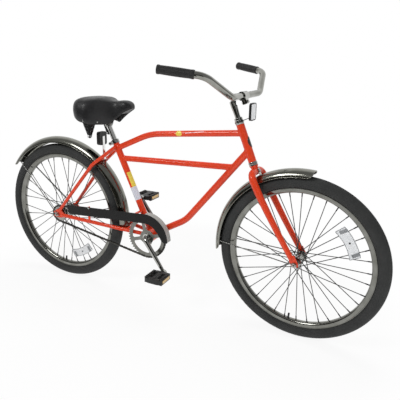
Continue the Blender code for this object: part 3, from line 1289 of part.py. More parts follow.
def reflector_body(name, place, facing, up, mat):
    """Shallow housing with a recess in its front face."""
    body = prism(name, rounded_box_outline(REFLECTOR_HALF_WIDTH, REFLECTOR_HALF_HEIGHT, 0.010, 3),
                 REFLECTOR_DEPTH, place, facing, up, mat)
    recess = prism("recess", rounded_box_outline(REFLECTOR_HALF_WIDTH - LENS_RIM, REFLECTOR_HALF_HEIGHT - LENS_RIM,
                                                 0.010 - LENS_RIM, 3), 2.0 * LENS_THICKNESS,
                   place + Vector(facing).normalized() * (REFLECTOR_DEPTH / 2.0), facing, up)
    return body, recess


def reflector_lens(name, place, facing, up, mat):
    face = place + Vector(facing).normalized() * (REFLECTOR_DEPTH / 2.0 - LENS_THICKNESS / 2.0)
    return prism(name, rounded_box_outline(REFLECTOR_HALF_WIDTH - LENS_RIM - GAP, REFLECTOR_HALF_HEIGHT - LENS_RIM - GAP,
                                           0.010 - LENS_RIM - GAP, 3), LENS_THICKNESS - 2.0 * GAP, face, facing, up, mat)


def build_front_reflector():
    place = head(FRONT_REFLECTOR_UP, FRONT_REFLECTOR_AHEAD)
    facing = Vector((1.0, 0.0, 0.0))
    body, recess = reflector_body("front_reflector", place, facing, Z_AXIS, BLACK_PLASTIC)
    ring_mid = (UPPER_CUP_TOP + LOCKNUT_BOTTOM) / 2.0
    washer = turned("washer", [(0.0, ring_mid - REFLECTOR_RING / 2.0), (CUP_RADIUS - 0.001, ring_mid - REFLECTOR_RING / 2.0),
                               (CUP_RADIUS - 0.001, ring_mid + REFLECTOR_RING / 2.0), (0.0, ring_mid + REFLECTOR_RING / 2.0)],
                    head(0.0), HEAD_UP, HEAD_SIDES)
    back = (place.x - REFLECTOR_DEPTH / 2.0 + 0.001 - head(ring_mid).x) / HEAD_AHEAD.x
    reach = back - STEERER_RADIUS - 0.002
    arm = prism("arm", [(reach / 2.0, 0.007), (-reach / 2.0, 0.007), (-reach / 2.0, -0.007), (reach / 2.0, -0.007)],
                REFLECTOR_RING - 0.0002, head(ring_mid, back - reach / 2.0), HEAD_UP, Y_AXIS)
    union(body, washer, arm)
    hole = turned("hole", [(0.0, ring_mid - 0.01), (STEERER_RADIUS + GAP, ring_mid - 0.01),
                           (STEERER_RADIUS + GAP, ring_mid + 0.01), (0.0, ring_mid + 0.01)],
                  head(0.0), HEAD_UP, HEAD_SIDES)
    cut(body, recess, hole)
    hang(body, STEER_PIVOT)
    hang(reflector_lens("front_reflector_lens", place, facing, Z_AXIS, CLEAR_LENS), STEER_PIVOT)


build_front_reflector()


# Fenders and their wire stays

def fender_section(radius, share):
    """Closed section of the shell: (radius, left) pairs, outside then inside."""
    outside = []
    inside = []
    count = FENDER_SPANS
    for k in range(count + 1):
        a = FENDER_TIP_ANGLE * share * (2.0 * k / count - 1.0)
        drop = FENDER_DEPTH * (1.0 - math.cos(a))
        outside.append((radius + FENDER_WALL / 2.0 - drop, (FENDER_HALF_WIDTH + FENDER_WALL / 2.0) * math.sin(a)))
        inside.append((radius - FENDER_WALL / 2.0 - drop, (FENDER_HALF_WIDTH - FENDER_WALL / 2.0) * math.sin(a)))
    bead = []
    for pts, side in ((outside, 1.0), (outside, -1.0)):
        r, y = pts[-1] if side > 0.0 else pts[0]
        bead.append([(r - 0.0008, y + side * 0.0010), (r - 0.0026, y)])
    return outside + bead[0] + list(reversed(inside)) + list(reversed(bead[1]))


def build_fender(name, axle, radius, ends):
    start, end = ends
    rounding = FENDER_ROUNDING / radius
    rings = []
    for angle in fender_stations(radius, ends):
        near = min(angle - start, end - angle) / rounding
        share = 1.0
        if near < 0.999:
            share = 0.62 + 0.38 * math.sqrt(max(0.0, 1.0 - (1.0 - near) ** 2))
        rings.append([about(axle, r, angle, y) for r, y in fender_section(radius, share)])
    return new_object(name, loft(rings), CHROME)


def build_stay(name, axle, radius, ends, angle, spacing, pivot, axle_radius):
    """One wire from eyelet to eyelet, crossing inside the fender."""
    plate = spacing / 2.0 + DROPOUT_THICKNESS + GAP + EYELET / 2.0
    least = crown_reach(radius, ends, angle, STAY_WIRE_RADIUS / radius)[0]
    crown = least - FENDER_WALL / 2.0 - GAP - STAY_WIRE_RADIUS
    width = FENDER_HALF_WIDTH - FENDER_WALL / 2.0 - STAY_WIRE_RADIUS - 0.0008
    depth = FENDER_DEPTH - 0.0006
    arch = []
    for k in range(FENDER_SPANS + 1):
        a = FENDER_TIP_ANGLE * (2.0 * k / FENDER_SPANS - 1.0)
        arch.append(about(axle, crown - depth * (1.0 - math.cos(a)), angle, width * math.sin(a)))
    left = [about(axle, 0.0350, angle, plate + 0.0012), about(axle, 0.0270, angle, plate + 0.0001),
            about(axle, 0.0085, angle, plate)]
    right = [Vector((p.x, 2.0 * axle.y - p.y, p.z)) for p in left]
    path = list(reversed(right)) + arch + left
    count = len(path)
    thin = EYELET / 2.0 / STAY_WIRE_RADIUS
    flats = [thin, thin] + [1.0] * (count - 4) + [thin, thin]
    wire = tube(name, path, [STAY_WIRE_RADIUS] * count, 5, CHROME, up=Y_AXIS, flat=flats)
    for side in (-1.0, 1.0):
        eye = turned("eye", [(axle_radius + GAP, side * plate - EYELET / 2.0), (axle_radius + 0.0050, side * plate - EYELET / 2.0),
                             (axle_radius + 0.0050, side * plate + EYELET / 2.0), (axle_radius + GAP, side * plate + EYELET / 2.0)],
                     axle, Y_AXIS, 8, ring=True)
        union(wire, eye)
    return hang(wire, pivot)


def build_fenders():
    rear = build_fender("rear_fender", REAR_AXLE, FENDER_RADIUS_REAR, REAR_FENDER_ENDS)
    hang(rear, FRAME_PIVOT)
    front = build_fender("front_fender", FRONT_AXLE, FENDER_RADIUS_FRONT, FRONT_FENDER_ENDS)
    tab_ahead = BLADE_RADIUS + GAP + FENDER_WALL
    lean = math.asin((tab_ahead - FORK_OFFSET) / FENDER_RADIUS_FRONT)
    crown = crown_reach(FENDER_RADIUS_FRONT, FRONT_FENDER_ENDS, math.pi - HEAD_ANGLE - lean, 0.002)[0]
    low = math.sqrt(crown ** 2 - (tab_ahead - FORK_OFFSET) ** 2)
    high = CROWN_CENTRE + 0.009
    tab = prism("tab", [(0.008, high), (0.005, high + 0.002), (-0.005, high + 0.002), (-0.008, high),
                        (-0.008, low - 0.0011), (0.008, low - 0.0011)], FENDER_WALL * 1.4, head(0.0, tab_ahead), HEAD_AHEAD, HEAD_UP)
    face = tab_ahead + FENDER_WALL * 0.5
    bolt = turned("bolt", [(0.0, 0.0050), (FENDER_TAB_HOLE, 0.0050), (FENDER_TAB_HOLE, face), (0.0058, face),
                           (0.0058, face + 0.003), (0.0040, face + 0.0042), (0.0, face + 0.0042)],
                  head(CROWN_CENTRE), HEAD_AHEAD, 6)
    union(front, tab, bolt)
    hang(front, STEER_PIVOT)
    build_stay("rear_fender_stay", REAR_AXLE, FENDER_RADIUS_REAR, REAR_FENDER_ENDS, REAR_STAY_ANGLE,
               DROPOUT_SPACING_REAR, FRAME_PIVOT, AXLE_RADIUS_REAR)
    build_stay("front_fender_stay", FRONT_AXLE, FENDER_RADIUS_FRONT, FRONT_FENDER_ENDS, FRONT_STAY_ANGLE,
               DROPOUT_SPACING_FRONT, STEER_PIVOT, AXLE_RADIUS_FRONT)


build_fenders()


# Chain guard

GUARD_RADIUS = 0.1115
GUARD_INNER = 0.0690
GUARD_REAR = Vector((0.066, 0.0, TYRE_RADIUS + 0.0365))
GUARD_SLOPE = math.radians(3.4)
GUARD_BAND = 0.0450
GUARD_FLANGE = 0.0300
GUARD_END = math.radians(-1.0)


def build_guard():
    """Straight band over the upper chain run, hooked round the chainring's front."""
    centre = (CRANK_AXIS.x, CRANK_AXIS.z)
    top_angle = TAU / 4.0 + GUARD_SLOPE
    outer = arc_points(centre[0], centre[1], GUARD_RADIUS, top_angle, GUARD_END, 14)
    inner = []
    for k in range(13):
        a = GUARD_END + 0.06 + (top_angle - GUARD_END - 0.06) * k / 12.0
        spread = max(0.0, 1.0 - (a - GUARD_END) / math.radians(42.0))
        r = GUARD_INNER + 0.0155 * spread * spread
        inner.append((centre[0] + r * math.cos(a), centre[1] + r * math.sin(a)))
    tip = [(centre[0] + 0.0985 * math.cos(GUARD_END - 0.05), centre[1] + 0.0985 * math.sin(GUARD_END - 0.05))]
    rear_x, rear_z = GUARD_REAR.x, GUARD_REAR.z
    half = GUARD_BAND / 2.0
    rear = [(rear_x + 0.010, rear_z - half), (rear_x, rear_z - half + 0.010), (rear_x, rear_z + half - 0.010),
            (rear_x + 0.010, rear_z + half)]
    outline = outer + tip + inner + rear
    pts = [(x, z) for x, z in outline]
    guard = prism("chain_guard", pts, GUARD_SHEET, Vector((0.0, -GUARD_FACE - GUARD_SHEET / 2.0, 0.0)),
                  (0.0, -1.0, 0.0), Z_AXIS, BLACK_PAINT)
    band = arc_points(centre[0], centre[1], GUARD_RADIUS + 0.0003, math.radians(91.0), GUARD_END + 0.02, 12)
    band += reversed(arc_points(centre[0], centre[1], GUARD_RADIUS - GUARD_SHEET, math.radians(91.0), GUARD_END + 0.02, 12))
    flange = prism("flange", band, GUARD_FLANGE, Vector((0.0, -GUARD_FACE - GUARD_SHEET / 2.0 + GUARD_FLANGE / 2.0, 0.0)),
                   (0.0, -1.0, 0.0), Z_AXIS)
    union(guard, flange)
    hole = tube("hole", [Vector((GUARD_BOLT.x, -0.070, GUARD_BOLT.z)), Vector((GUARD_BOLT.x, -0.054, GUARD_BOLT.z))],
                GUARD_BOLT_RADIUS + GAP, 8, up=Z_AXIS)
    cut(guard, hole)
    hang(guard, FRAME_PIVOT)
    out = GUARD_FACE + GUARD_SHEET + GAP
    inside = GUARD_FACE - GAP - LUG_THICKNESS - GAP
    spot = Vector((GUARD_BOLT.x, 0.0, GUARD_BOLT.z))
    profile = [(0.0, -out - 0.0032), (0.0035, -out - 0.0032), (0.0060, -out - 0.0015), (0.0060, -out),
               (GUARD_BOLT_RADIUS, -out), (GUARD_BOLT_RADIUS, -inside), (0.0048, -inside), (0.0048, -inside + 0.003),
               (0.0, -inside + 0.003)]
    hang(turned("chain_guard_bolt", profile, spot, Y_AXIS, 10, CHROME), FRAME_PIVOT)


build_guard()


# Spoke reflectors, clipped on the right-hand spokes

REFLECTOR_MID = RIM_BED_RADIUS - 0.0565
REFLECTOR_ARC_HALF = 0.065
REFLECTOR_BAND_HALF = 0.0195
REFLECTOR_PLATE = 0.0050
FRONT_SPOKE_REFLECTOR_ANGLE = math.radians(32.8)
REAR_SPOKE_REFLECTOR_ANGLE = math.radians(-62.0)


def outer_spoke(radius, flange_radius, flange_offset):
    """How far from the wheel's middle plane an outer spoke is at a radius."""
    a = flange_radius - 0.0035
    b = (RIM_BED_RADIUS - 0.0045) * math.cos(math.pi / RIM_FACETS) - GAP - 0.0008
    cross = a * b * math.cos(SPOKE_CROSSES * TAU / (SPOKES // 2))
    k2 = a * a + b * b - 2.0 * cross
    k1 = 2.0 * cross - 2.0 * a * a
    t = (-k1 + math.sqrt(k1 * k1 - 4.0 * k2 * (a * a - radius * radius))) / (2.0 * k2)
    start = flange_offset + FLANGE_THICKNESS / 2.0 + SPOKE_RADIUS * 0.4
    return start + (0.0036 - start) * t


def build_spoke_reflector(name, axle, pivot, angle, flange_radius, flange_offset):
    inner = REFLECTOR_MID - REFLECTOR_BAND_HALF
    outer = REFLECTOR_MID + REFLECTOR_BAND_HALF
    near = outer_spoke(inner, flange_radius, flange_offset)
    far = outer_spoke(outer, flange_radius, flange_offset)
    tilt = math.atan2(near - far, outer - inner)
    half = REFLECTOR_ARC_HALF / REFLECTOR_MID
    outline = [(outer * math.cos(a) - REFLECTOR_MID, outer * math.sin(a))
               for a in [half * (0.90 - 1.80 * k / 7.0) for k in range(8)]]
    outline += [(inner * math.cos(a) - REFLECTOR_MID, inner * math.sin(a))
                for a in [half * (-1.0 + 2.0 * k / 5.0) for k in range(6)]]
    out = Vector((math.cos(angle), 0.0, math.sin(angle)))
    round_way = Vector((-math.sin(angle), 0.0, math.cos(angle)))
    across = out * math.sin(tilt) - Y_AXIS * math.cos(tilt)
    along = out * math.cos(tilt) + Y_AXIS * math.sin(tilt)
    middle = (near + far) / 2.0 + SPOKE_RADIUS + 0.0005 + REFLECTOR_PLATE / 2.0
    place = about(axle, REFLECTOR_MID, angle, -middle)
    ring_a = [place - across * (REFLECTOR_PLATE / 2.0) + along * x + round_way * y for x, y in outline]
    ring_b = [p + across * REFLECTOR_PLATE for p in ring_a]
    return hang(new_object(name, loft([ring_a, ring_b]), CLEAR_LENS), pivot)


build_spoke_reflector("front_spoke_reflector", FRONT_AXLE, FRONT_WHEEL_PIVOT, FRONT_SPOKE_REFLECTOR_ANGLE,
                      FLANGE_RADIUS_FRONT, FLANGE_OFFSET_FRONT)
build_spoke_reflector("rear_spoke_reflector", REAR_AXLE, REAR_WHEEL_PIVOT, REAR_SPOKE_REFLECTOR_ANGLE,
                      FLANGE_RADIUS_REAR, FLANGE_OFFSET_REAR)


# Rear reflector on its post, coaster brake arm, head badge

REAR_REFLECTOR_DEPTH = 0.0180
POST_THICKNESS = 0.0026
POST_HALF_WIDTH = 0.0075
FOOT_HALF_LENGTH = 0.0090
REAR_REFLECTOR = SEAT_BRIDGE_MID + Vector((-0.00503194, 0.0, 0.09309536))


def build_rear_reflector():
    place = REAR_REFLECTOR
    facing = Vector((-1.0, 0.0, 0.0))
    body = prism("rear_reflector", rounded_box_outline(REFLECTOR_HALF_WIDTH + 0.001, REFLECTOR_HALF_HEIGHT - 0.0025, 0.010, 3),
                 REAR_REFLECTOR_DEPTH, place, facing, Z_AXIS, BLACK_PLASTIC)
    rim = REFLECTOR_HALF_WIDTH + 0.001 - LENS_RIM
    tall = REFLECTOR_HALF_HEIGHT - 0.0025 - LENS_RIM
    face = place + facing * (REAR_REFLECTOR_DEPTH / 2.0)
    recess = prism("recess", rounded_box_outline(rim, tall, 0.007, 3), 2.0 * LENS_THICKNESS, face, facing, Z_AXIS)
    post_x = place.x + REAR_REFLECTOR_DEPTH / 2.0 + POST_THICKNESS / 2.0 - 0.0002
    out = SEAT_BRIDGE_OUT
    foot_place = SEAT_BRIDGE_MID + out * (BRIDGE_RADIUS + GAP + POST_THICKNESS / 2.0)
    foot = prism("foot", rounded_box_outline(POST_HALF_WIDTH, FOOT_HALF_LENGTH, 0.003, 1), POST_THICKNESS,
                 foot_place, out, (-out.z, 0.0, out.x))
    top = place.z + 0.010
    low = foot_place.z
    post = prism("post", [(POST_HALF_WIDTH, (top - low) / 2.0), (-POST_HALF_WIDTH, (top - low) / 2.0),
                          (-POST_HALF_WIDTH, -(top - low) / 2.0), (POST_HALF_WIDTH, -(top - low) / 2.0)],
                 POST_THICKNESS, Vector((post_x, 0.0, (top + low) / 2.0)), (1.0, 0.0, 0.0), Z_AXIS)
    union(body, post, foot)
    cut(body, recess)
    hang(body, FRAME_PIVOT)
    lens = prism("rear_reflector_lens", rounded_box_outline(rim - GAP, tall - GAP, 0.007 - GAP, 3), LENS_THICKNESS - 2.0 * GAP,
                 face - facing * (LENS_THICKNESS / 2.0), facing, Z_AXIS, RED_LENS)
    hang(lens, FRAME_PIVOT)


BRAKE_ARM_LENGTH = 0.120
BRAKE_ARM_PLATE = 0.0030
BRAKE_STRAP = 0.0014


def build_brake_arm():
    """Reaction arm from the coaster hub to a strap round the left chain stay."""
    arm_y = BRAKE_CONE_START + 0.0005 + BRAKE_ARM_PLATE / 2.0
    plate = (DROPOUT_SPACING_REAR + DROPOUT_THICKNESS) / 2.0
    heel = REAR_AXLE + Vector((0.0250, plate + 0.0002, -0.0010))
    knee = CHAIN_STAY_KNEE.copy()
    spot = heel.lerp(knee, (BRAKE_ARM_LENGTH - heel.x) / (knee.x - heel.x))
    line = (knee - heel).normalized()
    body = turned("coaster_brake_arm", [(AXLE_RADIUS_REAR + GAP, BRAKE_CONE_START), (0.0190, BRAKE_CONE_START),
                                        (0.0190, BRAKE_CONE_START + 0.0040), (0.0125, BRAKE_CONE_END),
                                        (AXLE_RADIUS_REAR + GAP, BRAKE_CONE_END)],
                  REAR_AXLE, Y_AXIS, 12, STEEL, ring=True)
    slope = math.atan2(spot.z - REAR_AXLE.z, spot.x - REAR_AXLE.x)
    length = spot.x - 0.010
    mid = REAR_AXLE + Vector((0.010 + length / 2.0, arm_y, math.tan(slope) * (0.010 + length / 2.0)))
    half = length / 2.0
    arm = prism("arm", [(half - 0.003, 0.0075), (-half, 0.0110), (-half, -0.0110), (half - 0.003, -0.0075), (half, 0.0)],
                BRAKE_ARM_PLATE, mid, (0.0, -1.0, 0.0), Z_AXIS)
    grow = 1.0 / math.cos(math.pi / 10.0)
    band_r = (CHAIN_STAY_RADIUS + GAP) * grow + BRAKE_STRAP
    band_flat = ((CHAIN_STAY_FLAT + GAP) * grow + BRAKE_STRAP) / band_r
    band = tube("band", [spot - line * 0.0055, spot + line * 0.0055], band_r, 10, flat=band_flat)
    strap_y = spot.y - (CHAIN_STAY_FLAT + GAP) * grow - BRAKE_STRAP / 2.0
    link_len = abs(strap_y - (arm_y - BRAKE_ARM_PLATE / 2.0))
    link_mid = (strap_y + arm_y - BRAKE_ARM_PLATE / 2.0) / 2.0
    link = prism("link", rounded_box_outline(0.0050, 0.0045, 0.001, 1), link_len,
                 Vector((spot.x - 0.001, link_mid, spot.z)), (0.0, -1.0, 0.0), Z_AXIS)
    hole_r = (CHAIN_STAY_RADIUS + GAP) * grow
    hole = tube("hole", [spot - line * 0.02, spot + line * 0.02], hole_r, 10,
                flat=(CHAIN_STAY_FLAT + GAP) * grow / hole_r)
    union(body, arm, band, link)
    cut(body, hole)
    bore = rod_y("bore", REAR_AXLE, BRAKE_CONE_START - 0.02, BRAKE_CONE_END + 0.02, AXLE_RADIUS_REAR + GAP, 12)
    cut(body, bore)
    hang(body, FRAME_PIVOT)


def build_badge():
    mid = HEAD_TUBE_BOTTOM + HEAD_TUBE_LENGTH * 0.50
    inside = HEAD_TUBE_RADIUS + GAP
    outside = inside + 0.0012
    shell = turned("head_badge", [(inside, mid - 0.03), (outside, mid - 0.03), (outside, mid + 0.03), (inside, mid + 0.03)],
                   head(0.0), HEAD_UP, HEAD_SIDES, CHROME, ring=True)
    oval = [(0.0115 * math.cos(TAU * k / 14.0), 0.0210 * math.sin(TAU * k / 14.0)) for k in range(14)]
    block = prism("oval", oval, 0.030, head(mid, 0.020), HEAD_AHEAD, HEAD_UP)
    boolean(shell, block, "INTERSECT")
    hang(shell, FRAME_PIVOT)


build_rear_reflector()
build_brake_arm()
build_badge()


# Seat post, collar and clamp

POST_SIDES = 14
COLLAR_WALL = 0.0032
COLLAR_BELOW = 0.0080
COLLAR_ABOVE = 0.0095
COLLAR_EAR = 0.0125
COLLAR_SLIT = 0.0030
COLLAR_BOLT_RADIUS = 0.0030
RAIL_RADIUS = 0.0035
RAIL_SPREAD = 0.022
RAIL_ABOVE_POST = 0.0165
RAIL_UP = SEAT_TUBE_LENGTH + SEAT_POST_ABOVE + RAIL_ABOVE_POST
SEAT_PIVOT = empty("seat_post_axis", seat(SEAT_TUBE_LENGTH))
SADDLE_PIVOT = empty("saddle_tilt_axis", seat(RAIL_UP), SEAT_PIVOT)
CLAMP_HEAD_RADIUS = 0.0150
CLAMP_HEAD_HALF = 0.0110
PIVOT_RADIUS = 0.0075


def seat_round(name, profile, segments, mat=None, ring=False, at=0.0):
    return turned(name, profile, seat(at), SEAT_UP, segments, mat, ring=ring)


def build_seat_post():
    low = SEAT_TUBE_LENGTH - SEAT_POST_BELOW
    post = tube("seat_post", [seat(low), seat(SEAT_TUBE_LENGTH + SEAT_POST_ABOVE)], SEAT_POST_RADIUS, POST_SIDES, CHROME)
    hang(post, SEAT_PIVOT)
    fit = 1.0 / math.cos(math.pi / POST_SIDES)
    bottom = SEAT_TUBE_LENGTH - COLLAR_BELOW
    top = SEAT_TUBE_LENGTH + COLLAR_ABOVE
    wide = SEAT_TUBE_RADIUS * fit + GAP
    close = SEAT_POST_RADIUS * fit + GAP
    outer = wide + COLLAR_WALL
    collar = seat_round("seat_clamp_collar", [(wide, bottom), (outer, bottom), (outer, top - 0.002), (outer - 0.002, top),
                                              (close, top), (close, SEAT_TUBE_LENGTH + GAP), (wide, SEAT_TUBE_LENGTH + GAP)],
                        16, CHROME, ring=True)
    mid = (bottom + top) / 2.0
    reach = COLLAR_EAR
    ears = prism("ears", rounded_box_outline(0.0085, (top - bottom) / 2.0 - 0.001, 0.003, 2), reach,
                 seat(mid, -(outer - 0.001) - reach / 2.0), seat(0.0, 1.0) - seat(0.0), SEAT_UP)
    union(collar, ears)
    slit = prism("slit", [(COLLAR_SLIT / 2.0, 0.03), (-COLLAR_SLIT / 2.0, 0.03), (-COLLAR_SLIT / 2.0, -0.03),
                          (COLLAR_SLIT / 2.0, -0.03)], 0.040, seat(mid, -0.0305), seat(0.0, 1.0) - seat(0.0), SEAT_UP)
    bolt_place = seat(mid, -outer - reach * 0.52)
    hole = rod_y("hole", bolt_place, -0.03, 0.03, COLLAR_BOLT_RADIUS + GAP, 8)
    cut(collar, slit, hole)
    hang(collar, FRAME_PIVOT)
    face = 0.0085 + GAP
    bolt = turned("seat_clamp_bolt", [(0.0, -face - 0.005), (0.0056, -face - 0.005), (0.0056, -face), (COLLAR_BOLT_RADIUS, -face),
                                      (COLLAR_BOLT_RADIUS, face), (0.0056, face), (0.0056, face + 0.0055), (0.0, face + 0.0055)],
                  bolt_place, Y_AXIS, 8, STEEL)
    hang(bolt, FRAME_PIVOT)
    head_place = seat(RAIL_UP)
    clamp = seat_round("saddle_clamp", [(0.0, SEAT_TUBE_LENGTH + SEAT_POST_ABOVE - 0.016), (0.0160, SEAT_TUBE_LENGTH + SEAT_POST_ABOVE - 0.016),
                                        (0.0160, SEAT_TUBE_LENGTH + SEAT_POST_ABOVE + 0.0008),
                                        (CLAMP_HEAD_HALF - GAP, SEAT_TUBE_LENGTH + SEAT_POST_ABOVE + 0.0028),
                                        (CLAMP_HEAD_HALF - GAP, RAIL_UP), (0.0, RAIL_UP)],
                       POST_SIDES, STEEL)
    union(clamp, rod_y("clamp_head", head_place, -CLAMP_HEAD_HALF, CLAMP_HEAD_HALF, CLAMP_HEAD_RADIUS, 12))
    socket = seat_round("socket", [(0.0, SEAT_TUBE_LENGTH), (close, SEAT_TUBE_LENGTH),
                                   (close, SEAT_TUBE_LENGTH + SEAT_POST_ABOVE + GAP), (0.0, SEAT_TUBE_LENGTH + SEAT_POST_ABOVE + GAP)],
                        POST_SIDES)
    cut(clamp, socket, rod_y("hole", head_place, -0.03, 0.03, PIVOT_RADIUS / math.cos(math.pi / 12.0) + GAP, 12))
    hang(clamp, SEAT_PIVOT)


build_seat_post()


# Saddle

SADDLE_TOP = seat(RAIL_UP).z + SADDLE_CROWN_ABOVE_RAILS
SADDLE_SKIRT = SADDLE_TOP - SADDLE_HEIGHT
SADDLE_REAR = seat(RAIL_UP).x - SADDLE_REAR_SETBACK
SADDLE_NOSE_HALF = 0.034
CAVITY_TOP = SADDLE_TOP - 0.054
COVER_WALL = 0.0080
PAN_THICKNESS = 0.0030
PLATE_Z = SADDLE_SKIRT + 0.003
PLATE_THICKNESS = 0.0030
SPRING_X = SADDLE_REAR + 0.073
SPRING_HEIGHT = 0.065
SPRING_TIP_Z = PLATE_Z - SPRING_HEIGHT
DISC_RADIUS = 0.0300
PAN_BOSS_RADIUS = 0.0080
PAN_BOSS_SPREAD = 0.042


def smooth(t):
    t = max(0.0, min(1.0, t))
    return t * t * (3.0 - 2.0 * t)


def saddle_shape(u):
    """Half width, top and skirt heights at a share u of the saddle's length."""
    rear = math.sqrt(max(0.0, 1.0 - (1.0 - min(1.0, u / 0.22)) ** 2))
    front = math.sqrt(max(0.0, 1.0 - (1.0 - min(1.0, (1.0 - u) / 0.15)) ** 2))
    half = SADDLE_NOSE_HALF + (SADDLE_WIDTH / 2.0 - SADDLE_NOSE_HALF) * (1.0 - smooth((u - 0.30) / 0.46))
    half *= (0.50 + 0.50 * rear) * (0.26 + 0.74 * front)
    top = SADDLE_TOP - 0.013 * smooth((u - 0.42) / 0.26) + 0.003 * smooth((u - 0.70) / 0.12)
    top -= 0.024 * (1.0 - rear) + 0.026 * (1.0 - front)
    skirt = SADDLE_SKIRT + 0.058 * smooth((u - 0.53) / 0.52) + 0.034 * (1.0 - rear) + 0.004 * (1.0 - front)
    skirt -= 0.010 * smooth((u - 0.10) / 0.35) * smooth((0.90 - u) / 0.35)
    return half, top, skirt


def build_cover():
    stations = [0.0, 0.03, 0.09, 0.17, 0.27, 0.37, 0.46, 0.54, 0.62, 0.70, 0.79, 0.88, 0.94, 0.98, 1.0]
    section = [(0.86, 0.0), (0.95, 0.10), (1.0, 0.30), (1.0, 0.55), (0.93, 0.76), (0.78, 0.90), (0.50, 0.975), (0.18, 0.995)]
    rings = []
    for u in stations:
        half, top, skirt = saddle_shape(u)
        x = SADDLE_REAR + SADDLE_LENGTH * u
        side = [(half * y, skirt + (top - skirt) * h) for y, h in section]
        pts = side + [(-y, z) for y, z in reversed(side)]
        rings.append([Vector((x, y, z)) for y, z in pts])
    cover = new_object("saddle_cover", loft(rings), BLACK_VINYL, 60.0)
    cavity = []
    for u in (0.085, 0.16, 0.27, 0.37, 0.46, 0.54, 0.62, 0.70, 0.78):
        half, top, skirt = saddle_shape(u)
        x = SADDLE_REAR + SADDLE_LENGTH * u
        inner = half * 0.93 - COVER_WALL
        pts = [(inner, SADDLE_SKIRT - 0.02), (inner, CAVITY_TOP), (-inner, CAVITY_TOP), (-inner, SADDLE_SKIRT - 0.02)]
        cavity.append([Vector((x, y, z)) for y, z in pts])
    cut(cover, new_object("cavity", loft(cavity), None))
    hang(cover, SADDLE_PIVOT)


def build_pan():
    outline = []
    spans = (0.10, 0.16, 0.27, 0.37, 0.46, 0.54, 0.62, 0.70, 0.765)
    for u in spans:
        half = saddle_shape(u)[0]
        outline.append((SADDLE_REAR + SADDLE_LENGTH * u, half * 0.93 - COVER_WALL - 0.0010))
    outline += [(x, -y) for x, y in reversed(outline)]
    z = CAVITY_TOP - GAP - PAN_THICKNESS / 2.0
    pan = prism("saddle_pan", outline, PAN_THICKNESS, Vector((0.0, 0.0, z)), Z_AXIS, Y_AXIS, BLACK_PLASTIC)
    parts = []
    for side in (-1.0, 1.0):
        foot = Vector((SPRING_X, side * PAN_BOSS_SPREAD, PLATE_Z + PLATE_THICKNESS / 2.0 + GAP))
        parts.append(turned("boss", [(0.0, 0.0), (PAN_BOSS_RADIUS, 0.0), (PAN_BOSS_RADIUS, z - foot.z), (0.0, z - foot.z)],
                            foot, Z_AXIS, 8))
    union(pan, *parts)
    hang(pan, SADDLE_PIVOT)


def build_saddle_frame():
    """Rails, clamp cheeks, rear plate and spring bolts in one welded piece."""
    rail_z = seat(RAIL_UP).z
    rail_x = seat(RAIL_UP).x
    front_x = SADDLE_REAR + SADDLE_LENGTH * 0.72
    front_z = CAVITY_TOP - 2.0 * GAP - PAN_THICKNESS - RAIL_RADIUS
    body = prism("saddle_frame", rounded_box_outline(0.010, SPRING_OFFSET, 0.002, 1), PLATE_THICKNESS,
                 Vector((SPRING_X, 0.0, PLATE_Z)), (0.0, 0.0, 1.0), Y_AXIS, DARK_STEEL)
    parts = [turned("pivot", [(0.0, -0.030), (0.0130, -0.030), (0.0130, -CLAMP_HEAD_HALF - GAP), (PIVOT_RADIUS, -CLAMP_HEAD_HALF - GAP),
                              (PIVOT_RADIUS, CLAMP_HEAD_HALF + GAP), (0.0130, CLAMP_HEAD_HALF + GAP), (0.0130, 0.030),
                              (0.0, 0.030)], seat(RAIL_UP), Y_AXIS, 12)]
    for side in (-1.0, 1.0):
        path = bent_path([Vector((SPRING_X - 0.004, side * (RAIL_SPREAD + 0.004), PLATE_Z + 0.0034)),
                          Vector((rail_x - 0.022, side * RAIL_SPREAD, rail_z)), Vector((rail_x + 0.022, side * RAIL_SPREAD, rail_z)),
                          Vector((front_x - 0.020, side * 0.012, front_z)), Vector((front_x, side * 0.010, front_z))],
                         [0.03, 0.03, 0.02], math.radians(30.0))
        parts.append(tube("rail", path, RAIL_RADIUS, 6, up=Y_AXIS))
        place = Vector((SPRING_X, side * SPRING_OFFSET, 0.0))
        low = PLATE_Z - PLATE_THICKNESS / 2.0
        high = PLATE_Z + PLATE_THICKNESS / 2.0
        washer = SPRING_TIP_Z - SPRING_WIRE_RADIUS * 2.0 - GAP
        tip = SPRING_TIP_RADIUS + 0.003
        profile = [(0.0, washer - 0.0060), (0.0050, washer - 0.0060), (0.0050, washer - 0.0018), (tip, washer - 0.0018),
                   (tip, washer), (0.0028, washer), (0.0028, low), (DISC_RADIUS, low), (DISC_RADIUS, high), (0.0, high)]
        parts.append(turned("spring_bolt", profile, place, Z_AXIS, 10))
    union(body, *parts)
    hang(body, SADDLE_PIVOT)


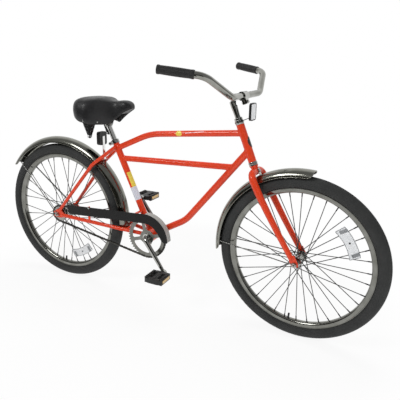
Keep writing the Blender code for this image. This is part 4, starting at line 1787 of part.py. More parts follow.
def build_spring(name, side):
    """Tight conical coil, wide end up, its ends upright for one wire width."""
    wire = SPRING_WIRE_RADIUS
    top = PLATE_Z - PLATE_THICKNESS / 2.0 - GAP
    low = SPRING_TIP_Z - 2.0 * wire
    rise = 2.0 * wire
    per_turn = 8
    steps = SPRING_TURNS * per_turn
    start_z = top - rise
    end_z = low + rise
    pts = []
    for k in range(steps + 1):
        t = k / steps
        r = SPRING_TOP_RADIUS + (SPRING_TIP_RADIUS - SPRING_TOP_RADIUS) * t
        a = TAU * k / per_turn * side
        pts.append(Vector((SPRING_X + r * math.cos(a), side * SPRING_OFFSET + r * math.sin(a), start_z + (end_z - start_z) * t)))
    first = pts[0] + Vector((0.0, 0.0, rise))
    last = pts[-1] - Vector((0.0, 0.0, rise))
    pts = [first] + pts + [last]
    least = 1.0
    for i in range(1, len(pts) - 1):
        for j in range(i + 4, len(pts) - 1):
            least = min(least, (pts[i] - pts[j]).length - 2.0 * wire)
    print(name, "least gap to itself", round(least * 1000.0, 2), "mm")
    curve = bpy.data.curves.new(name, "CURVE")
    curve.dimensions = "3D"
    curve.bevel_depth = wire
    curve.bevel_resolution = 1
    curve.use_fill_caps = True
    line = curve.splines.new("POLY")
    line.points.add(len(pts) - 1)
    offset = Vector(SADDLE_PIVOT["straight"])
    for point, p in zip(line.points, pts):
        q = p - offset
        point.co = (q.x, q.y, q.z, 1.0)
    curve.materials.append(DARK_STEEL)
    obj = bpy.data.objects.new(name, curve)
    bpy.context.scene.collection.objects.link(obj)
    obj.parent = SADDLE_PIVOT


build_cover()
build_pan()
build_saddle_frame()
build_spring("saddle_spring_right", -1.0)
build_spring("saddle_spring_left", 1.0)
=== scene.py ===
# The bicycle's looks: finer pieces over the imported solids, their materials, the light and the camera.
# Metres, X forward, Y to the rider's left, Z up, origin where the rear tyre meets the floor.

import json
from math import acos, asin, atan2, ceil, cos, degrees, floor, hypot, pi, radians, sin, sqrt, tan
from types import SimpleNamespace

import bmesh
import bpy
from mathutils import Matrix, Vector

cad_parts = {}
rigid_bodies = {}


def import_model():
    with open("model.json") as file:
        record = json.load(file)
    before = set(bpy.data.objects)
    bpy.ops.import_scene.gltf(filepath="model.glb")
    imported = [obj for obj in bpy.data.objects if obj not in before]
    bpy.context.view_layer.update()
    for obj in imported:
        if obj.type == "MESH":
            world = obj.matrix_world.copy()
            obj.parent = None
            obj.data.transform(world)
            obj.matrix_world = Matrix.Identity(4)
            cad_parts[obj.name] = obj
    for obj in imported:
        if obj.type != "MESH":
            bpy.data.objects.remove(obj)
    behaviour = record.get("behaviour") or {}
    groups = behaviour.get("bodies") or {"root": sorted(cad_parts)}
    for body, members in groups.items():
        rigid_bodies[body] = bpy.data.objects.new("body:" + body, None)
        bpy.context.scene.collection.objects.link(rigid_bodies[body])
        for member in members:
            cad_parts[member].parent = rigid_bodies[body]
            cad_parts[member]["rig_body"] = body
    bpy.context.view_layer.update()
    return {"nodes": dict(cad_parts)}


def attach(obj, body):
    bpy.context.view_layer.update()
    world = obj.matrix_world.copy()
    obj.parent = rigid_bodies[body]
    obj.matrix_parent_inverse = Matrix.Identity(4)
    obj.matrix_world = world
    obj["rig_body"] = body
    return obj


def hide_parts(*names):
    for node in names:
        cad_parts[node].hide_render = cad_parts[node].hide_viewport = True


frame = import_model()

TAU = 2.0 * pi
X_AXIS = Vector((1.0, 0.0, 0.0))
Y_AXIS = Vector((0.0, 1.0, 0.0))
Z_AXIS = Vector((0.0, 0.0, 1.0))
SIDES = ((-1.0, "right"), (1.0, "left"))

# Wheels
TYRE_RADIUS = 0.335
TYRE_SECTION = 0.027
TYRE_SEATING = 0.006
WHEELBASE = 1.163
RIM_DEPTH = 0.0145
RIM_WIDTH = 0.030
RIM_WALL = 0.0018
SPOKES = 36
SPOKE_RADIUS = 0.0011
SPOKE_CROSSES = 3
FLANGE_THICKNESS = 0.0030
AXLE_RADIUS_FRONT = 0.0040
AXLE_RADIUS_REAR = 0.00475
DROPOUT_SPACING_FRONT = 0.100
DROPOUT_SPACING_REAR = 0.110
DROPOUT_THICKNESS = 0.0050

# Steering
HEAD_ANGLE = radians(67.0)
FORK_OFFSET = 0.057
STEER_AT_REST = radians(-5.0)
HEAD_TUBE_RADIUS = 0.0159
HEAD_TUBE_WALL = 0.0013
CROWN_ROOM = 0.055
HEAD_TUBE_LENGTH = 0.149
CUP_HEIGHT = 0.0085
CUP_RADIUS = 0.0190
RACE_HEIGHT = 0.0060
LOCKNUT_HEIGHT = 0.0140
STEERER_RADIUS = 0.0127
STEERER_WALL = 0.0014
QUILL_RADIUS = 0.0108
QUILL_DEPTH = 0.050
STEM_RISE = 0.054
STEM_REACH = 0.050
BAR_RADIUS = 0.0125
GRIP_RADIUS = 0.0147
GRIP_LENGTH = 0.122

# Frame tubes
TOP_TUBE_RADIUS = 0.0127
DOWN_TUBE_RADIUS = 0.0143
SEAT_TUBE_RADIUS = 0.0143
SEAT_TUBE_WALL = 0.0012
SEAT_TUBE_ANGLE = radians(64.9)
SEAT_TUBE_LENGTH = 0.443
CHAIN_STAY_RADIUS = 0.0090
CHAIN_STAY_FLAT = 0.0075
SEAT_STAY_RADIUS = 0.0080
BRIDGE_RADIUS = 0.0060
CHAIN_STAY_ROOM = 0.1625
CRANK_DROP = 0.0265
SHELL_RADIUS = 0.0285
SHELL_WALL = 0.0028
SHELL_WIDTH = 0.068

# Drive
CHAIN_PITCH = 0.0127
RING_TEETH = 46
COG_TEETH = 19
CHAIN_LINE = 0.0460
RING_THICKNESS = 0.0026
CRANK_LENGTH = 0.170
CRANK_AT_REST = radians(-51.0)
CRANK_SPINDLE_RADIUS = 0.0115
PEDAL_WIDTH = 0.088
PEDAL_LENGTH = 0.086
PEDAL_HEIGHT = 0.030
PEDAL_SPINDLE_RADIUS = 0.0062

# Fenders
FENDER_ROOM_REAR = 0.035
FENDER_ROOM_FRONT = 0.025
FENDER_HALF_WIDTH = 0.0315
FENDER_DEPTH = 0.028
FENDER_WALL = 0.0012
FENDER_TIP_ANGLE = radians(86.0)
FENDER_ROUNDING = 0.030
FENDER_STEP = radians(2.0)
REAR_FENDER_ENDS = (radians(-5.0), radians(145.0))
FRONT_FENDER_ENDS = (radians(85.0), radians(185.0))
REAR_STAY_ANGLE = radians(138.0)
FRONT_STAY_ANGLE = radians(178.0)
STAY_WIRE_RADIUS = 0.0022

# Seat
SEAT_POST_ABOVE = 0.092
SADDLE_LENGTH = 0.256
SADDLE_WIDTH = 0.230
SADDLE_HEIGHT = 0.103
SADDLE_CROWN_ABOVE_RAILS = 0.0940788
SADDLE_REAR_SETBACK = 0.1145540
SPRING_TURNS = 10
SPRING_WIRE_RADIUS = 0.0021
SPRING_DRAWN = 1.25
SPRING_TOP_RADIUS = 0.0270
SPRING_TIP_RADIUS = 0.0072
SPRING_OFFSET = 0.066

# Clearances, and how far a cutter passes what it cuts
GAP = 0.0003
RUN_GAP = 0.0008
CUT_PAST = 0.02
HOLE_PAST = 0.01

# Edges: where a bevel and a crease begin, and how firm the crease is
BEVEL_ANGLE = radians(40.0)
CREASE_ANGLE = radians(44.0)
CREASE = 0.92

# Sizes that follow from those above
BEAD_RADIUS = TYRE_RADIUS - 2.0 * TYRE_SECTION + TYRE_SEATING
RIM_BED_RADIUS = BEAD_RADIUS - RIM_DEPTH
SPOKE_BED = RIM_BED_RADIUS - 0.0045
FENDER_RADIUS_REAR = TYRE_RADIUS + FENDER_ROOM_REAR
FENDER_RADIUS_FRONT = TYRE_RADIUS + FENDER_ROOM_FRONT
HEAD_TUBE_BOTTOM = FENDER_RADIUS_FRONT + CROWN_ROOM
CRANK_X = TYRE_RADIUS + CHAIN_STAY_ROOM
CRANK_Z = TYRE_RADIUS - CRANK_DROP

# Sides of the fine round pieces
HEAD_SIDES = 40
SHELL_SIDES = 48
SEAT_SIDES = 40
FINE = 28

# Camera, fitted to the photograph's 400 by 400 frame
CAMERA_PLACE = Vector((1.46031, -1.55916, 1.03405))
CAMERA_AZIMUTH = radians(64.925)
CAMERA_ELEVATION = radians(17.056)
CAMERA_ROLL = radians(1.680)
CAMERA_LENS = 38.83
CAMERA_SENSOR = 36.0

# Floor, world and lamps
STAGE_MIDDLE = (0.58, 0.0, 0.45)
FLOOR_RADIUS = 9.0
FLOOR_DROP = 0.0006
FLOOR_WHITE = 0.88
FLOOR_FADE_START = 0.9
FLOOR_FADE = 2.0
WORLD_GREY = 0.30
WORLD_LIGHT = 0.40
WORLD_FADE_START = 0.05
WORLD_FADE_END = 0.60
WHITE = (1.0, 1.0, 1.0, 1.0)


# Material nodes

class Graph:
    """A node tree with short ways to add and link nodes."""

    def __init__(self, owner, place):
        owner.use_nodes = True
        self.owner = owner
        self.tree = owner.node_tree
        self.place = self.add("ShaderNodeTexCoord")[place]

    def feed(self, sockets, values):
        """Link an output to each input, or set the input to a plain value."""
        for key, value in values.items():
            if isinstance(value, bpy.types.NodeSocket):
                self.tree.links.new(value, sockets[key])
            else:
                sockets[key].default_value = value

    def add(self, kind, values=None, **settings):
        """Add a node with its settings and inputs, and return its outputs."""
        made = self.tree.nodes.new(kind)
        for key, value in settings.items():
            setattr(made, key, value)
        self.feed(made.inputs, values or {})
        return made.outputs

    def noise(self, scale, detail=3.0):
        return self.add("ShaderNodeTexNoise", {"Vector": self.place, "Scale": scale, "Detail": detail})["Fac"]

    def cells(self, scale):
        return self.add("ShaderNodeTexVoronoi", {"Vector": self.place, "Scale": scale})["Distance"]

    def reach(self):
        """Distance from the object's own middle."""
        return self.add("ShaderNodeVectorMath", {0: self.place}, operation="LENGTH")["Value"]

    def along(self, origin, direction):
        """Distance of a point from the origin, measured along a direction."""
        arm = self.add("ShaderNodeVectorMath", {0: self.place, 1: origin}, operation="SUBTRACT")["Vector"]
        return self.add("ShaderNodeVectorMath", {0: arm, 1: direction}, operation="DOT_PRODUCT")["Value"]

    def math(self, operation, a, b=0.0, clamp=False):
        return self.add("ShaderNodeMath", {0: a, 1: b}, operation=operation, use_clamp=clamp)["Value"]

    def times(self, a, b):
        return self.math("MULTIPLY", a, b)

    def within(self, value, low, high):
        """One where a value lies between two limits, zero elsewhere."""
        return self.times(self.math("GREATER_THAN", value, low), self.math("LESS_THAN", value, high))

    def between(self, value, low, high, start=0.35, end=0.65, **settings):
        """A value's run from start to end, spread over low to high."""
        values = {"Value": value, "From Min": start, "From Max": end, "To Min": low, "To Max": high}
        return self.add("ShaderNodeMapRange", values, **settings)["Result"]

    def mix(self, share, *colours):
        """Blend of two colours, each an output or a plain (red, green, blue)."""
        first, second = [(*c, 1.0) if isinstance(c, tuple) else c for c in colours]
        return self.add("ShaderNodeMix", {0: share, 6: first, 7: second}, data_type="RGBA")[2]

    def seen(self):
        """One for rays from the camera, a mirror or glass, zero for those that gather light."""
        rays = self.add("ShaderNodeLightPath")
        mirrored_rays = self.math("MAXIMUM", rays["Is Camera Ray"], rays["Is Glossy Ray"])
        return self.math("MAXIMUM", mirrored_rays, rays["Is Transmission Ray"])

    def show(self, share, first, second, output):
        """Send a blend of two shaders to the tree's output node."""
        both = self.add("ShaderNodeMixShader", {0: share, 1: first, 2: second})["Shader"]
        self.feed(self.tree.nodes[output].inputs, {"Surface": both})


class Paint(Graph):
    """A material on the principled shader."""

    def __init__(self, name):
        super().__init__(bpy.data.materials.new(name), "Object")
        self.shader = self.tree.nodes["Principled BSDF"]

    def set(self, **values):
        self.feed(self.shader.inputs, {key.replace("_", " "): value for key, value in values.items()})

    def bump(self, height, strength, distance):
        values = {"Height": height, "Strength": strength, "Distance": distance}
        self.set(Normal=self.add("ShaderNodeBump", values)["Normal"])


def enamel(name, main, shade, coat=0.35, coat_rough=0.06, gloss=0.25):
    """Gloss paint over metal: faint unevenness, fine orange peel, dust in the grain."""
    g = Paint(name)
    g.base = g.mix(g.between(g.noise(9.0, 4.0), 0.0, 1.0, 0.3, 0.7), main, shade)
    g.set(Base_Color=g.base, Roughness=g.between(g.noise(140.0), 0.26, 0.36))
    g.bump(g.noise(520.0, 2.0), 0.10, 0.00008)
    g.set(Coat_Weight=coat, Coat_Roughness=coat_rough, Specular_IOR_Level=gloss)
    return g


def plating(name, bright, dull, rough_low, rough_high, grain=260.0):
    """Bare or plated metal with cloudy gloss and a fine grain."""
    g = Paint(name)
    cloud = g.noise(22.0, 5.0)
    fine = g.noise(grain)
    rough = g.math("ADD", g.between(cloud, rough_low, rough_high), g.between(fine, 0.0, 0.05))
    g.set(Base_Color=g.mix(g.between(cloud, 0.0, 1.0, 0.3, 0.72), bright, dull), Roughness=rough, Metallic=1.0)
    g.bump(fine, 0.06, 0.00006)
    return g


def rubber(name, dark, dusty, rough_low, rough_high, grain, depth):
    """Matte rubber with a pale bloom in its low spots."""
    g = Paint(name)
    speck = g.noise(grain)
    share = g.times(g.between(g.noise(16.0, 6.0), 0.2, 1.0, 0.3, 0.7), g.between(speck, 0.3, 1.0))
    g.set(Base_Color=g.mix(share, dark, dusty), Roughness=g.between(speck, rough_low, rough_high))
    g.bump(speck, 0.35, depth)
    return g


def moulded(name, dark, light, rough_low, rough_high):
    """Moulded plastic with fine sparked texture."""
    g = Paint(name)
    grain = g.noise(900.0, 2.0)
    colour = g.mix(g.between(g.noise(30.0, 4.0), 0.0, 1.0), dark, light)
    g.set(Base_Color=colour, Roughness=g.between(grain, rough_low, rough_high))
    g.bump(grain, 0.25, 0.00012)
    return g


def lens(name, main, deep, cell, back):
    """Reflector lens: clear gloss over small cube corners, which show as cells."""
    g = Paint(name)
    edge = g.cells(cell)
    shown = g.mix(g.between(edge, 0.0, 1.0, 0.08, 0.62), main, deep)
    colour = g.mix(g.between(g.noise(60.0), 0.0, 0.35), shown, back)
    g.set(Base_Color=colour, Roughness=g.between(edge, 0.08, 0.22, 0.1, 0.7))
    g.bump(edge, 0.55, 0.0006)
    g.set(Coat_Weight=1.0, Coat_Roughness=0.03)
    return g


def vinyl(name):
    """Black saddle vinyl: leather grain, soft sheen, slightly greyed where it is sat on."""
    g = Paint(name)
    grain = g.cells(620.0)
    share = g.times(g.between(g.noise(12.0), 0.0, 1.0), g.between(grain, 0.4, 1.0, 0.1, 0.6))
    colour = g.mix(share, (0.011, 0.011, 0.012), (0.022, 0.022, 0.023))
    g.set(Base_Color=colour, Roughness=g.between(g.noise(40.0), 0.34, 0.46))
    g.bump(g.math("ADD", grain, g.times(g.noise(70.0, 4.0), 0.6)), 0.30, 0.00035)
    g.set(Coat_Weight=0.06, Coat_Roughness=0.25, Specular_IOR_Level=0.30)
    return g


RED_MAIN = (0.745, 0.056, 0.013)
RED_SHADE = (0.680, 0.044, 0.010)
BADGE = enamel("badge_enamel", (0.030, 0.026, 0.024), (0.050, 0.045, 0.040))
RIM_GREY = moulded("grey_moulding", (0.20, 0.21, 0.22), (0.32, 0.33, 0.34), 0.36, 0.52)
RED = enamel("red_enamel", RED_MAIN, RED_SHADE)
CHROME = plating("chrome_plate", (0.48, 0.48, 0.46), (0.38, 0.38, 0.355), 0.07, 0.13)
# Copies of the chrome plate: the darker ones for the bar, the fenders and the rims are painted shade, an
# olive-dark painted reflection of dim surroundings. The near-white one for the seat post and the reflector
# post is painted light.
BAR_CHROME_SHADED = plating("bar_plate_shaded", (0.36, 0.36, 0.335), (0.26, 0.26, 0.235), 0.05, 0.09)
POST_CHROME_LIT = plating("post_plate_lit", (0.88, 0.88, 0.87), (0.76, 0.76, 0.74), 0.10, 0.18)
FENDER_CHROME_SHADED = plating("fender_plate_shaded", (0.29, 0.29, 0.26), (0.20, 0.20, 0.17), 0.10, 0.17)
RIM_CHROME_SHADED = plating("rim_plate_shaded", (0.27, 0.27, 0.25), (0.17, 0.17, 0.15), 0.07, 0.13)
ZINC = plating("zinc_plate", (0.52, 0.52, 0.50), (0.38, 0.38, 0.35), 0.26, 0.40, 320.0)
RING_METAL = plating("ring_plate", (0.27, 0.27, 0.25), (0.18, 0.18, 0.16), 0.24, 0.36)
SPOKE_STEEL = plating("spoke_steel", (0.095, 0.095, 0.092), (0.065, 0.065, 0.062), 0.36, 0.48, 500.0)
# Darker copy of the chrome plate for the fender stay wires: painted shade that dims their reflections. The
# rougher finish is real.
STAY_PLATE_SHADED = plating("stay_plate_shaded", (0.24, 0.24, 0.23), (0.17, 0.17, 0.16), 0.32, 0.44, 500.0)
NIPPLE_METAL = plating("nipple_plate", (0.030, 0.030, 0.030), (0.015, 0.015, 0.015), 0.40, 0.55)
OILED = plating("oiled_steel", (0.080, 0.078, 0.072), (0.045, 0.042, 0.038), 0.34, 0.50, 420.0)
FRAME_WIRE = plating("black_wire", (0.050, 0.050, 0.050), (0.025, 0.025, 0.025), 0.30, 0.44)
TYRE = rubber("tyre_compound", (0.015, 0.016, 0.016), (0.036, 0.037, 0.036), 0.66, 0.84, 240.0, 0.00025)
GRIP = rubber("grip_compound", (0.008, 0.008, 0.008), (0.022, 0.022, 0.022), 0.52, 0.70, 420.0, 0.00015)
PLASTIC = moulded("black_moulding", (0.006, 0.006, 0.006), (0.013, 0.013, 0.013), 0.42, 0.58)
VINYL = vinyl("saddle_vinyl")
CLEAR = lens("clear_prism", (0.88, 0.89, 0.90), (0.66, 0.68, 0.70), 420.0, (0.92, 0.92, 0.92))
AMBER = lens("amber_prism", (0.80, 0.50, 0.08), (0.54, 0.29, 0.03), 520.0, (0.90, 0.66, 0.20))
RED_LENS = lens("red_prism", (0.55, 0.022, 0.022), (0.28, 0.008, 0.008), 420.0, (0.62, 0.05, 0.04))


# Meshes

def shade(mesh, sharp=35.0):
    mesh.shade_smooth()
    mesh.set_sharp_from_angle(angle=radians(sharp))


def new_object(name, bm, mat=None, sharp=35.0):
    """Turn a bmesh, drawn in world positions, into an object."""
    bmesh.ops.remove_doubles(bm, verts=bm.verts, dist=1e-7)
    bmesh.ops.recalc_face_normals(bm, faces=bm.faces)
    mesh = bpy.data.meshes.new(name)
    bm.to_mesh(mesh)
    bm.free()
    if mat is not None:
        mesh.materials.append(mat.owner)
    shade(mesh, sharp)
    obj = bpy.data.objects.new(name, mesh)
    bpy.context.scene.collection.objects.link(obj)
    return obj


def boolean(obj, other, operation):
    """Join, cut or intersect obj with other, which is used up, and dissolve the slivers left."""
    other.hide_render = True
    other.display_type = "WIRE"
    change = obj.modifiers.new("shape", "BOOLEAN")
    change.operation = operation
    change.solver = "EXACT"
    change.object = other
    graph = bpy.context.evaluated_depsgraph_get()
    graph.update()
    old = obj.data
    obj.data = bpy.data.meshes.new_from_object(obj.evaluated_get(graph))
    obj.modifiers.clear()
    bpy.data.meshes.remove(old)
    bpy.data.objects.remove(other, do_unlink=True)
    bm = bmesh.new()
    bm.from_mesh(obj.data)
    bmesh.ops.remove_doubles(bm, verts=bm.verts, dist=1e-6)
    bmesh.ops.dissolve_degenerate(bm, edges=bm.edges, dist=1e-6)
    bm.to_mesh(obj.data)
    bm.free()
    shade(obj.data)


def union(obj, *others):
    for other in others:
        boolean(obj, other, "UNION")


def cut(obj, *others):
    for other in others:
        boolean(obj, other, "DIFFERENCE")


def bent_path(corners, radii, step=9.0):
    """Straight runs through the corners, each joined by an arc of its radius, in steps of some degrees."""
    pts = [Vector(c) for c in corners]
    path = [pts[0]]
    for last, here, following, radius in zip(pts, pts[1:], pts[2:], radii):
        before = (last - here).normalized()
        after = (following - here).normalized()
        inside = before.angle(after)
        turn = pi - inside
        if turn < 1e-4 or radius <= 0.0:
            path.append(here)
            continue
        reach = radius * tan(turn / 2.0)
        centre = here + (before + after).normalized() * (radius / sin(inside / 2.0))
        arm_a = here + before * reach - centre
        arm_b = here + after * reach - centre
        count = max(2, int(ceil(turn / radians(step))))
        for k in range(count + 1):
            t = k / count
            share_a = sin((1.0 - t) * turn) / sin(turn)
            share_b = sin(t * turn) / sin(turn)
            path.append(centre + arm_a * share_a + arm_b * share_b)
    path.append(pts[-1])
    return path


def frames_along(path, up):
    """Side and up directions at each point, carried along without twist."""
    count = len(path)
    up = Vector(up)
    frames = []
    for i in range(count):
        ahead = path[min(i + 1, count - 1)] - path[i]
        behind = path[i] - path[max(i - 1, 0)]
        if ahead.length < 1e-9:
            ahead = behind
        if behind.length < 1e-9:
            behind = ahead
        tangent = (ahead.normalized() + behind.normalized()).normalized()
        side = tangent.cross(up).normalized()
        up = side.cross(tangent).normalized()
        frames.append((side, up))
    return frames


def loft(rings, closed=False):
    """Skin a list of rings of equal count, capped unless closed on itself."""
    bm = bmesh.new()
    rows = [[bm.verts.new(p) for p in ring] for ring in rings]
    count = len(rows[0])
    for i in range(len(rows) if closed else len(rows) - 1):
        low = rows[i]
        high = rows[(i + 1) % len(rows)]
        for k in range(count):
            n = (k + 1) % count
            bm.faces.new((low[k], low[n], high[n], high[k]))
    if not closed:
        bm.faces.new(list(reversed(rows[0])))
        bm.faces.new(rows[-1])
    return bm


def tube(name, path, radius, sides, mat=None, up=Y_AXIS, flat=1.0):
    """Round or oval rod along a path.

    radius and flat, the share of it that the up direction gets, are one value or one per point."""
    radii = radius if isinstance(radius, list) else [radius] * len(path)
    flats = flat if isinstance(flat, list) else [flat] * len(path)
    rings = []
    for p, (side, top), r, f in zip(path, frames_along(path, up), radii, flats):
        turns = [TAU * (k + 0.5) / sides for k in range(sides)]
        rings.append([p + side * (r * cos(a)) + top * (r * f * sin(a)) for a in turns])
    return new_object(name, loft(rings), mat)


def turned(name, profile, place, axis, segments, mat=None, ring=False):
    """Turn a profile of (radius, height) pairs about an axis through place.

    A ring's profile is a closed loop off the axis; any other runs from one end of the axis to the other."""
    axis = Vector(axis).normalized()
    side = Vector((0.0, 0.0, -1.0)) if abs(axis.y) > 0.9 else axis.orthogonal().normalized()
    bm = bmesh.new()
    verts = [bm.verts.new(place + side * r + axis * h) for r, h in profile]
    edges = [bm.edges.new(pair) for pair in zip(verts, verts[1:])]
    if ring:
        edges.append(bm.edges.new((verts[-1], verts[0])))
    bmesh.ops.spin(bm, geom=verts + edges, cent=place, axis=axis, dvec=(0.0, 0.0, 0.0),
                   angle=TAU, steps=segments, use_merge=False, use_normal_flip=False)
    bmesh.ops.remove_doubles(bm, verts=bm.verts, dist=2e-6)
    if not ring:
        centres = [v for v in bm.verts if (v.co - place - axis * (v.co - place).dot(axis)).length < 1e-8]
        bmesh.ops.dissolve_verts(bm, verts=centres)
    return new_object(name, bm, mat)


def rod(name, place, axis, start, end, radius, segments, mat=None):
    """Solid cylinder along an axis, from one distance from place to another."""
    return turned(name, [(0.0, start), (radius, start), (radius, end), (0.0, end)], place, axis, segments, mat)


def plain_ring(name, place, axis, start, end, inner, outer, segments, mat):
    """Ring of a plain section between two radii."""
    profile = [(inner, start), (outer, start), (outer, end), (inner, end)]
    return turned(name, profile, place, axis, segments, mat, ring=True)


def slab(place, across, up, outline, thickness):
    """The two faces of a flat outline, given as (along, up) pairs, on both sides of place."""
    across = Vector(across).normalized()
    up = Vector(up)
    up = (up - across * up.dot(across)).normalized()
    along = up.cross(across)
    near = place - across * (thickness / 2.0)
    face = [near + along * a + up * b for a, b in outline]
    return [face, [p + across * thickness for p in face]]


def prism(name, outline, thickness, place, across, up, mat=None):
    """Extrude a flat outline, centred on place; across is the direction of its thickness."""
    return new_object(name, loft(slab(place, across, up, outline, thickness)), mat)


def side_prism(name, outline, thickness, place, mat=None):
    """Extrude an outline of (ahead, up) pairs across the bicycle."""
    return prism(name, outline, thickness, place, -Y_AXIS, Z_AXIS, mat)


def at(radius, angle, centre=(0.0, 0.0)):
    """Flat point at a radius and an angle about a centre."""
    return (centre[0] + radius * cos(angle), centre[1] + radius * sin(angle))


def arc_points(radius, start, end, count, centre=(0.0, 0.0)):
    """Points on an arc in a plane, both ends included."""
    return [at(radius, start + (end - start) * k / count, centre) for k in range(count + 1)]


def round_box(half_w, half_h, corner, count=3):
    """Outline of a rectangle with rounded corners."""
    pts = []
    for sx, sy, start in ((1, 1, 0.0), (-1, 1, 0.25), (-1, -1, 0.5), (1, -1, 0.75)):
        centre = (sx * (half_w - corner), sy * (half_h - corner))
        pts += arc_points(corner, start * TAU, (start + 0.25) * TAU, count, centre)
    return pts


def box_outline(half_w, low, high):
    return [(half_w, high), (-half_w, high), (-half_w, low), (half_w, low)]


def bead_ring(p, along, out, radius):
    """Ring of eight points about p, square to a direction."""
    across = along.cross(out).normalized()
    return [p + (out * cos(TAU * j / 8.0) + across * sin(TAU * j / 8.0)) * radius for j in range(8)]


def joined(name, parts, mat=None):
    """Put several meshes into one object, keeping each one's materials unless one is given."""
    bpy.ops.object.select_all(action="DESELECT")
    for part in parts:
        part.select_set(True)
    bpy.context.view_layer.objects.active = parts[0]
    if len(parts) > 1:
        bpy.ops.object.join()
    parts[0].name = name
    if mat is not None:
        parts[0].data.materials.clear()
        parts[0].data.materials.append(mat.owner)
    return parts[0]


def softened(obj, width, segments=2):
    """Round an object's sharp edges with a small bevel."""
    bevel = obj.modifiers.new("edges", "BEVEL")
    bevel.width = width
    bevel.segments = segments
    bevel.limit_method = "ANGLE"
    bevel.angle_limit = BEVEL_ANGLE
    bevel.harden_normals = True
    return obj


# Reference points, all in the straight-ahead pose

REAR_AXLE = Vector((0.0, 0.0, TYRE_RADIUS))
FRONT_AXLE = Vector((WHEELBASE, 0.0, TYRE_RADIUS))
CRANK_AXIS = Vector((CRANK_X, 0.0, CRANK_Z))
HEAD_UP = Vector((-cos(HEAD_ANGLE), 0.0, sin(HEAD_ANGLE)))
HEAD_AHEAD = Vector((sin(HEAD_ANGLE), 0.0, cos(HEAD_ANGLE)))
STEER_FOOT = FRONT_AXLE - HEAD_AHEAD * FORK_OFFSET
SEAT_UP = Vector((-cos(SEAT_TUBE_ANGLE), 0.0, sin(SEAT_TUBE_ANGLE)))
SEAT_AHEAD = Vector((sin(SEAT_TUBE_ANGLE), 0.0, cos(SEAT_TUBE_ANGLE)))
HEAD_TUBE_TOP = HEAD_TUBE_BOTTOM + HEAD_TUBE_LENGTH
HEAD_BORE = HEAD_TUBE_RADIUS - HEAD_TUBE_WALL
RACE_TOP = HEAD_TUBE_BOTTOM - CUP_HEIGHT - 2.0 * GAP
CROWN_TOP = RACE_TOP - RACE_HEIGHT - GAP
UPPER_CUP_TOP = HEAD_TUBE_TOP + GAP + CUP_HEIGHT
REFLECTOR_RING = 0.0025
LOCKNUT_BOTTOM = UPPER_CUP_TOP + REFLECTOR_RING + 2.0 * GAP
LOCKNUT_TOP = LOCKNUT_BOTTOM + LOCKNUT_HEIGHT


def head(up, ahead=0.0, left=0.0):
    """Point given by its place along, ahead of and beside the steering axis."""
    return STEER_FOOT + HEAD_UP * up + HEAD_AHEAD * ahead + Y_AXIS * left


def seat(up, ahead=0.0, left=0.0):
    """Point along the seat tube's axis, from the crank axis upwards."""
    return CRANK_AXIS + SEAT_UP * up + SEAT_AHEAD * ahead + Y_AXIS * left


def about(centre, radius, angle, left=0.0):
    """Point at an angle about an axle, from straight ahead towards up."""
    return centre + Vector((radius * cos(angle), left, radius * sin(angle)))


def turned_about(place, angle, axis):
    """Matrix of a turn about an axis through a place."""
    return Matrix.Translation(place) @ Matrix.Rotation(angle, 4, axis) @ Matrix.Translation(-place)


STEERED = turned_about(STEER_FOOT, STEER_AT_REST, HEAD_UP)
CRANKED = turned_about(CRANK_AXIS, -CRANK_AT_REST, Y_AXIS)

# Which turn a body's pieces, drawn straight ahead, get in the photographed pose
MOVES = {"steering": STEERED, "front_wheel": STEERED, "crank": CRANKED}


def ride(obj, node):
    """Set a piece on the body and over the node that it stands for."""
    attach(obj, frame["nodes"][node]["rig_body"])
    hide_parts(node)


def dress(obj, node):
    """Turn a finished piece to the photographed pose and set it on its body."""
    body = frame["nodes"][node]["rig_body"]
    if body in MOVES:
        obj.data.transform(MOVES[body])
    ride(obj, node)


def rounded(node, mat):
    """Finer copy of a small faceted node: round where it turns, crisp at its edges."""
    bm = bmesh.new()
    bm.from_mesh(frame["nodes"][node].data)
    bmesh.ops.remove_doubles(bm, verts=bm.verts, dist=2e-6)
    bmesh.ops.dissolve_limit(bm, angle_limit=radians(0.6), verts=bm.verts, edges=bm.edges)
    layer = bm.edges.layers.float.get("crease_edge") or bm.edges.layers.float.new("crease_edge")
    for edge in bm.edges:
        if edge.is_manifold and edge.calc_face_angle() > CREASE_ANGLE:
            edge[layer] = CREASE
    obj = new_object(node + "_fine", bm, mat, 30.0)
    smooth = obj.modifiers.new("round", "SUBSURF")
    smooth.levels = 2
    smooth.render_levels = 2
    ride(obj, node)


# Floor, light and camera

def build_floor():
    """Pale floor that glows into white further out."""
    bm = bmesh.new()
    bmesh.ops.create_circle(bm, cap_ends=True, segments=96, radius=FLOOR_RADIUS)
    floor_disc = new_object("floor", bm)
    floor_disc.location = (STAGE_MIDDLE[0], 0.0, -FLOOR_DROP)
    g = Paint("floor_paint")
    colour = g.mix(g.between(g.noise(3.0, 4.0), 0.0, 1.0), (0.94, 0.94, 0.94), (0.96, 0.96, 0.96))
    g.set(Base_Color=colour, Roughness=g.between(g.noise(40.0), 0.75, 0.85), Specular_IOR_Level=0.1)
    g.bump(g.noise(220.0), 0.05, 0.0002)
    far = g.math("DIVIDE", g.math("SUBTRACT", g.reach(), FLOOR_FADE_START), FLOOR_FADE, clamp=True)
    share = g.times(g.math("ADD", far, FLOOR_WHITE, clamp=True), g.seen())
    glow = g.add("ShaderNodeEmission")["Emission"]
    g.show(share, g.shader.outputs["BSDF"], glow, "Material Output")
    floor_disc.data.materials.append(g.owner)


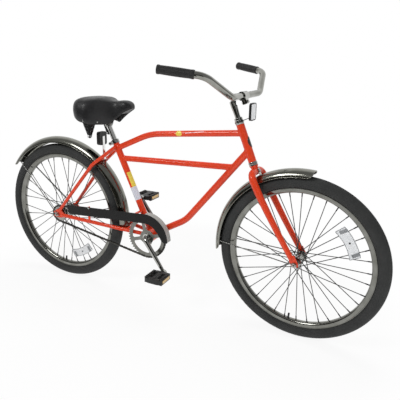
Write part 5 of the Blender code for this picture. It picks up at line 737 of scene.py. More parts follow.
def build_world():
    """White for the camera; mirrors see it turn grey towards the camera; mild light on the rest."""
    world = bpy.data.worlds.new("studio")
    bpy.context.scene.world = world
    g = Graph(world, "Generated")
    away = (-cos(CAMERA_AZIMUTH), sin(CAMERA_AZIMUTH), 0.0)
    behind = g.add("ShaderNodeVectorMath", {0: g.place, 1: away}, operation="DOT_PRODUCT")["Value"]
    span = g.between(behind, WORLD_GREY, 1.0, WORLD_FADE_START, WORLD_FADE_END,
                     interpolation_type="SMOOTHSTEP")
    strength = g.math("MAXIMUM", span, g.add("ShaderNodeLightPath")["Is Camera Ray"])
    shown = g.add("ShaderNodeBackground", {"Color": WHITE, "Strength": strength})["Background"]
    ambient = g.add("ShaderNodeBackground", {"Color": WHITE, "Strength": WORLD_LIGHT})["Background"]
    g.show(g.seen(), ambient, shown, "World Output")


def build_card(name, middle, out, wide, tall):
    """Dark studio card that only mirrors see, so that plated metal has something to show."""
    out = Vector(out).normalized()
    across = out.cross(Z_AXIS).normalized() * wide
    up = across.normalized().cross(out) * tall
    bm = bmesh.new()
    corners = ((-0.5, -0.5), (0.5, -0.5), (0.5, 0.5), (-0.5, 0.5))
    bm.faces.new([bm.verts.new(Vector(middle) + across * a + up * b) for a, b in corners])
    g = Paint(name + "_cloth")
    colour = g.mix(g.noise(6.0), (0.030, 0.030, 0.024), (0.045, 0.044, 0.036))
    g.set(Base_Color=colour, Roughness=g.between(g.noise(90.0), 0.85, 0.95), Specular_IOR_Level=0.0)
    card = new_object(name, bm, g)
    card.visible_camera = False
    card.visible_diffuse = False
    card.visible_shadow = False
    card.visible_transmission = False


def build_lamp(name, place, size, power, glossy=True):
    """Soft rectangular lamp aimed at the bicycle's middle."""
    lamp = bpy.data.lights.new(name, "AREA")
    lamp.shape = "RECTANGLE"
    lamp.size, lamp.size_y = size
    lamp.energy = power
    obj = bpy.data.objects.new(name, lamp)
    obj.location = place
    obj.rotation_mode = "QUATERNION"
    obj.rotation_quaternion = (Vector(STAGE_MIDDLE) - Vector(place)).to_track_quat("-Z", "Y")
    obj.visible_glossy = glossy
    bpy.context.scene.collection.objects.link(obj)


def build_camera():
    """The photograph's camera, with its small roll."""
    level = cos(CAMERA_ELEVATION)
    ahead = Vector((-level * cos(CAMERA_AZIMUTH), level * sin(CAMERA_AZIMUTH), -sin(CAMERA_ELEVATION)))
    flat = ahead.cross(Z_AXIS).normalized()
    upright = flat.cross(ahead)
    right = flat * cos(CAMERA_ROLL) + upright * sin(CAMERA_ROLL)
    up = upright * cos(CAMERA_ROLL) - flat * sin(CAMERA_ROLL)
    lens_data = bpy.data.cameras.new("photo_camera")
    lens_data.lens = CAMERA_LENS
    lens_data.sensor_width = CAMERA_SENSOR
    camera = bpy.data.objects.new("photo_camera", lens_data)
    camera.matrix_world = Matrix.Translation(CAMERA_PLACE) @ Matrix((right, up, -ahead)).transposed().to_4x4()
    bpy.context.scene.collection.objects.link(camera)
    bpy.context.scene.camera = camera


build_floor()
build_world()
build_card("dark_card_right", (-0.6, -1.5, 0.45), (0.0, 1.0, 0.0), 3.4, 1.1)
build_card("dark_card_front", (2.5, -3.2, 1.1), (-0.5, 0.85, 0.0), 2.4, 1.6)
build_lamp("key", (-0.9, -2.6, 2.6), (1.2, 0.9), 46.0)
build_lamp("fill", (2.8, -1.6, 1.8), (1.2, 1.2), 18.0, glossy=False)
build_lamp("top", (0.5, 0.9, 3.0), (2.6, 1.4), 34.0, glossy=False)
build_camera()
bpy.context.scene.view_settings.view_transform = "Standard"


# Frame

TOP_TUBE_BELOW_HEAD = 0.035
TOP_TUBE_BELOW_SEAT = 0.029
TOP_TUBE_BEND = Vector((0.488, 0.0, TYRE_RADIUS + 0.4248))
TOP_TUBE_BEND_RADIUS = 0.28
MID_TUBE_BELOW_SEAT = 0.077
MID_TUBE_DOWN_SHARE = 0.222
DOWN_TUBE_ABOVE_HEAD = 0.044
DOWN_TUBE_BEND = Vector((0.6665, 0.0, TYRE_RADIUS + 0.071))
DOWN_TUBE_BEND_RADIUS = 0.16
TOP_START = head(HEAD_TUBE_TOP - TOP_TUBE_BELOW_HEAD)
TOP_END = seat(SEAT_TUBE_LENGTH - TOP_TUBE_BELOW_SEAT)
DOWN_START = head(HEAD_TUBE_BOTTOM + DOWN_TUBE_ABOVE_HEAD)
MID_START = seat(SEAT_TUBE_LENGTH - MID_TUBE_BELOW_SEAT)
MID_END = DOWN_START.lerp(DOWN_TUBE_BEND, MID_TUBE_DOWN_SHARE)
SEAT_BORE_LOW = 0.012
DROPOUT_MIDDLE = (DROPOUT_SPACING_REAR + DROPOUT_THICKNESS) / 2.0
STAY_INSET = 0.0058
SEAT_STAY_BELOW = 0.022
SEAT_STAY_FOOT = REAR_AXLE + Vector((0.0095, DROPOUT_MIDDLE + 0.001, 0.0200))
SEAT_STAY_KNEE = Vector((0.211, 0.0445, TYRE_RADIUS + 0.268))
SEAT_STAY_TOP = seat(SEAT_TUBE_LENGTH - SEAT_STAY_BELOW, 0.003,
                     SEAT_TUBE_RADIUS + SEAT_STAY_RADIUS - STAY_INSET)
CHAIN_STAY_FOOT = REAR_AXLE + Vector((0.0250, DROPOUT_MIDDLE + 0.0002, -0.0010))
CHAIN_STAY_KNEE = Vector((0.345, 0.0430, TYRE_RADIUS - 0.0135))
CHAIN_STAY_TOP = CRANK_AXIS + Vector((-0.012, 0.019, 0.001))
LUG_THICKNESS = 0.0025
LUG_INSIDE = -0.0520
LUG_OUTSIDE = -0.010
LUG_ARM_UP = 0.1165
GUARD_FACE = 0.0600
GUARD_SHEET = 0.0012
GUARD_BOLT = Vector((0.191, 0.0, TYRE_RADIUS + 0.064))
GUARD_BOLT_RADIUS = 0.0025
GUARD_BOLT_ENDS = (-0.070, -0.054)
WELD_BEAD = 0.0019
WELD_STEPS = 40


def fender_stations(radius, ends):
    """Angles of the fender's rings, closer together at its rounded ends."""
    start, end = ends
    rounding = FENDER_ROUNDING / radius
    span = end - start - 2.0 * rounding
    inner = max(2, int(round(span / FENDER_STEP)))
    tips = [rounding * (1.0 - cos(TAU / 4.0 * k / 10.0)) for k in range(10)]
    stations = [start + t for t in tips]
    stations += [start + rounding + span * k / inner for k in range(inner + 1)]
    return stations + [end - t for t in reversed(tips)]


def crown_radius(angle):
    """Greatest distance of the rear fender's faceted crown line within a degree of an angle."""
    found = []
    stations = fender_stations(FENDER_RADIUS_REAR, REAR_FENDER_ENDS)
    for low, high in zip(stations, stations[1:]):
        near = max(low, angle - radians(1.0))
        far = min(high, angle + radians(1.0))
        if near <= far:
            middle = (low + high) / 2.0
            chord = FENDER_RADIUS_REAR * cos((high - low) / 2.0)
            found += [chord / cos(near - middle), chord / cos(far - middle)]
    return max(found)


def where_radius(start, end, radius):
    """Share of the way from start to end where the side distance from the rear axle is radius."""
    a = Vector((start.x - REAR_AXLE.x, start.z - REAR_AXLE.z))
    d = Vector((end.x - start.x, end.z - start.z))
    half = a.dot(d)
    inner = half * half - d.dot(d) * (a.dot(a) - radius * radius)
    return (-half + sqrt(inner)) / d.dot(d)


def bridge_spot(low_end, high_end):
    """Where a cross tube between two stays comes to lie 0.3 mm off the rear fender."""
    reach = FENDER_RADIUS_REAR
    for _ in range(3):
        spot = low_end.lerp(high_end, where_radius(low_end, high_end, reach))
        out = Vector((spot.x - REAR_AXLE.x, 0.0, spot.z - REAR_AXLE.z))
        reach = crown_radius(atan2(out.z, out.x)) + FENDER_WALL / 2.0 + GAP + BRIDGE_RADIUS
    return spot, out.normalized()


SEAT_BRIDGE, SEAT_BRIDGE_OUT = bridge_spot(SEAT_STAY_KNEE, SEAT_STAY_TOP)
SEAT_BRIDGE_MID = Vector((SEAT_BRIDGE.x, 0.0, SEAT_BRIDGE.z))


def fender_bridge(low_end, high_end):
    """Cross tube between both pairs of stays, off the rear fender."""
    spot, out = bridge_spot(low_end, high_end)
    return tube("bridge", [mirrored(spot, -1.0), spot], BRIDGE_RADIUS, 18, up=out)


def mirrored(point, side):
    """A point of the left half, or the same on the right for a side of -1."""
    return Vector((point.x, point.y * side, point.z))


def rear_dropout(side):
    """Track end with its slot open to the rear."""
    w = AXLE_RADIUS_REAR + GAP
    outline = [(-0.024, -w)] + arc_points(w, -TAU / 4.0, TAU / 4.0, 5)
    outline += [(-0.024, w), (-0.0245, w + 0.007), (-0.018, w + 0.011), (0.000, 0.026), (0.014, 0.027)]
    outline += [(0.034, 0.010), (0.038, 0.000), (0.034, -0.011), (0.010, -0.016)]
    outline += [(-0.018, -w - 0.009), (-0.0245, -w - 0.006)]
    return side_prism("dropout", outline, DROPOUT_THICKNESS, REAR_AXLE + Y_AXIS * (side * DROPOUT_MIDDLE))


def stay(side, ends, shares, bend, radius, foot_flats, flat):
    """Stay flattened at its dropout and bent at its knee, on one side."""
    foot, knee, top = [mirrored(p, side) for p in ends]
    spots = [foot] + [foot.lerp(knee, share) for share in shares]
    path = spots + bent_path([spots[-1], knee, top], [bend], 3.0)[1:]
    return tube("stay", path, radius, 20, flat=foot_flats + [flat] * (len(path) - len(foot_flats)))


def rear_end(side):
    """Seat stay, chain stay and dropout of one side."""
    seat_ends = (SEAT_STAY_FOOT, SEAT_STAY_KNEE, SEAT_STAY_TOP)
    chain_ends = (CHAIN_STAY_FOOT, CHAIN_STAY_KNEE, CHAIN_STAY_TOP)
    oval = CHAIN_STAY_FLAT / CHAIN_STAY_RADIUS
    return [stay(side, seat_ends, (0.16, 0.28), 0.10, SEAT_STAY_RADIUS, [0.45, 0.55], 1.0),
            stay(side, chain_ends, (0.09,), 0.20, CHAIN_STAY_RADIUS, [0.42], oval), rear_dropout(side)]


def guard_lugs():
    """Lugs for the chain guard: one on the right chain stay with its root, one on the seat tube."""
    face = -(GUARD_FACE - GAP)
    share = (GUARD_BOLT.x - REAR_AXLE.x) / CHAIN_STAY_KNEE.x
    stay_z = REAR_AXLE.z + (CHAIN_STAY_KNEE.z - REAR_AXLE.z) * share
    tall = GUARD_BOLT.z + 0.007 - stay_z
    arm = seat(LUG_ARM_UP)
    return [side_prism("lug", round_box(0.006, tall / 2.0, 0.0045, 2), LUG_THICKNESS,
                       Vector((GUARD_BOLT.x, face + LUG_THICKNESS / 2.0, stay_z + tall / 2.0))),
            side_prism("root", round_box(0.0055, 0.0055, 0.001, 1), LUG_INSIDE - face - 0.0006,
                       Vector((GUARD_BOLT.x, (face + LUG_INSIDE) / 2.0 + 0.0003, stay_z + 0.0015))),
            side_prism("arm", round_box(0.007, 0.0022, 0.001, 1), LUG_OUTSIDE - face,
                       Vector((arm.x, (face + LUG_OUTSIDE) / 2.0, arm.z)))]


def guard_bolt_hole(sides):
    """Cutter for the chain guard's bolt through guard and lug."""
    ends = [GUARD_BOLT + Y_AXIS * y for y in GUARD_BOLT_ENDS]
    return tube("hole", ends, GUARD_BOLT_RADIUS + GAP, sides, up=Z_AXIS)


def build_frame():
    """Head tube with all the other tubes and lugs joined to it, then the bores."""
    body = rod("frame", head(0.0), HEAD_UP, HEAD_TUBE_BOTTOM, HEAD_TUBE_TOP, HEAD_TUBE_RADIUS, HEAD_SIDES, RED)
    half = SHELL_WIDTH / 2.0
    parts = [
        tube("top", bent_path([TOP_START, TOP_TUBE_BEND, TOP_END], [TOP_TUBE_BEND_RADIUS], 3.0),
             TOP_TUBE_RADIUS, FINE),
        tube("down", bent_path([DOWN_START, DOWN_TUBE_BEND, CRANK_AXIS], [DOWN_TUBE_BEND_RADIUS], 3.0),
             DOWN_TUBE_RADIUS, FINE),
        tube("middle", [MID_START, MID_END], TOP_TUBE_RADIUS, FINE),
        tube("seat", [seat(0.0), seat(SEAT_TUBE_LENGTH)], SEAT_TUBE_RADIUS, SEAT_SIDES),
        rod("shell", CRANK_AXIS, Y_AXIS, -half, half, SHELL_RADIUS, SHELL_SIDES),
    ]
    parts += rear_end(-1.0) + rear_end(1.0)
    parts += [fender_bridge(SEAT_STAY_KNEE, SEAT_STAY_TOP), fender_bridge(CHAIN_STAY_KNEE, CHAIN_STAY_TOP)]
    union(body, *parts, *guard_lugs())
    cut(body,
        rod("bore", head(0.0), HEAD_UP, HEAD_TUBE_BOTTOM - CUT_PAST, HEAD_TUBE_TOP + CUT_PAST, HEAD_BORE,
            HEAD_SIDES),
        rod("bore", CRANK_AXIS, Y_AXIS, -SHELL_WIDTH, SHELL_WIDTH, SHELL_RADIUS - SHELL_WALL, SHELL_SIDES),
        tube("bore", [seat(SEAT_BORE_LOW), seat(SEAT_TUBE_LENGTH + CUT_PAST)],
             SEAT_TUBE_RADIUS - SEAT_TUBE_WALL, SEAT_SIDES),
        guard_bolt_hole(16))
    return body


def weld_ring(centre, towards, radius, axis_point, axis, wall):
    """Bead where a round tube meets another: the curve on both surfaces, as a thin tube."""
    direction = towards.normalized()
    axis = axis.normalized()
    side = direction.cross(axis).normalized()
    top = side.cross(direction).normalized()
    d = direction - axis * direction.dot(axis)
    pts = []
    for k in range(WELD_STEPS):
        a = TAU * k / WELD_STEPS
        start = centre + side * radius * cos(a) + top * radius * sin(a)
        p = start - axis_point
        p -= axis * p.dot(axis)
        qa = d.dot(d)
        qb = 2.0 * d.dot(p)
        inside = max(0.0, qb * qb - 4.0 * qa * (p.dot(p) - wall * wall))
        pts.append(start + direction * ((-qb + sqrt(inside)) / (2.0 * qa)))
    rings = []
    for k, p in enumerate(pts):
        along = (pts[(k + 1) % WELD_STEPS] - pts[k - 1]).normalized()
        out = (p - centre - direction * (p - centre).dot(direction)).normalized()
        rings.append(bead_ring(p, along, out, WELD_BEAD))
    return new_object("weld", loft(rings, closed=True), RED)


def build_frame_welds():
    """Weld beads round the tube joints that show."""
    head_tube = (head(0.0), HEAD_UP, HEAD_TUBE_RADIUS)
    seat_tube = (CRANK_AXIS, SEAT_UP, SEAT_TUBE_RADIUS)
    down_tube = (DOWN_START, DOWN_TUBE_BEND - DOWN_START, DOWN_TUBE_RADIUS)
    shell = (CRANK_AXIS, Y_AXIS, SHELL_RADIUS)
    joints = ((TOP_START, TOP_TUBE_BEND, TOP_TUBE_RADIUS, head_tube),
              (DOWN_START, DOWN_TUBE_BEND, DOWN_TUBE_RADIUS, head_tube),
              (TOP_END, TOP_TUBE_BEND, TOP_TUBE_RADIUS, seat_tube),
              (MID_START, MID_END, TOP_TUBE_RADIUS, seat_tube),
              (MID_END, MID_START, TOP_TUBE_RADIUS, down_tube),
              (CRANK_AXIS, DOWN_TUBE_BEND, DOWN_TUBE_RADIUS, shell),
              (CRANK_AXIS, CRANK_AXIS + SEAT_UP, SEAT_TUBE_RADIUS, shell))
    return [weld_ring(start, end - start, radius, *wall) for start, end, radius, wall in joints]


# Fork

BLADE_RADIUS = 0.0140
BLADE_TIP_RADIUS = 0.0105
BLADE_OFFSET = 0.0530
BLADE_BEND_POWER = 1.3
BLADE_LOW_END = 0.026
BLADE_STEPS = 16
SHOULDER_DROP = 0.100
SHOULDER_BEND = 0.030
BLADE_START = 0.060
CROWN_CENTRE = CROWN_TOP - 0.0245
FENDER_TAB_HOLE = 0.0027


def blade_path(side):
    """Out from the crown, round the shoulder, then down the curved blade."""
    left = side * BLADE_OFFSET
    corners = [head(CROWN_CENTRE), head(CROWN_CENTRE, 0.001, left),
               head(CROWN_CENTRE - SHOULDER_DROP, 0.008, left)]
    path = bent_path(corners, [SHOULDER_BEND], 6.0)[:-1]
    for k in range(1, BLADE_STEPS + 1):
        t = k / BLADE_STEPS
        up = (CROWN_CENTRE - BLADE_START) * (1.0 - t) + BLADE_LOW_END * t
        ahead = FORK_OFFSET * ((CROWN_CENTRE - up) / CROWN_CENTRE) ** BLADE_BEND_POWER
        path.append(head(up, ahead, left))
    return path


def fork_tip(side):
    """Front dropout with its slot open below."""
    w = AXLE_RADIUS_FRONT + GAP
    outline = [(-w, -0.013)] + arc_points(w, TAU / 2.0, 0.0, 5)
    outline += [(w, -0.013), (0.0115, -0.011), (0.0140, 0.002), (0.0100, 0.034)]
    outline += [(-0.0160, 0.040), (-0.0150, 0.004), (-0.0120, -0.009)]
    place = FRONT_AXLE + Y_AXIS * (side * (DROPOUT_SPACING_FRONT + DROPOUT_THICKNESS) / 2.0)
    return prism("tip", list(reversed(outline)), DROPOUT_THICKNESS, place, -Y_AXIS, HEAD_UP)


def build_fork():
    """Steerer with its crown, two blades and the dropouts."""
    top = LOCKNUT_TOP - 0.002
    low = CROWN_CENTRE - 0.006
    profile = [(0.0, low), (0.0125, low), (0.0135, CROWN_TOP - 0.010), (0.0180, CROWN_TOP),
               (STEERER_RADIUS, CROWN_TOP), (STEERER_RADIUS, top), (0.0, top)]
    fork = turned("fork", profile, head(0.0), HEAD_UP, HEAD_SIDES, RED)
    parts = []
    for side, _ in SIDES:
        path = blade_path(side)
        bend = len(path) - BLADE_STEPS - 1
        steps = [max(0, i - bend) for i in range(len(path))]
        radii = [BLADE_RADIUS + (BLADE_TIP_RADIUS - BLADE_RADIUS) * i / BLADE_STEPS for i in steps]
        parts += [tube("blade", path, radii, FINE, up=HEAD_AHEAD), fork_tip(side)]
    union(fork, *parts)
    bore = rod("bore", head(0.0), HEAD_UP, CROWN_TOP + 0.002, top + CUT_PAST, STEERER_RADIUS - STEERER_WALL,
               HEAD_SIDES)
    hole = tube("bore", [head(CROWN_CENTRE, 0.004), head(CROWN_CENTRE, 0.04)], FENDER_TAB_HOLE + 2.0 * GAP, 16)
    cut(fork, bore, hole)
    return fork


LABEL_YELLOW = (0.80, 0.62, 0.09)
LABEL_PALE = (0.66, 0.67, 0.74)
LABEL_LOW = 0.168
LABEL_MIDDLE = 0.229
LABEL_HIGH = 0.298
TOP_MARK = Vector((0.632, 0.0, 0.775))
TOP_MARK_HALF = 0.014
TOP_LINE_START = 0.030
TOP_LINE_END = 0.112
TOP_LINE_SLOPE = 0.16
TOP_LINE_HALF = 0.0016


def frame_paint():
    """Red enamel with plain bands and marks where the photograph shows labels."""
    g = enamel("frame_enamel", RED_MAIN, RED_SHADE)
    up = g.along(CRANK_AXIS, SEAT_UP)
    ahead = g.along(CRANK_AXIS, SEAT_AHEAD)
    left = g.along(CRANK_AXIS, Y_AXIS)
    off_axis = g.math("SQRT", g.math("ADD", g.times(ahead, ahead), g.times(left, left)))
    on_seat_tube = g.within(off_axis, 0.0, SEAT_TUBE_RADIUS + 0.0012)
    pale = g.times(on_seat_tube, g.within(up, LABEL_LOW, LABEL_MIDDLE))
    front = g.times(on_seat_tube, g.within(ahead, SEAT_TUBE_RADIUS * 0.28, SEAT_TUBE_RADIUS * 2.0))
    yellow = g.times(front, g.within(up, LABEL_MIDDLE, LABEL_HIGH))
    along = g.along(TOP_MARK, X_AXIS)
    tall = g.along(TOP_MARK, Z_AXIS)
    beside = g.within(left, -TOP_TUBE_RADIUS * 1.3, -TOP_TUBE_RADIUS * 0.3)
    right = g.times(beside, g.within(tall, -0.03, 0.05))
    spread = g.math("ADD", g.times(along, along), g.times(tall, g.times(tall, 1.6)))
    mark = g.times(right, g.within(spread, 0.0, TOP_MARK_HALF ** 2))
    rise = g.math("SUBTRACT", tall, g.times(along, TOP_LINE_SLOPE))
    line = g.times(right, g.within(along, TOP_LINE_START, TOP_LINE_END))
    line = g.times(line, g.within(rise, -TOP_LINE_HALF, TOP_LINE_HALF))
    shown = g.mix(pale, g.base, LABEL_PALE)
    shown = g.mix(g.math("MAXIMUM", yellow, mark), shown, LABEL_YELLOW)
    g.set(Base_Color=g.mix(g.times(line, 0.55), shown, LABEL_PALE))
    return g


dress(joined("frame_fine", [build_frame()] + build_frame_welds(), frame_paint()), "frame")
dress(build_fork(), "fork")


# Wheels

RIM_EDGE = BEAD_RADIUS + 0.0014
RIM_FLOOR = BEAD_RADIUS - 0.0072
RIM_ROLL = 0.0009
TYRE_FIT = 0.0005
VALVE_ANGLE = radians(-94.5)
VALVE_RADIUS = 0.0042
VALVE_LENGTH = 0.032
EYELET = 0.0016
HUB_END_FRONT = DROPOUT_SPACING_FRONT / 2.0 - 0.0055
HUB_END_LEFT = DROPOUT_SPACING_REAR / 2.0 - 0.0150
HUB_END_RIGHT = CHAIN_LINE - 0.0095
DRIVER_END = CHAIN_LINE + 0.0036
WHEEL_STEPS = 192
TREAD_BLOCKS = 96
TYRE_STEPS = 32
RIB_GROOVE = 0.0012
BLOCK_DEPTH = 0.0007
SIDE_LINES = 0.00035
SPOKE_DRAWN = 1.45
SPOKE_HOLE_INSET = 0.0035
SPOKE_RIM_OFFSET = 0.0036

FRONT = SimpleNamespace(
    end="front", axle=FRONT_AXLE, bore=AXLE_RADIUS_FRONT + RUN_GAP, barrel=0.0155, flange=0.0220,
    offset=0.0330, left=HUB_END_FRONT, right=HUB_END_FRONT, phase=0.04, lean=1.0, reflector=radians(32.8))
REAR = SimpleNamespace(
    end="rear", axle=REAR_AXLE, bore=AXLE_RADIUS_REAR + RUN_GAP, barrel=0.0235, flange=0.0335,
    offset=0.0290, left=HUB_END_LEFT, right=HUB_END_RIGHT, phase=0.0349, lean=-1.0, reflector=radians(-62.0))


def tyre_section():
    """Half section from the crown to the bead: (radius, left, is a shoulder block)."""
    pts = []
    for k in range(TYRE_STEPS + 1):
        a = radians(120.0) * k / TYRE_STEPS
        r = TYRE_SECTION
        turn = degrees(a)
        if turn < 30.0 and k % 4 == 2:
            r -= RIB_GROOVE
        if 70.0 < turn < 112.0 and k % 3 == 0:
            r -= SIDE_LINES
        pts.append((TYRE_RADIUS - TYRE_SECTION + r * cos(a), r * sin(a), 31.0 < turn < 56.0))
    inside = RIM_WIDTH / 2.0 - RIM_WALL - TYRE_FIT
    return pts + [(RIM_EDGE + TYRE_FIT, inside, False), (RIM_FLOOR + TYRE_FIT + GAP, inside, False)]


def build_tyre(wheel):
    """Balloon tyre: ribbed crown, small shoulder blocks, fine rings on its walls."""
    half = tyre_section()
    section = half + [(r, -y, block) for r, y, block in reversed(half[1:])]
    rings = []
    steps = TREAD_BLOCKS * 4
    for j in range(steps):
        sunk = BLOCK_DEPTH if j % 4 == 0 else 0.0
        rings.append([about(wheel.axle, r - (sunk if block else 0.0), TAU * j / steps, y)
                      for r, y, block in section])
    return new_object(wheel.end + "_tyre_fine", loft(rings, closed=True), TYRE, 40.0)


def build_rim(wheel):
    """Plated steel rim: rolled bright edges, a flat wall and a round bed."""
    half_w = RIM_WIDTH / 2.0
    edge = RIM_EDGE - 0.0006
    half = [(RIM_FLOOR, half_w - RIM_WALL), (edge, half_w - RIM_WALL)]
    half += [(edge + RIM_ROLL * sin(TAU * k / 12.0), half_w - RIM_ROLL - RIM_ROLL * cos(TAU * k / 12.0))
             for k in range(1, 6)]
    half += [(RIM_EDGE - 0.0012, half_w), (RIM_EDGE - 0.0022, half_w - 0.0002),
             (RIM_EDGE - 0.0030, half_w - 0.0012), (RIM_FLOOR + 0.0020, half_w - 0.0012),
             (RIM_FLOOR, half_w - 0.0020)]
    for k in range(1, 8):
        a = TAU / 4.0 * k / 8.0
        half.append((RIM_FLOOR - (RIM_FLOOR - SPOKE_BED) * sin(a), (half_w - 0.0020) * cos(a) ** 0.8))
    profile = half + [(SPOKE_BED, 0.0)] + [(r, -y) for r, y in reversed(half)]
    return turned(wheel.end + "_rim_fine", profile, wheel.axle, Y_AXIS, WHEEL_STEPS, RIM_CHROME_SHADED, ring=True)


def spoke_ends(wheel):
    """Hub hole and rim end of every spoke, with the way its head faces."""
    per_side = SPOKES // 2
    pitch = TAU / per_side
    for side in (-1.0, 1.0):
        for k in range(per_side):
            way = 1.0 if k % 2 == 0 else -1.0
            hub_angle = wheel.phase + pitch * (k + (0.5 if side > 0.0 else 0.0))
            rim_angle = hub_angle + way * wheel.lean * SPOKE_CROSSES * pitch
            step = (FLANGE_THICKNESS / 2.0 + SPOKE_RADIUS * 0.9) * way
            start = about(wheel.axle, wheel.flange - SPOKE_HOLE_INSET, hub_angle, side * (wheel.offset + step))
            rim_offset = SPOKE_RIM_OFFSET if way > 0.0 else SPOKE_RIM_OFFSET / 2.0
            yield start, about(wheel.axle, SPOKE_BED - 0.0004, rim_angle, side * rim_offset), -side * way


def build_spokes(wheel):
    """Round spokes with their heads in the flange and dark nipples at the rim."""
    parts = []
    for start, end, way in spoke_ends(wheel):
        line = (end - start).normalized()
        through = Y_AXIS * way
        bend = start + through * (FLANGE_THICKNESS + 0.0010)
        path = [bend, start + through * 0.0008, start + line * 0.0012, end - line * 0.012]
        nipple = [end - line * 0.0150, end - line * 0.0142, end - line * 0.0020, end]
        parts += [
            tube("spoke", path, SPOKE_RADIUS * SPOKE_DRAWN, 8, SPOKE_STEEL, up=Y_AXIS.cross(line)),
            tube("head", [bend, bend + through * 0.0012], [SPOKE_RADIUS * 1.9, SPOKE_RADIUS * 1.3], 8,
                 SPOKE_STEEL, up=line),
            tube("nipple", nipple, [0.0016, 0.0023, 0.0023, 0.0028], 8, NIPPLE_METAL)]
    return parts


def hub_half(wheel, end):
    """Profile of a hub from its end over the flange to its waist."""
    near = wheel.offset - FLANGE_THICKNESS / 2.0
    far = wheel.offset + FLANGE_THICKNESS / 2.0
    barrel, flange = wheel.barrel, wheel.flange
    return [(wheel.bore, end), (barrel * 0.70, end), (barrel * 0.72, end - 0.001), (barrel * 0.80, far),
            (flange - 0.0006, far), (flange, far - 0.0006), (flange, near + 0.0006), (flange - 0.0006, near),
            (barrel + 0.002, near), (barrel, near - 0.002), (barrel * 0.93, wheel.offset * 0.55)]


def build_hub(wheel):
    """Turned hub shell with a waisted barrel, its flanges and the spokes laced into them."""
    profile = [(r, -y) for r, y in hub_half(wheel, wheel.right)] + list(reversed(hub_half(wheel, wheel.left)))
    hub = turned("shell", profile, wheel.axle, Y_AXIS, 64, CHROME, ring=True)
    return joined(wheel.end + "_hub_fine", [hub] + build_spokes(wheel))


def build_valve(wheel):
    """Rubber valve stem with its cap."""
    steps = [(0.0, VALVE_RADIUS), (0.50, VALVE_RADIUS), (0.56, 0.0036), (0.60, 0.0034), (0.61, 0.0040),
             (0.94, 0.0040), (0.98, 0.0034), (1.0, 0.0024)]
    path = [about(wheel.axle, RIM_FLOOR + 0.0002 - VALVE_LENGTH * t, VALVE_ANGLE) for t, _ in steps]
    return tube(wheel.end + "_valve_fine", path, [r for _, r in steps], 24, PLASTIC)


for wheel in (FRONT, REAR):
    dress(build_tyre(wheel), wheel.end + "_tyre")
    dress(build_rim(wheel), wheel.end + "_rim")
    dress(build_valve(wheel), wheel.end + "_valve")
    dress(build_hub(wheel), wheel.end + "_hub")


# Crank, chainring, sprocket and chain

RING_RADIUS = CHAIN_PITCH / 2.0 / sin(pi / RING_TEETH)
COG_RADIUS = CHAIN_PITCH / 2.0 / sin(pi / COG_TEETH)
TOOTH_TIP = 0.0030
TOOTH_SEAT = 0.0036
ARM_OFFSET = 0.0650
ARM_FLARE = 0.0150
ARM_BEND = 0.020
ARM_RADIUS = 0.0098
ARM_TIP_RADIUS = 0.0062
ARM_BREADTH = 1.40
ARM_ROUND_REACH = 0.030
EYE_OFFSET = ARM_OFFSET + ARM_FLARE
EYE_RADIUS = 0.0120
EYE_THICKNESS = 0.0130
BOSS_RADIUS = 0.0175
BOSS_HEIGHT = 0.0045
CONE_RADIUS = 0.0145
PIN_RADIUS = 0.0035
PIN_REACH = 0.0340
WINDOW_OUTER = RING_RADIUS - 0.0190
WINDOW_INNER = 0.0330
WINDOW_START = radians(113.0)
RING_ARM_HALF = 0.0085
LINK_PLATE = 0.0009
LINK_HALF = 0.0040
LINK_WAIST = 0.0030
CHAIN_OUTER = 0.0039
CHAIN_ROLLER = 0.0036
CHAIN_PIN = 0.0018


def cross_rod(name, place, start, end, radius, segments):
    return rod(name, place, Y_AXIS, start, end, radius, segments)


def crank_point(x, y, z=0.0):
    return CRANK_AXIS + Vector((x, y, z))


def crank_arms():
    """Arm, bend, spindle, bend and arm in one rod, which turns from round to oval."""
    corners = [crank_point(CRANK_LENGTH, -EYE_OFFSET), crank_point(0.0, -ARM_OFFSET),
               crank_point(0.0, ARM_OFFSET), crank_point(-CRANK_LENGTH, EYE_OFFSET)]
    path = bent_path(corners, [ARM_BEND, ARM_BEND], 5.0)
    radii = []
    breadths = []
    for p in path:
        out = abs(p.x - CRANK_AXIS.x)
        share = min(1.0, out / ARM_ROUND_REACH)
        taper = ARM_TIP_RADIUS + (ARM_RADIUS - ARM_TIP_RADIUS) * (1.0 - out / CRANK_LENGTH)
        radii.append(CRANK_SPINDLE_RADIUS + (taper - CRANK_SPINDLE_RADIUS) * share)
        breadths.append(1.0 + (ARM_BREADTH - 1.0) * share)
    return tube("crank_fine", path, radii, FINE, CHROME, up=Z_AXIS, flat=breadths)


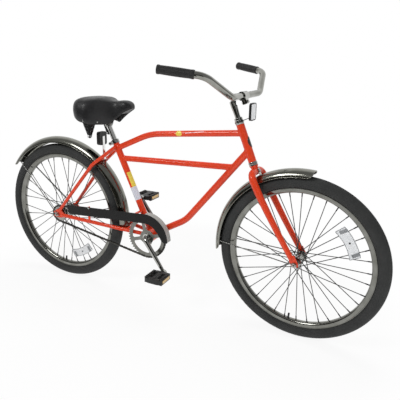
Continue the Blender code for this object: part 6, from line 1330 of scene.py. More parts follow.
def build_crank():
    """One-piece crank with its eyes, bearing cones, boss and drive pin."""
    body = crank_arms()
    ring_face = CHAIN_LINE + RING_THICKNESS / 2.0
    cone_ends = {-1.0: CHAIN_LINE - RING_THICKNESS / 2.0 - GAP, 1.0: SHELL_WIDTH / 2.0 + 0.0055}
    parts = []
    holes = []
    for side, _ in SIDES:
        eye = crank_point(-side * CRANK_LENGTH, side * EYE_OFFSET)
        parts.append(cross_rod("eye", eye, -EYE_THICKNESS / 2.0, EYE_THICKNESS / 2.0, EYE_RADIUS, 40))
        parts.append(cross_rod("cone", CRANK_AXIS, side * (SHELL_WIDTH / 2.0 - 0.006), side * cone_ends[side],
                               CONE_RADIUS, 40))
        holes.append(cross_rod("hole", eye, -EYE_THICKNESS, EYE_THICKNESS, PEDAL_SPINDLE_RADIUS + GAP, 20))
    boss_start = -ring_face - GAP
    parts.append(cross_rod("boss", CRANK_AXIS, boss_start, boss_start - BOSS_HEIGHT, BOSS_RADIUS, 40))
    parts.append(cross_rod("pin", crank_point(PIN_REACH, 0.0), -ARM_OFFSET - 0.002,
                           RING_THICKNESS / 2.0 - CHAIN_LINE, PIN_RADIUS, 16))
    union(body, *parts)
    cut(body, *holes)
    return body


def tangent_angles():
    """Angles of the chain's upper and lower tangents on both sprockets, and the middle one."""
    line = REAR_AXLE - CRANK_AXIS
    middle = atan2(line.z, line.x)
    spread = acos((RING_RADIUS - COG_RADIUS) / line.length)
    return middle - spread, middle + spread, middle


def roller_places():
    """Roller centres in the side view: round the ring, along, round the cog and back."""
    upper, lower, middle = tangent_angles()
    ring_pitch = TAU / RING_TEETH
    cog_pitch = TAU / COG_TEETH
    first = ceil((lower - TAU - CRANK_AT_REST) / ring_pitch)
    last = floor((upper - CRANK_AT_REST) / ring_pitch)
    ring = [about(CRANK_AXIS, RING_RADIUS, CRANK_AT_REST + k * ring_pitch) for k in range(first, last + 1)]
    half = int(floor((lower - upper) / 2.0 / cog_pitch))
    cog = [about(REAR_AXLE, COG_RADIUS, middle + k * cog_pitch) for k in range(-half, half + 1)]
    places = list(ring)
    for start, end, following in ((ring[-1], cog[0], cog), (cog[-1], ring[0], [])):
        count = max(1, int(round((end - start).length / CHAIN_PITCH)))
        places += [start.lerp(end, k / count) for k in range(1, count)]
        places += following
    return places


def tooth_outline(teeth, radius, start=0.0):
    """Sprocket outline: round roller seats between blunt teeth."""
    pitch = TAU / teeth
    tip = radius + TOOTH_TIP * 0.93
    pts = []
    for k in range(teeth):
        a = start + k * pitch
        for j in range(5):
            b = TAU * (0.30 + 0.40 * j / 4.0)
            x = radius + TOOTH_SEAT * cos(b) * 1.15
            y = -TOOTH_SEAT * sin(b)
            pts.append(at(hypot(x, y), a + atan2(y, x)))
        pts += [at(tip, a + pitch * 0.44), at(tip, a + pitch * 0.56)]
    return pts


def ring_window(mid):
    """Outline of one of the chainring's openings, about its middle angle."""
    wide = TAU / 8.0 - asin(RING_ARM_HALF / WINDOW_OUTER)
    narrow = TAU / 8.0 - asin(RING_ARM_HALF / WINDOW_INNER)
    outline = arc_points(WINDOW_OUTER, mid - wide + 0.06, mid + wide - 0.06, 16)
    outline += [at(WINDOW_OUTER - 0.005, mid + wide), at(WINDOW_INNER + 0.006, mid + narrow * 1.12)]
    outline += arc_points(WINDOW_INNER, mid + narrow * 0.7, mid - narrow * 0.7, 6)
    return outline + [at(WINDOW_INNER + 0.006, mid - narrow * 1.12), at(WINDOW_OUTER - 0.005, mid - wide)]


def build_chainring():
    """Steel ring with four wide windows between its arms."""
    place = CRANK_AXIS - Y_AXIS * CHAIN_LINE
    ring = side_prism("chainring_fine", tooth_outline(RING_TEETH, RING_RADIUS), RING_THICKNESS, place,
                      RING_METAL)
    cutters = [cross_rod("hole", place, -HOLE_PAST, HOLE_PAST, CRANK_SPINDLE_RADIUS + GAP, FINE),
               cross_rod("hole", place + X_AXIS * PIN_REACH, -HOLE_PAST, HOLE_PAST, PIN_RADIUS + GAP, 16)]
    cutters += [side_prism("window", ring_window(WINDOW_START + k * TAU / 4.0), 0.02, place) for k in range(4)]
    cut(ring, *cutters)
    return softened(ring, 0.0004)


def build_sprocket():
    """Rear sprocket on its driver."""
    bore = AXLE_RADIUS_REAR + RUN_GAP
    inner = -HUB_END_RIGHT - RUN_GAP
    profile = [(bore, -DRIVER_END), (0.0145, -DRIVER_END), (0.0150, -DRIVER_END + 0.0005),
               (0.0170, -DRIVER_END + 0.002), (0.0190, inner), (bore, inner)]
    driver = turned("driver", profile, REAR_AXLE, Y_AXIS, 48, ZINC, ring=True)
    place = REAR_AXLE - Y_AXIS * CHAIN_LINE
    plate = side_prism("cog", tooth_outline(COG_TEETH, COG_RADIUS, tangent_angles()[2]), RING_THICKNESS,
                       place, ZINC)
    cut(plate, cross_rod("hole", place, -HOLE_PAST, HOLE_PAST, 0.0120, FINE))
    return softened(joined("rear_sprocket_fine", [driver, plate]), 0.0003)


def link_outline(start, end):
    """Side plate of a chain link, waisted in the middle, from one roller to the next."""
    length = (end - start).length
    along = (end - start).normalized()
    right = arc_points(LINK_HALF, -TAU * 0.25, TAU * 0.25, 6, (length, 0.0))
    left = arc_points(LINK_HALF, TAU * 0.25, TAU * 0.75, 6)
    flat = right + [(length / 2.0, LINK_WAIST)] + left + [(length / 2.0, -LINK_WAIST)]
    return [(start.x + along.x * a - along.z * b, start.z + along.z * a + along.x * b) for a, b in flat]


def add_slab(bm, outline, near, far):
    """Add a flat outline of (x, z) points, as thick as from one distance off the chain's line to another."""
    rows = [[bm.verts.new((x, y - CHAIN_LINE, z)) for x, z in outline] for y in (near, far)]
    bm.faces.new(rows[0])
    bm.faces.new(list(reversed(rows[1])))
    for k in range(len(outline)):
        n = (k + 1) % len(outline)
        bm.faces.new((rows[0][k], rows[1][k], rows[1][n], rows[0][n]))


def build_chain():
    """Roller chain link by link: inner and outer plates, rollers and pins."""
    places = roller_places()
    bm = bmesh.new()
    for i, start in enumerate(places):
        outline = link_outline(start, places[(i + 1) % len(places)])
        middle = CHAIN_OUTER - LINK_PLATE * (0.5 if i % 2 else 1.55)
        for y in (-middle, middle):
            add_slab(bm, outline, y - LINK_PLATE / 2.0, y + LINK_PLATE / 2.0)
        for radius, half, sides in ((CHAIN_ROLLER, CHAIN_OUTER - LINK_PLATE * 2.1, 10),
                                    (CHAIN_PIN, CHAIN_OUTER + 0.0001, 8)):
            add_slab(bm, [at(radius, TAU * k / sides, (start.x, start.z)) for k in range(sides)], -half, half)
    return new_object("chain_fine", bm, OILED, 30.0)


dress(softened(build_crank(), 0.0007), "crank")
dress(build_chainring(), "chainring")
dress(build_sprocket(), "rear_sprocket")
dress(build_chain(), "chain")


# Pedals

PEDAL_BARREL_RADIUS = 0.0105
PEDAL_BAR = 0.0150
PEDAL_FLAT_HALF = 0.0200
PEDAL_NEAR = EYE_OFFSET + EYE_THICKNESS / 2.0 + 0.0030
PEDAL_FAR = PEDAL_NEAR + PEDAL_WIDTH
PEDAL_MID = (PEDAL_NEAR + PEDAL_FAR) / 2.0
PEDAL_HALF_LENGTH = PEDAL_LENGTH / 2.0
PEDAL_HALF_WIDTH = PEDAL_WIDTH / 2.0
SLOT_MARGIN = 0.018
LENS_LENGTH = 0.058
LENS_HEIGHT = 0.0135
LENS_DEPTH = 0.0045
TREAD_TEETH = 7


def pedal_outline():
    """Rectangle with long slanted and rounded corners."""
    hl, hw = PEDAL_HALF_LENGTH, PEDAL_HALF_WIDTH
    outline = []
    for sx, sy in ((1, 1), (-1, 1), (-1, -1), (1, -1)):
        corner = [(sx * PEDAL_FLAT_HALF, sy * hw), (sx * (hl - 0.007), sy * (hw - 0.0045)),
                  (sx * (hl - 0.002), sy * (hw - 0.0075)), (sx * hl, sy * (hw - 0.012))]
        outline += list(reversed(corner)) if sx * sy > 0 else corner
    return outline


def pedal_cutters(middle):
    """Four slots through the block and a pocket for the lens at each end."""
    half_slot = (PEDAL_HALF_WIDTH - SLOT_MARGIN) / 2.0
    slot = round_box(half_slot - 0.0012,
                               (PEDAL_HALF_LENGTH - PEDAL_BAR - PEDAL_BARREL_RADIUS) / 2.0 - 0.0015, 0.003, 3)
    pocket = round_box(LENS_LENGTH / 2.0 + GAP, LENS_HEIGHT / 2.0 + GAP, 0.001, 1)
    ahead = (PEDAL_HALF_LENGTH - PEDAL_BAR + PEDAL_BARREL_RADIUS) / 2.0
    cutters = []
    for sx in (-1.0, 1.0):
        spots = [middle + Vector((sx * ahead, row * half_slot, 0.0)) for row in (-1.0, 1.0)]
        cutters += [prism("slot", slot, 0.05, spot, Z_AXIS, X_AXIS) for spot in spots]
        cutters.append(prism("pocket", pocket, 2.0 * (0.004 + LENS_DEPTH),
                             middle + X_AXIS * (sx * (PEDAL_HALF_LENGTH + 0.004)), X_AXIS, Z_AXIS))
    return cutters


def pedal_treads(middle):
    """Rows of teeth on both faces of both bars."""
    tooth = round_box(PEDAL_BAR / 2.0 - 0.0015, 0.0032, 0.001, 1)
    spacing = (PEDAL_WIDTH - 0.020) / (TREAD_TEETH - 1)
    ahead = PEDAL_HALF_LENGTH - PEDAL_BAR / 2.0
    spots = [Vector((sx * ahead, (k - (TREAD_TEETH - 1) / 2.0) * spacing, up * PEDAL_HEIGHT * 0.37))
             for sx in (-1.0, 1.0) for up in (-1.0, 1.0) for k in range(TREAD_TEETH)]
    return [prism("tread", tooth, PEDAL_HEIGHT * 0.11, middle + spot, Z_AXIS, Y_AXIS, PLASTIC)
            for spot in spots]


def build_pedal(side, label):
    """Moulded pedal block with its barrel, treads and two lenses."""
    axis = CRANKED @ crank_point(-side * CRANK_LENGTH, 0.0)
    middle = axis + Y_AXIS * (side * PEDAL_MID)
    name = "pedal_" + label
    body = prism(name + "_fine", pedal_outline(), PEDAL_HEIGHT * 0.66, middle, Z_AXIS, Y_AXIS, PLASTIC)
    union(body, cross_rod("barrel", axis, side * (PEDAL_NEAR + 0.0005), side * (PEDAL_FAR - 0.0005),
                          PEDAL_BARREL_RADIUS, 32))
    cutters = pedal_cutters(middle)
    cutters.append(cross_rod("bore", axis, side * (PEDAL_NEAR - HOLE_PAST), side * (PEDAL_FAR - 0.012),
                             PEDAL_SPINDLE_RADIUS + GAP, 24))
    cut(body, *cutters)
    dress(softened(joined(body.name, [body] + pedal_treads(middle)), 0.0005), name)
    depth = LENS_DEPTH - GAP
    reach = PEDAL_HALF_LENGTH - LENS_DEPTH + GAP + depth / 2.0 + 0.0005
    for sx, end in ((1.0, "front"), (-1.0, "rear")):
        node = "pedal_reflector_%s_%s" % (label, end)
        glass = prism(node + "_fine", round_box(LENS_LENGTH / 2.0, LENS_HEIGHT / 2.0, 0.001, 2), depth,
                      middle + X_AXIS * (sx * reach), X_AXIS, Z_AXIS, AMBER)
        dress(softened(glass, 0.0006, 3), node)


for side, label in SIDES:
    build_pedal(side, label)


# Stem, handlebar and grips

CLAMP_UP = LOCKNUT_TOP + STEM_RISE + 0.0145
CLAMP_RADIUS = BAR_RADIUS + 0.0042
CLAMP_WIDTH = 0.038
CLAMP_SLIT = 0.0030
BAR_CENTRE = head(CLAMP_UP, STEM_REACH)
STEM_TOP = CLAMP_UP - 0.004
STEM_BOLT_RADIUS = 0.0040
STEM_HEAD_RADIUS = 0.0130
BINDER_RADIUS = 0.0030
BINDER_DROP = 0.0240
EAR_HALF = 0.0095
BAR_HUB = CLAMP_WIDTH / 2.0 + 0.010
BAR_BENDS = [0.060, 0.055, 0.0, 0.0, 0.055, 0.060]
GRIP_RINGS = 26
GRIP_RINGED = 0.096
GRIP_GROOVE = 0.035
GRIP_CAP = 0.0035
GRIP_DRAWN = 0.1195


def build_stem():
    """Quill stem with a forward clamp split at its underside."""
    low = HEAD_TUBE_TOP - QUILL_DEPTH
    profile = [(0.0, low), (QUILL_RADIUS, low), (QUILL_RADIUS, LOCKNUT_TOP + 0.012),
               (STEM_HEAD_RADIUS, STEM_TOP - 0.018), (STEM_HEAD_RADIUS, STEM_TOP), (0.0, STEM_TOP)]
    stem = turned("stem_fine", profile, head(0.0), HEAD_UP, 40, CHROME)
    drop = head(CLAMP_UP - BINDER_DROP, STEM_REACH)
    union(stem,
          tube("arm", [head(STEM_TOP - 0.0150, 0.002), head(CLAMP_UP - 0.003, STEM_REACH * 0.75)],
               [0.0105, 0.0125], FINE, flat=1.12),
          cross_rod("barrel", BAR_CENTRE, -CLAMP_WIDTH / 2.0, CLAMP_WIDTH / 2.0, CLAMP_RADIUS, 44),
          prism("ears", round_box(EAR_HALF, 0.0105, 0.003, 2), 0.020,
                head(CLAMP_UP - BINDER_DROP + 0.003, STEM_REACH), Y_AXIS, HEAD_UP))
    cut(stem,
        prism("slit", box_outline(CLAMP_SLIT / 2.0, -0.05, 0.0), 0.08, BAR_CENTRE, Y_AXIS, HEAD_UP),
        cross_rod("hole", BAR_CENTRE, -0.05, 0.05, BAR_RADIUS + GAP, 36),
        rod("hole", head(0.0), HEAD_UP, low + 0.01, STEM_TOP + CUT_PAST, STEM_BOLT_RADIUS + GAP, 24),
        tube("hole", [drop - HEAD_AHEAD * 0.03, drop + HEAD_AHEAD * 0.03], BINDER_RADIUS + GAP, 20))
    return stem


def bar_corners(side):
    """Foot, shoulder and end of the bar on one side, as (ahead, left, up) from its middle."""
    corners = ((0.012, 0.122, 0.004), (-0.027, 0.245, 0.078), (-0.170, 0.306, 0.097))
    return [BAR_CENTRE + Vector((ahead, side * out, up)) for ahead, out, up in corners]


def build_handlebar():
    """Plated bar, bent from grip to grip."""
    hub = [BAR_CENTRE + Y_AXIS * y for y in (-BAR_HUB, BAR_HUB)]
    path = bent_path(bar_corners(-1.0)[::-1] + hub + bar_corners(1.0), BAR_BENDS, 4.0)
    return tube("handlebar_fine", path, BAR_RADIUS, FINE, BAR_CHROME_SHADED, up=Z_AXIS)


def build_grip(side, node):
    """Ringed rubber grip, its steps given as (distance from the bar's end, share of the radius)."""
    _, shoulder, end = bar_corners(side)
    inward = (shoulder - end).normalized()
    steps = [(-GRIP_CAP - GAP, 0.70), (-GRIP_CAP, 0.88), (-0.0015, 1.04), (0.004, 1.06), (0.006, 1.0)]
    wide = GRIP_RINGED / GRIP_RINGS
    for k in range(GRIP_RINGS):
        t = 0.010 + wide * k
        reach = 1.0 + 0.045 * sin(pi * k / GRIP_RINGS)
        steps += [(t, reach - GRIP_GROOVE), (t + wide * 0.25, reach), (t + wide * 0.70, reach),
                  (t + wide * 0.95, reach - GRIP_GROOVE)]
    steps += [(0.108, 1.0), (0.1115, 1.04), (0.1150, 1.04), (0.1185, 1.01), (GRIP_DRAWN, 0.96),
              (GRIP_DRAWN, 0.785)]
    path = [end + inward * (t * GRIP_LENGTH / GRIP_DRAWN) for t, _ in steps]
    grip = tube(node + "_fine", path, [GRIP_RADIUS * f for _, f in steps], 36, GRIP, up=Z_AXIS)
    bore = [end - inward * GAP, end + inward * (GRIP_LENGTH + CUT_PAST)]
    cut(grip, tube("bore", bore, BAR_RADIUS + GAP, 36, up=Z_AXIS))
    dress(grip, node)


dress(softened(build_stem(), 0.0010, 3), "stem")
dress(build_handlebar(), "handlebar")
for side, label in SIDES:
    build_grip(side, "grip_" + label)


# Front reflector

FRONT_REFLECTOR = head(UPPER_CUP_TOP + 0.0192, 0.0645)
REFLECTOR_HALF_WIDTH = 0.0240
REFLECTOR_HALF_HEIGHT = 0.0320
REFLECTOR_CORNER = 0.010
REFLECTOR_DEPTH = 0.0090
LENS_RIM = 0.0030
LENS_THICKNESS = 0.0040


def reflector(node, half_w, half_h, depth, place, facing, mat):
    """Shallow housing, what is to be cut from its front face, and the lens in there."""
    outline = round_box(half_w, half_h, REFLECTOR_CORNER, 8)
    recess, glass = [round_box(half_w - rim, half_h - rim, REFLECTOR_CORNER - rim, 8)
                     for rim in (LENS_RIM, LENS_RIM + GAP)]
    front = place + facing * (depth / 2.0)
    return (prism(node + "_fine", outline, depth, place, facing, Z_AXIS, PLASTIC),
            prism("recess", recess, 2.0 * LENS_THICKNESS, front, facing, Z_AXIS),
            prism(node + "_lens_fine", glass, LENS_THICKNESS - 2.0 * GAP,
                  front - facing * (LENS_THICKNESS / 2.0), facing, Z_AXIS, mat))


def build_front_reflector():
    """Upright reflector on an arm from a washer under the lock nut."""
    body, recess, glass = reflector("front_reflector", REFLECTOR_HALF_WIDTH, REFLECTOR_HALF_HEIGHT,
                                    REFLECTOR_DEPTH, FRONT_REFLECTOR, X_AXIS, CLEAR)
    ring_mid = (UPPER_CUP_TOP + LOCKNUT_BOTTOM) / 2.0
    half = REFLECTOR_RING / 2.0
    back = (FRONT_REFLECTOR.x - REFLECTOR_DEPTH / 2.0 + 0.001 - head(ring_mid).x) / HEAD_AHEAD.x
    reach = back - STEERER_RADIUS - 0.002
    union(body,
          rod("washer", head(0.0), HEAD_UP, ring_mid - half, ring_mid + half, CUP_RADIUS - 0.001, HEAD_SIDES),
          prism("arm", box_outline(reach / 2.0, -0.007, 0.007), REFLECTOR_RING - 0.0002,
                head(ring_mid, back - reach / 2.0), HEAD_UP, Y_AXIS))
    cut(body, recess,
        rod("hole", head(0.0), HEAD_UP, ring_mid - HOLE_PAST, ring_mid + HOLE_PAST, STEERER_RADIUS + GAP,
            HEAD_SIDES))
    dress(softened(body, 0.0008), "front_reflector")
    dress(softened(glass, 0.0008, 3), "front_reflector_lens")


build_front_reflector()


# Fenders and their wire stays

FENDER_ARC = 36
TIP_SHARE = 0.50
TAB_AHEAD = BLADE_RADIUS + GAP + FENDER_WALL
STAY_FIT = 0.0008


def fender_angles(share=1.0):
    """Angles across the fender's arched section, from its right edge to its left."""
    return [FENDER_TIP_ANGLE * share * (2.0 * k / FENDER_ARC - 1.0) for k in range(FENDER_ARC + 1)]


def fender_section(radius, share):
    """Closed section of the shell: (radius, left) pairs, with rolled edges."""
    half = FENDER_WALL / 2.0
    outside, inside = [[(radius + off - FENDER_DEPTH * (1.0 - cos(a)), (FENDER_HALF_WIDTH + off) * sin(a))
                        for a in fender_angles(share)] for off in (half, -half)]
    roll = ((0.0001, 0.0007), (0.0008, 0.0012), (0.0016, 0.0011), (0.0023, 0.0005), (0.0026, -0.0002))
    left, right = [[(r - down, y + side * out) for down, out in roll]
                   for side, (r, y) in ((1.0, outside[-1]), (-1.0, outside[0]))]
    return outside + left + inside[::-1] + right[::-1]


def build_fender(name, axle, radius, ends):
    """Smooth crowned shell with rounded ends."""
    start, end = ends
    rings = []
    for angle in fender_stations(radius, ends):
        near = min(angle - start, end - angle) / (FENDER_ROUNDING / radius)
        share = 1.0
        if near < 0.999:
            share = TIP_SHARE + (1.0 - TIP_SHARE) * sqrt(max(0.0, 1.0 - (1.0 - near) ** 2))
        rings.append([about(axle, r, angle, y) for r, y in fender_section(radius, share)])
    return new_object(name, loft(rings), FENDER_CHROME_SHADED, 50.0)


def build_stay(name, axle, radius, angle, spacing, axle_radius):
    """One wire from eyelet to eyelet, crossing inside the fender."""
    plate = spacing / 2.0 + DROPOUT_THICKNESS + GAP + EYELET / 2.0
    crown = radius - FENDER_WALL / 2.0 - GAP - STAY_WIRE_RADIUS
    width = FENDER_HALF_WIDTH - FENDER_WALL / 2.0 - STAY_WIRE_RADIUS - STAY_FIT
    depth = FENDER_DEPTH - 0.0006
    arch = [about(axle, crown - depth * (1.0 - cos(a)), angle, width * sin(a)) for a in fender_angles()]
    left = [about(axle, 0.0350, angle, plate + 0.0012), about(axle, 0.0270, angle, plate + 0.0001),
            about(axle, 0.0085, angle, plate)]
    path = [mirrored(p, -1.0) for p in reversed(left)] + arch + left
    thin = EYELET / 2.0 / STAY_WIRE_RADIUS
    flats = [thin, thin] + [1.0] * (len(path) - 4) + [thin, thin]
    wire = tube(name, path, STAY_WIRE_RADIUS, 14, STAY_PLATE_SHADED, flat=flats)
    eyes = [plain_ring("eye", axle, Y_AXIS, face - EYELET / 2.0, face + EYELET / 2.0, axle_radius + GAP,
                       axle_radius + 0.0050, 28, CHROME) for face in (-plate, plate)]
    return joined(name, [wire] + eyes)


def fender_tab():
    """Tab that carries the front fender, with its bolt through the crown."""
    low = sqrt(FENDER_RADIUS_FRONT ** 2 - (TAB_AHEAD - FORK_OFFSET) ** 2) - 0.0004
    high = CROWN_CENTRE + 0.009
    outline = [(0.008, high), (0.005, high + 0.002), (-0.005, high + 0.002), (-0.008, high), (-0.008, low),
               (0.008, low)]
    face = TAB_AHEAD + FENDER_WALL * 0.5
    profile = [(0.0, 0.0050), (FENDER_TAB_HOLE, 0.0050), (FENDER_TAB_HOLE, face), (0.0058, face),
               (0.0058, face + 0.0024), (0.0050, face + 0.0036), (0.0030, face + 0.0042), (0.0, face + 0.0042)]
    return [prism("tab", outline, FENDER_WALL * 1.4, head(0.0, TAB_AHEAD), HEAD_AHEAD, HEAD_UP, CHROME),
            turned("bolt", profile, head(CROWN_CENTRE), HEAD_AHEAD, 32, ZINC)]


dress(build_fender("rear_fender_fine", REAR_AXLE, FENDER_RADIUS_REAR, REAR_FENDER_ENDS), "rear_fender")
front = build_fender("front_fender_fine", FRONT_AXLE, FENDER_RADIUS_FRONT, FRONT_FENDER_ENDS)
dress(joined(front.name, [front] + fender_tab()), "front_fender")
dress(build_stay("rear_fender_stay_fine", REAR_AXLE, FENDER_RADIUS_REAR, REAR_STAY_ANGLE, DROPOUT_SPACING_REAR,
                 AXLE_RADIUS_REAR), "rear_fender_stay")
dress(build_stay("front_fender_stay_fine", FRONT_AXLE, FENDER_RADIUS_FRONT, FRONT_STAY_ANGLE,
                 DROPOUT_SPACING_FRONT, AXLE_RADIUS_FRONT), "front_fender_stay")


# Chain guard

GUARD_RADIUS = 0.1115
GUARD_INNER = 0.0690
GUARD_TIP = 0.0985
GUARD_REAR = Vector((0.066, 0.0, TYRE_RADIUS + 0.0365))
GUARD_TOP_ANGLE = TAU / 4.0 + radians(3.4)
GUARD_BAND = 0.0450
GUARD_FLANGE = 0.0300
GUARD_END = radians(-1.0)
GUARD_PAINT_EDGE = 0.0002
GUARD_EDGE_GREY = (0.38, 0.38, 0.36)


def guard_outline():
    """Straight band over the upper chain run, hooked round the chainring's front."""
    centre = (CRANK_AXIS.x, CRANK_AXIS.z)
    outline = arc_points(GUARD_RADIUS, GUARD_TOP_ANGLE, GUARD_END, 56, centre)
    outline.append(at(GUARD_TIP, GUARD_END - 0.05, centre))
    for k in range(49):
        a = GUARD_END + 0.06 + (GUARD_TOP_ANGLE - GUARD_END - 0.06) * k / 48.0
        spread = max(0.0, 1.0 - (a - GUARD_END) / radians(42.0))
        outline.append(at(GUARD_INNER + 0.0155 * spread * spread, a, centre))
    x, z = GUARD_REAR.x, GUARD_REAR.z
    half = GUARD_BAND / 2.0
    return outline + [(x + 0.010, z - half), (x, z - half + 0.010), (x, z + half - 0.010),
                      (x + 0.010, z + half)]


def build_guard(mat):
    """Flat face with a turned-in flange round the hook."""
    centre = (CRANK_AXIS.x, CRANK_AXIS.z)
    middle = -Y_AXIS * (GUARD_FACE + GUARD_SHEET / 2.0)
    guard = side_prism("chain_guard_fine", guard_outline(), GUARD_SHEET, middle, mat)
    outer, inner = [arc_points(r, radians(91.0), GUARD_END + 0.02, 52, centre)
                    for r in (GUARD_RADIUS + 0.0003, GUARD_RADIUS - GUARD_SHEET)]
    union(guard, side_prism("flange", outer + inner[::-1], GUARD_FLANGE,
                            middle + Y_AXIS * (GUARD_FLANGE / 2.0)))
    cut(guard, guard_bolt_hole(18))
    return guard


def guard_paint():
    """Black enamel on the face, pale grey on the turned-in edge."""
    g = enamel("guard_enamel", (0.005, 0.005, 0.005), (0.008, 0.008, 0.008), 0.12, 0.10, 0.18)
    edge = g.within(g.along(Y_AXIS * (GUARD_PAINT_EDGE - GUARD_FACE), Y_AXIS), 0.0, GUARD_FLANGE)
    g.set(Base_Color=g.mix(edge, g.base, GUARD_EDGE_GREY))
    return g


dress(softened(build_guard(guard_paint()), 0.0003), "chain_guard")


# Spoke reflectors, clipped on the right-hand spokes

REFLECTOR_MID = RIM_BED_RADIUS - 0.0565
REFLECTOR_ARC_HALF = 0.065
REFLECTOR_BAND_HALF = 0.0195
REFLECTOR_PLATE = 0.0050
REFLECTOR_STEPS = 31


def outer_spoke(wheel, radius):
    """How far from the wheel's middle plane an outer spoke is at a radius."""
    a = wheel.flange - SPOKE_HOLE_INSET
    b = SPOKE_BED - GAP - 0.0008
    cross = a * b * cos(SPOKE_CROSSES * TAU / (SPOKES // 2))
    k2 = a * a + b * b - 2.0 * cross
    k1 = 2.0 * cross - 2.0 * a * a
    t = (-k1 + sqrt(k1 * k1 - 4.0 * k2 * (a * a - radius * radius))) / (2.0 * k2)
    start = wheel.offset + FLANGE_THICKNESS / 2.0 + SPOKE_RADIUS * 0.4
    return start + (SPOKE_RIM_OFFSET - start) * t


def reflector_edge(radius, start, end):
    """Arc about the wheel's middle, from one share of the plate's half to another."""
    half = REFLECTOR_ARC_HALF / REFLECTOR_MID
    return [(x - REFLECTOR_MID, y) for x, y in arc_points(radius, half * start, half * end, REFLECTOR_STEPS)]


def closed_bead(points, radius, mat):
    """Thin round bead along a closed line."""
    middle = sum(points, Vector()) / len(points)
    rings = []
    for k, p in enumerate(points):
        along = (points[(k + 1) % len(points)] - points[k - 1]).normalized()
        out = p - middle
        rings.append(bead_ring(p, along, (out - along * out.dot(along)).normalized(), radius))
    return new_object("rim", loft(rings, closed=True), mat, 80.0)


def build_spoke_reflector(wheel):
    """Curved lens plate leaning along the spokes, with its grey rim, pads and stud."""
    inner = REFLECTOR_MID - REFLECTOR_BAND_HALF
    outer = REFLECTOR_MID + REFLECTOR_BAND_HALF
    near = outer_spoke(wheel, inner)
    far = outer_spoke(wheel, outer)
    tilt = atan2(near - far, outer - inner)
    outline = reflector_edge(outer, 0.90, -0.90) + reflector_edge(inner, -1.0, 1.0)
    out = Vector((cos(wheel.reflector), 0.0, sin(wheel.reflector)))
    round_way = Vector((-out.z, 0.0, out.x))
    across = out * sin(tilt) - Y_AXIS * cos(tilt)
    middle = (near + far) / 2.0 + SPOKE_RADIUS + 0.0005 + REFLECTOR_PLATE / 2.0
    place = about(wheel.axle, REFLECTOR_MID, wheel.reflector, -middle)
    faces = slab(place, across, round_way, outline, REFLECTOR_PLATE)
    name = wheel.end + "_spoke_reflector_fine"
    plate = softened(new_object(name, loft(faces), CLEAR), 0.0008, 3)
    rim = closed_bead([p + across * 0.0002 - (p - place).normalized() * 0.0016 for p in faces[1]], 0.0011,
                      RIM_GREY)
    face = REFLECTOR_PLATE / 2.0
    stud = turned("stud", [(0.0, 0.0), (0.0034, 0.0), (0.0030, 0.0010), (0.0, 0.0014)],
                  place + across * (face + 0.0004), across, 24, PLASTIC)
    reach = REFLECTOR_ARC_HALF * 0.74
    pads = [prism("pad", round_box(0.0065, 0.0150, 0.002, 3), 0.0012,
                  place + round_way * y + across * (face + 0.0003), across, out, RIM_GREY)
            for y in (-reach, reach)]
    return joined(name, [plate, rim, stud] + pads)


for wheel in (FRONT, REAR):
    dress(build_spoke_reflector(wheel), wheel.end + "_spoke_reflector")


# Rear reflector and head badge

REAR_REFLECTOR = SEAT_BRIDGE_MID + Vector((-0.00503194, 0.0, 0.09309536))
REAR_REFLECTOR_DEPTH = 0.0180
POST_THICKNESS = 0.0026
POST_HALF_WIDTH = 0.0075
FOOT_HALF_LENGTH = 0.0090
BADGE_HALF_WIDTH = 0.0115
BADGE_HALF_HEIGHT = 0.0210


def rear_post():
    """Plated strip from the seat stays' bridge up the reflector's back."""
    out = SEAT_BRIDGE_OUT
    foot = SEAT_BRIDGE_MID + out * (BRIDGE_RADIUS + GAP + POST_THICKNESS / 2.0)
    top = REAR_REFLECTOR.z + 0.010
    half = (top - foot.z) / 2.0
    x = REAR_REFLECTOR.x + REAR_REFLECTOR_DEPTH / 2.0 + POST_THICKNESS / 2.0 - 0.0002
    post = prism("post", box_outline(POST_HALF_WIDTH, -half, half), POST_THICKNESS,
                 Vector((x, 0.0, (top + foot.z) / 2.0)), X_AXIS, Z_AXIS)
    union(post, prism("foot", round_box(POST_HALF_WIDTH, FOOT_HALF_LENGTH, 0.003, 5), POST_THICKNESS, foot,
                      out, (-out.z, 0.0, out.x)))
    return joined("post", [post], POST_CHROME_LIT)


def build_rear_reflector():
    """Moulded housing with its post, and the red lens in it."""
    body, recess, glass = reflector("rear_reflector", REFLECTOR_HALF_WIDTH + 0.001,
                                    REFLECTOR_HALF_HEIGHT - 0.0025, REAR_REFLECTOR_DEPTH, REAR_REFLECTOR,
                                    -X_AXIS, RED_LENS)
    cut(body, recess)
    dress(softened(joined(body.name, [body, rear_post()]), 0.0006), "rear_reflector")
    dress(softened(glass, 0.0008, 3), "rear_reflector_lens")


def build_badge():
    """Bare oval plate, bent round the head tube."""
    mid = HEAD_TUBE_BOTTOM + HEAD_TUBE_LENGTH * 0.50
    inside = HEAD_TUBE_RADIUS + GAP
    shell = plain_ring("head_badge_fine", head(0.0), HEAD_UP, mid - 0.03, mid + 0.03, inside,
                       inside + 0.0012, 96, BADGE)
    oval = [(BADGE_HALF_WIDTH * cos(TAU * k / 48.0), BADGE_HALF_HEIGHT * sin(TAU * k / 48.0))
            for k in range(48)]
    boolean(shell, prism("oval", oval, 0.030, head(mid, 0.020), HEAD_AHEAD, HEAD_UP), "INTERSECT")
    dress(softened(shell, 0.0003), "head_badge")


build_rear_reflector()
build_badge()


# Saddle

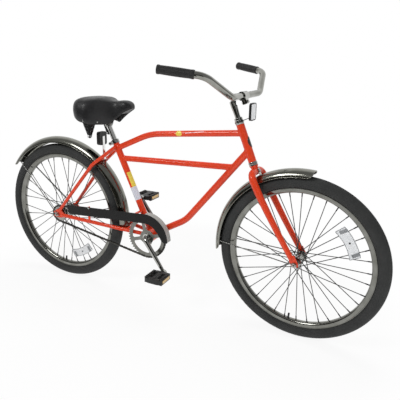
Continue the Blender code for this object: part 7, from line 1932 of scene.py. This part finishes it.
RAIL_RADIUS = 0.0035
RAIL_SPREAD = 0.022
RAIL_MIDDLE = seat(SEAT_TUBE_LENGTH + SEAT_POST_ABOVE + 0.0165)
CLAMP_HEAD_HALF = 0.0110
PIVOT_RADIUS = 0.0075
CHEEK_RADIUS = 0.0130
SADDLE_TOP = RAIL_MIDDLE.z + SADDLE_CROWN_ABOVE_RAILS
SADDLE_SKIRT = SADDLE_TOP - SADDLE_HEIGHT
SADDLE_REAR = RAIL_MIDDLE.x - SADDLE_REAR_SETBACK
SADDLE_NOSE_HALF = 0.034
CAVITY_TOP = SADDLE_TOP - 0.054
COVER_WALL = 0.0080
PAN_THICKNESS = 0.0030
PLATE_Z = SADDLE_SKIRT + 0.003
PLATE_THICKNESS = 0.0030
PLATE_LOW = PLATE_Z - PLATE_THICKNESS / 2.0
PLATE_HIGH = PLATE_Z + PLATE_THICKNESS / 2.0
SPRING_X = SADDLE_REAR + 0.073
SPRING_TIP_Z = PLATE_Z - 0.065
SPRING_STEPS = 36
DISC_RADIUS = 0.0300
SADDLE_STATIONS = 90
SECTION_STEPS = 6
SADDLE_SECTION = [(0.86, 0.0), (0.95, 0.10), (1.0, 0.30), (1.0, 0.55), (0.93, 0.76), (0.78, 0.90),
                  (0.50, 0.975), (0.18, 0.995)]


def smooth(t):
    """Smooth step from 0 to 1."""
    t = max(0.0, min(1.0, t))
    return t * t * (3.0 - 2.0 * t)


def rounding(t):
    """Quarter circle, from zero to one as t goes from zero to one."""
    return sqrt(max(0.0, 1.0 - (1.0 - min(1.0, t)) ** 2))


def saddle_shape(u):
    """Half width, top and skirt heights at a share u of the saddle's length."""
    rear = rounding(u / 0.22)
    front = rounding((1.0 - u) / 0.15)
    half = SADDLE_NOSE_HALF + (SADDLE_WIDTH / 2.0 - SADDLE_NOSE_HALF) * (1.0 - smooth((u - 0.30) / 0.46))
    half *= (0.50 + 0.50 * rear) * (0.26 + 0.74 * front)
    top = SADDLE_TOP - 0.013 * smooth((u - 0.42) / 0.26) + 0.003 * smooth((u - 0.70) / 0.12)
    top -= 0.024 * (1.0 - rear) + 0.026 * (1.0 - front)
    skirt = SADDLE_SKIRT + 0.058 * smooth((u - 0.53) / 0.52) + 0.034 * (1.0 - rear) + 0.004 * (1.0 - front)
    return half, top, skirt - 0.010 * smooth((u - 0.10) / 0.35) * smooth((0.90 - u) / 0.35)


def rail(side):
    """Bent rail from the spring plate through the clamp to the nose."""
    front_x = SADDLE_REAR + SADDLE_LENGTH * 0.72
    front_z = CAVITY_TOP - 2.0 * GAP - PAN_THICKNESS - RAIL_RADIUS
    x, _, z = RAIL_MIDDLE
    corners = ((SPRING_X - 0.004, RAIL_SPREAD + 0.004, PLATE_Z + 0.0034), (x - 0.022, RAIL_SPREAD, z),
               (x + 0.022, RAIL_SPREAD, z), (front_x - 0.020, 0.012, front_z), (front_x, 0.010, front_z))
    path = bent_path([mirrored(Vector(c), side) for c in corners], [0.03, 0.03, 0.02], 5.0)
    return tube("rail", path, RAIL_RADIUS, 18)


def spring_bolt(side):
    """Disc over a spring with the bolt through it and the washer and nut below."""
    washer = SPRING_TIP_Z - SPRING_WIRE_RADIUS * 2.0 - GAP
    tip = SPRING_TIP_RADIUS + 0.003
    profile = [(0.0, washer - 0.0060), (0.0050, washer - 0.0060), (0.0050, washer - 0.0018),
               (tip, washer - 0.0018), (tip, washer), (0.0028, washer), (0.0028, PLATE_LOW),
               (DISC_RADIUS, PLATE_LOW), (DISC_RADIUS, PLATE_HIGH), (0.0, PLATE_HIGH)]
    return turned("spring_bolt", profile, Vector((SPRING_X, side * SPRING_OFFSET, 0.0)), Z_AXIS, 32)


def build_saddle_frame():
    """Rails, clamp cheeks, rear plate and spring bolts in one welded piece."""
    body = prism("saddle_frame_fine", round_box(0.010, SPRING_OFFSET, 0.002, 4), PLATE_THICKNESS,
                 Vector((SPRING_X, 0.0, PLATE_Z)), Z_AXIS, Y_AXIS, FRAME_WIRE)
    near = CLAMP_HEAD_HALF + GAP
    half = [(0.0, 0.030), (CHEEK_RADIUS, 0.030), (CHEEK_RADIUS, near), (PIVOT_RADIUS, near)]
    pivot = turned("pivot", [(r, -y) for r, y in half] + half[::-1], RAIL_MIDDLE, Y_AXIS, 36)
    union(body, pivot, rail(-1.0), spring_bolt(-1.0), rail(1.0), spring_bolt(1.0))
    return body


def curve_through(points, steps):
    """Smooth curve through points, by Catmull and Rom's rule, with mirrored far end."""
    before = [(2.0 * points[0][0] - points[1][0], 2.0 * points[0][1] - points[1][1])]
    line = before + points + [(-points[-1][0], points[-1][1])]
    out = []
    for p0, p1, p2, p3 in zip(line, line[1:], line[2:], line[3:]):
        for k in range(steps):
            t = k / steps
            out.append([0.5 * (2.0 * b + (c - a) * t + (2.0 * a - 5.0 * b + 4.0 * c - d) * t * t
                               + (3.0 * b - a - 3.0 * c + d) * t ** 3) for a, b, c, d in zip(p0, p1, p2, p3)])
    return out + [points[-1]]


def cover_ring(section, u):
    """Cross section of the cover at a share u of its length, hollow underneath."""
    half, top, skirt = saddle_shape(u)
    side = [(half * y, skirt + (top - skirt) * h) for y, h in section]
    room = smooth((u - 0.045) / 0.06) * smooth((0.84 - u) / 0.08)
    ceiling = skirt + 0.002 + (CAVITY_TOP + 0.0005 - skirt - 0.002) * room
    inner = max(half * 0.10, half * 0.93 - COVER_WALL * 0.8)
    hollow = [(half * 0.855 - 0.0005, skirt - 0.0003), (half * 0.84 - 0.0015, skirt + 0.0004),
              (inner, skirt + (ceiling - skirt) * 0.35), (inner * 0.99, ceiling - (ceiling - skirt) * 0.10)]
    hollow += [(inner * share, ceiling) for share in (0.94, 0.50, 0.10)]
    line = side + [(-y, z) for y, z in side[::-1]] + [(-y, z) for y, z in hollow] + hollow[::-1]
    return [Vector((SADDLE_REAR + SADDLE_LENGTH * u, y, z)) for y, z in line]


def rivet(side, u):
    half, _, skirt = saddle_shape(u)
    spot = Vector((SADDLE_REAR + SADDLE_LENGTH * u, side * half * 0.955, skirt + 0.012))
    profile = [(0.0, -0.002), (0.0034, -0.002), (0.0034, 0.0006), (0.0024, 0.0014), (0.0, 0.0017)]
    return turned("rivet", profile, spot, Vector((0.0, side, -0.25)), 20, ZINC)


def build_cover():
    """Moulded cover: crowned top, rolled skirt edge, hollow underneath, riveted to its pan."""
    section = curve_through(SADDLE_SECTION, SECTION_STEPS)
    stations = [(1.0 - cos(pi * k / SADDLE_STATIONS)) / 2.0 for k in range(SADDLE_STATIONS + 1)]
    cover = new_object("saddle_cover_fine", loft([cover_ring(section, u) for u in stations]), VINYL, 70.0)
    return joined(cover.name, [cover] + [rivet(side, u) for side, _ in SIDES for u in (0.30, 0.50)])


def build_spring(side, label):
    """Tight conical coil of round wire, wide end up."""
    start_z = PLATE_LOW - GAP - 2.0 * SPRING_WIRE_RADIUS
    steps = SPRING_TURNS * SPRING_STEPS
    pts = []
    for k in range(steps + 1):
        t = k / steps
        r = SPRING_TOP_RADIUS + (SPRING_TIP_RADIUS - SPRING_TOP_RADIUS) * t
        a = TAU * k / SPRING_STEPS * side
        pts.append(Vector((SPRING_X + r * cos(a), side * SPRING_OFFSET + r * sin(a),
                           start_z + (SPRING_TIP_Z - start_z) * t)))
    node = "saddle_spring_" + label
    dress(tube(node + "_fine", pts, SPRING_WIRE_RADIUS * SPRING_DRAWN, 12, FRAME_WIRE, up=Z_AXIS), node)


cover = build_cover()
dress(cover, "saddle_cover")
dress(softened(build_saddle_frame(), 0.0004), "saddle_frame")
for side, label in SIDES:
    build_spring(side, label)


# Small parts that keep the solids' shape, rounded and refinished

for node in ("headset_lower_cup", "headset_upper_cup", "fork_crown_race", "headset_locknut",
             "seat_clamp_collar", "chain_guard_bolt"):
    rounded(node, CHROME)
rounded("seat_post", POST_CHROME_LIT)
for node in ("crank_bearing_cup_right", "crank_bearing_cup_left", "crank_locknut", "seat_clamp_bolt",
             "rear_axle", "front_axle", "coaster_brake_arm", "stem_bolt", "stem_clamp_bolt",
             "pedal_spindle_right", "pedal_spindle_left", "saddle_clamp"):
    rounded(node, ZINC)
rounded("saddle_pan", PLASTIC)
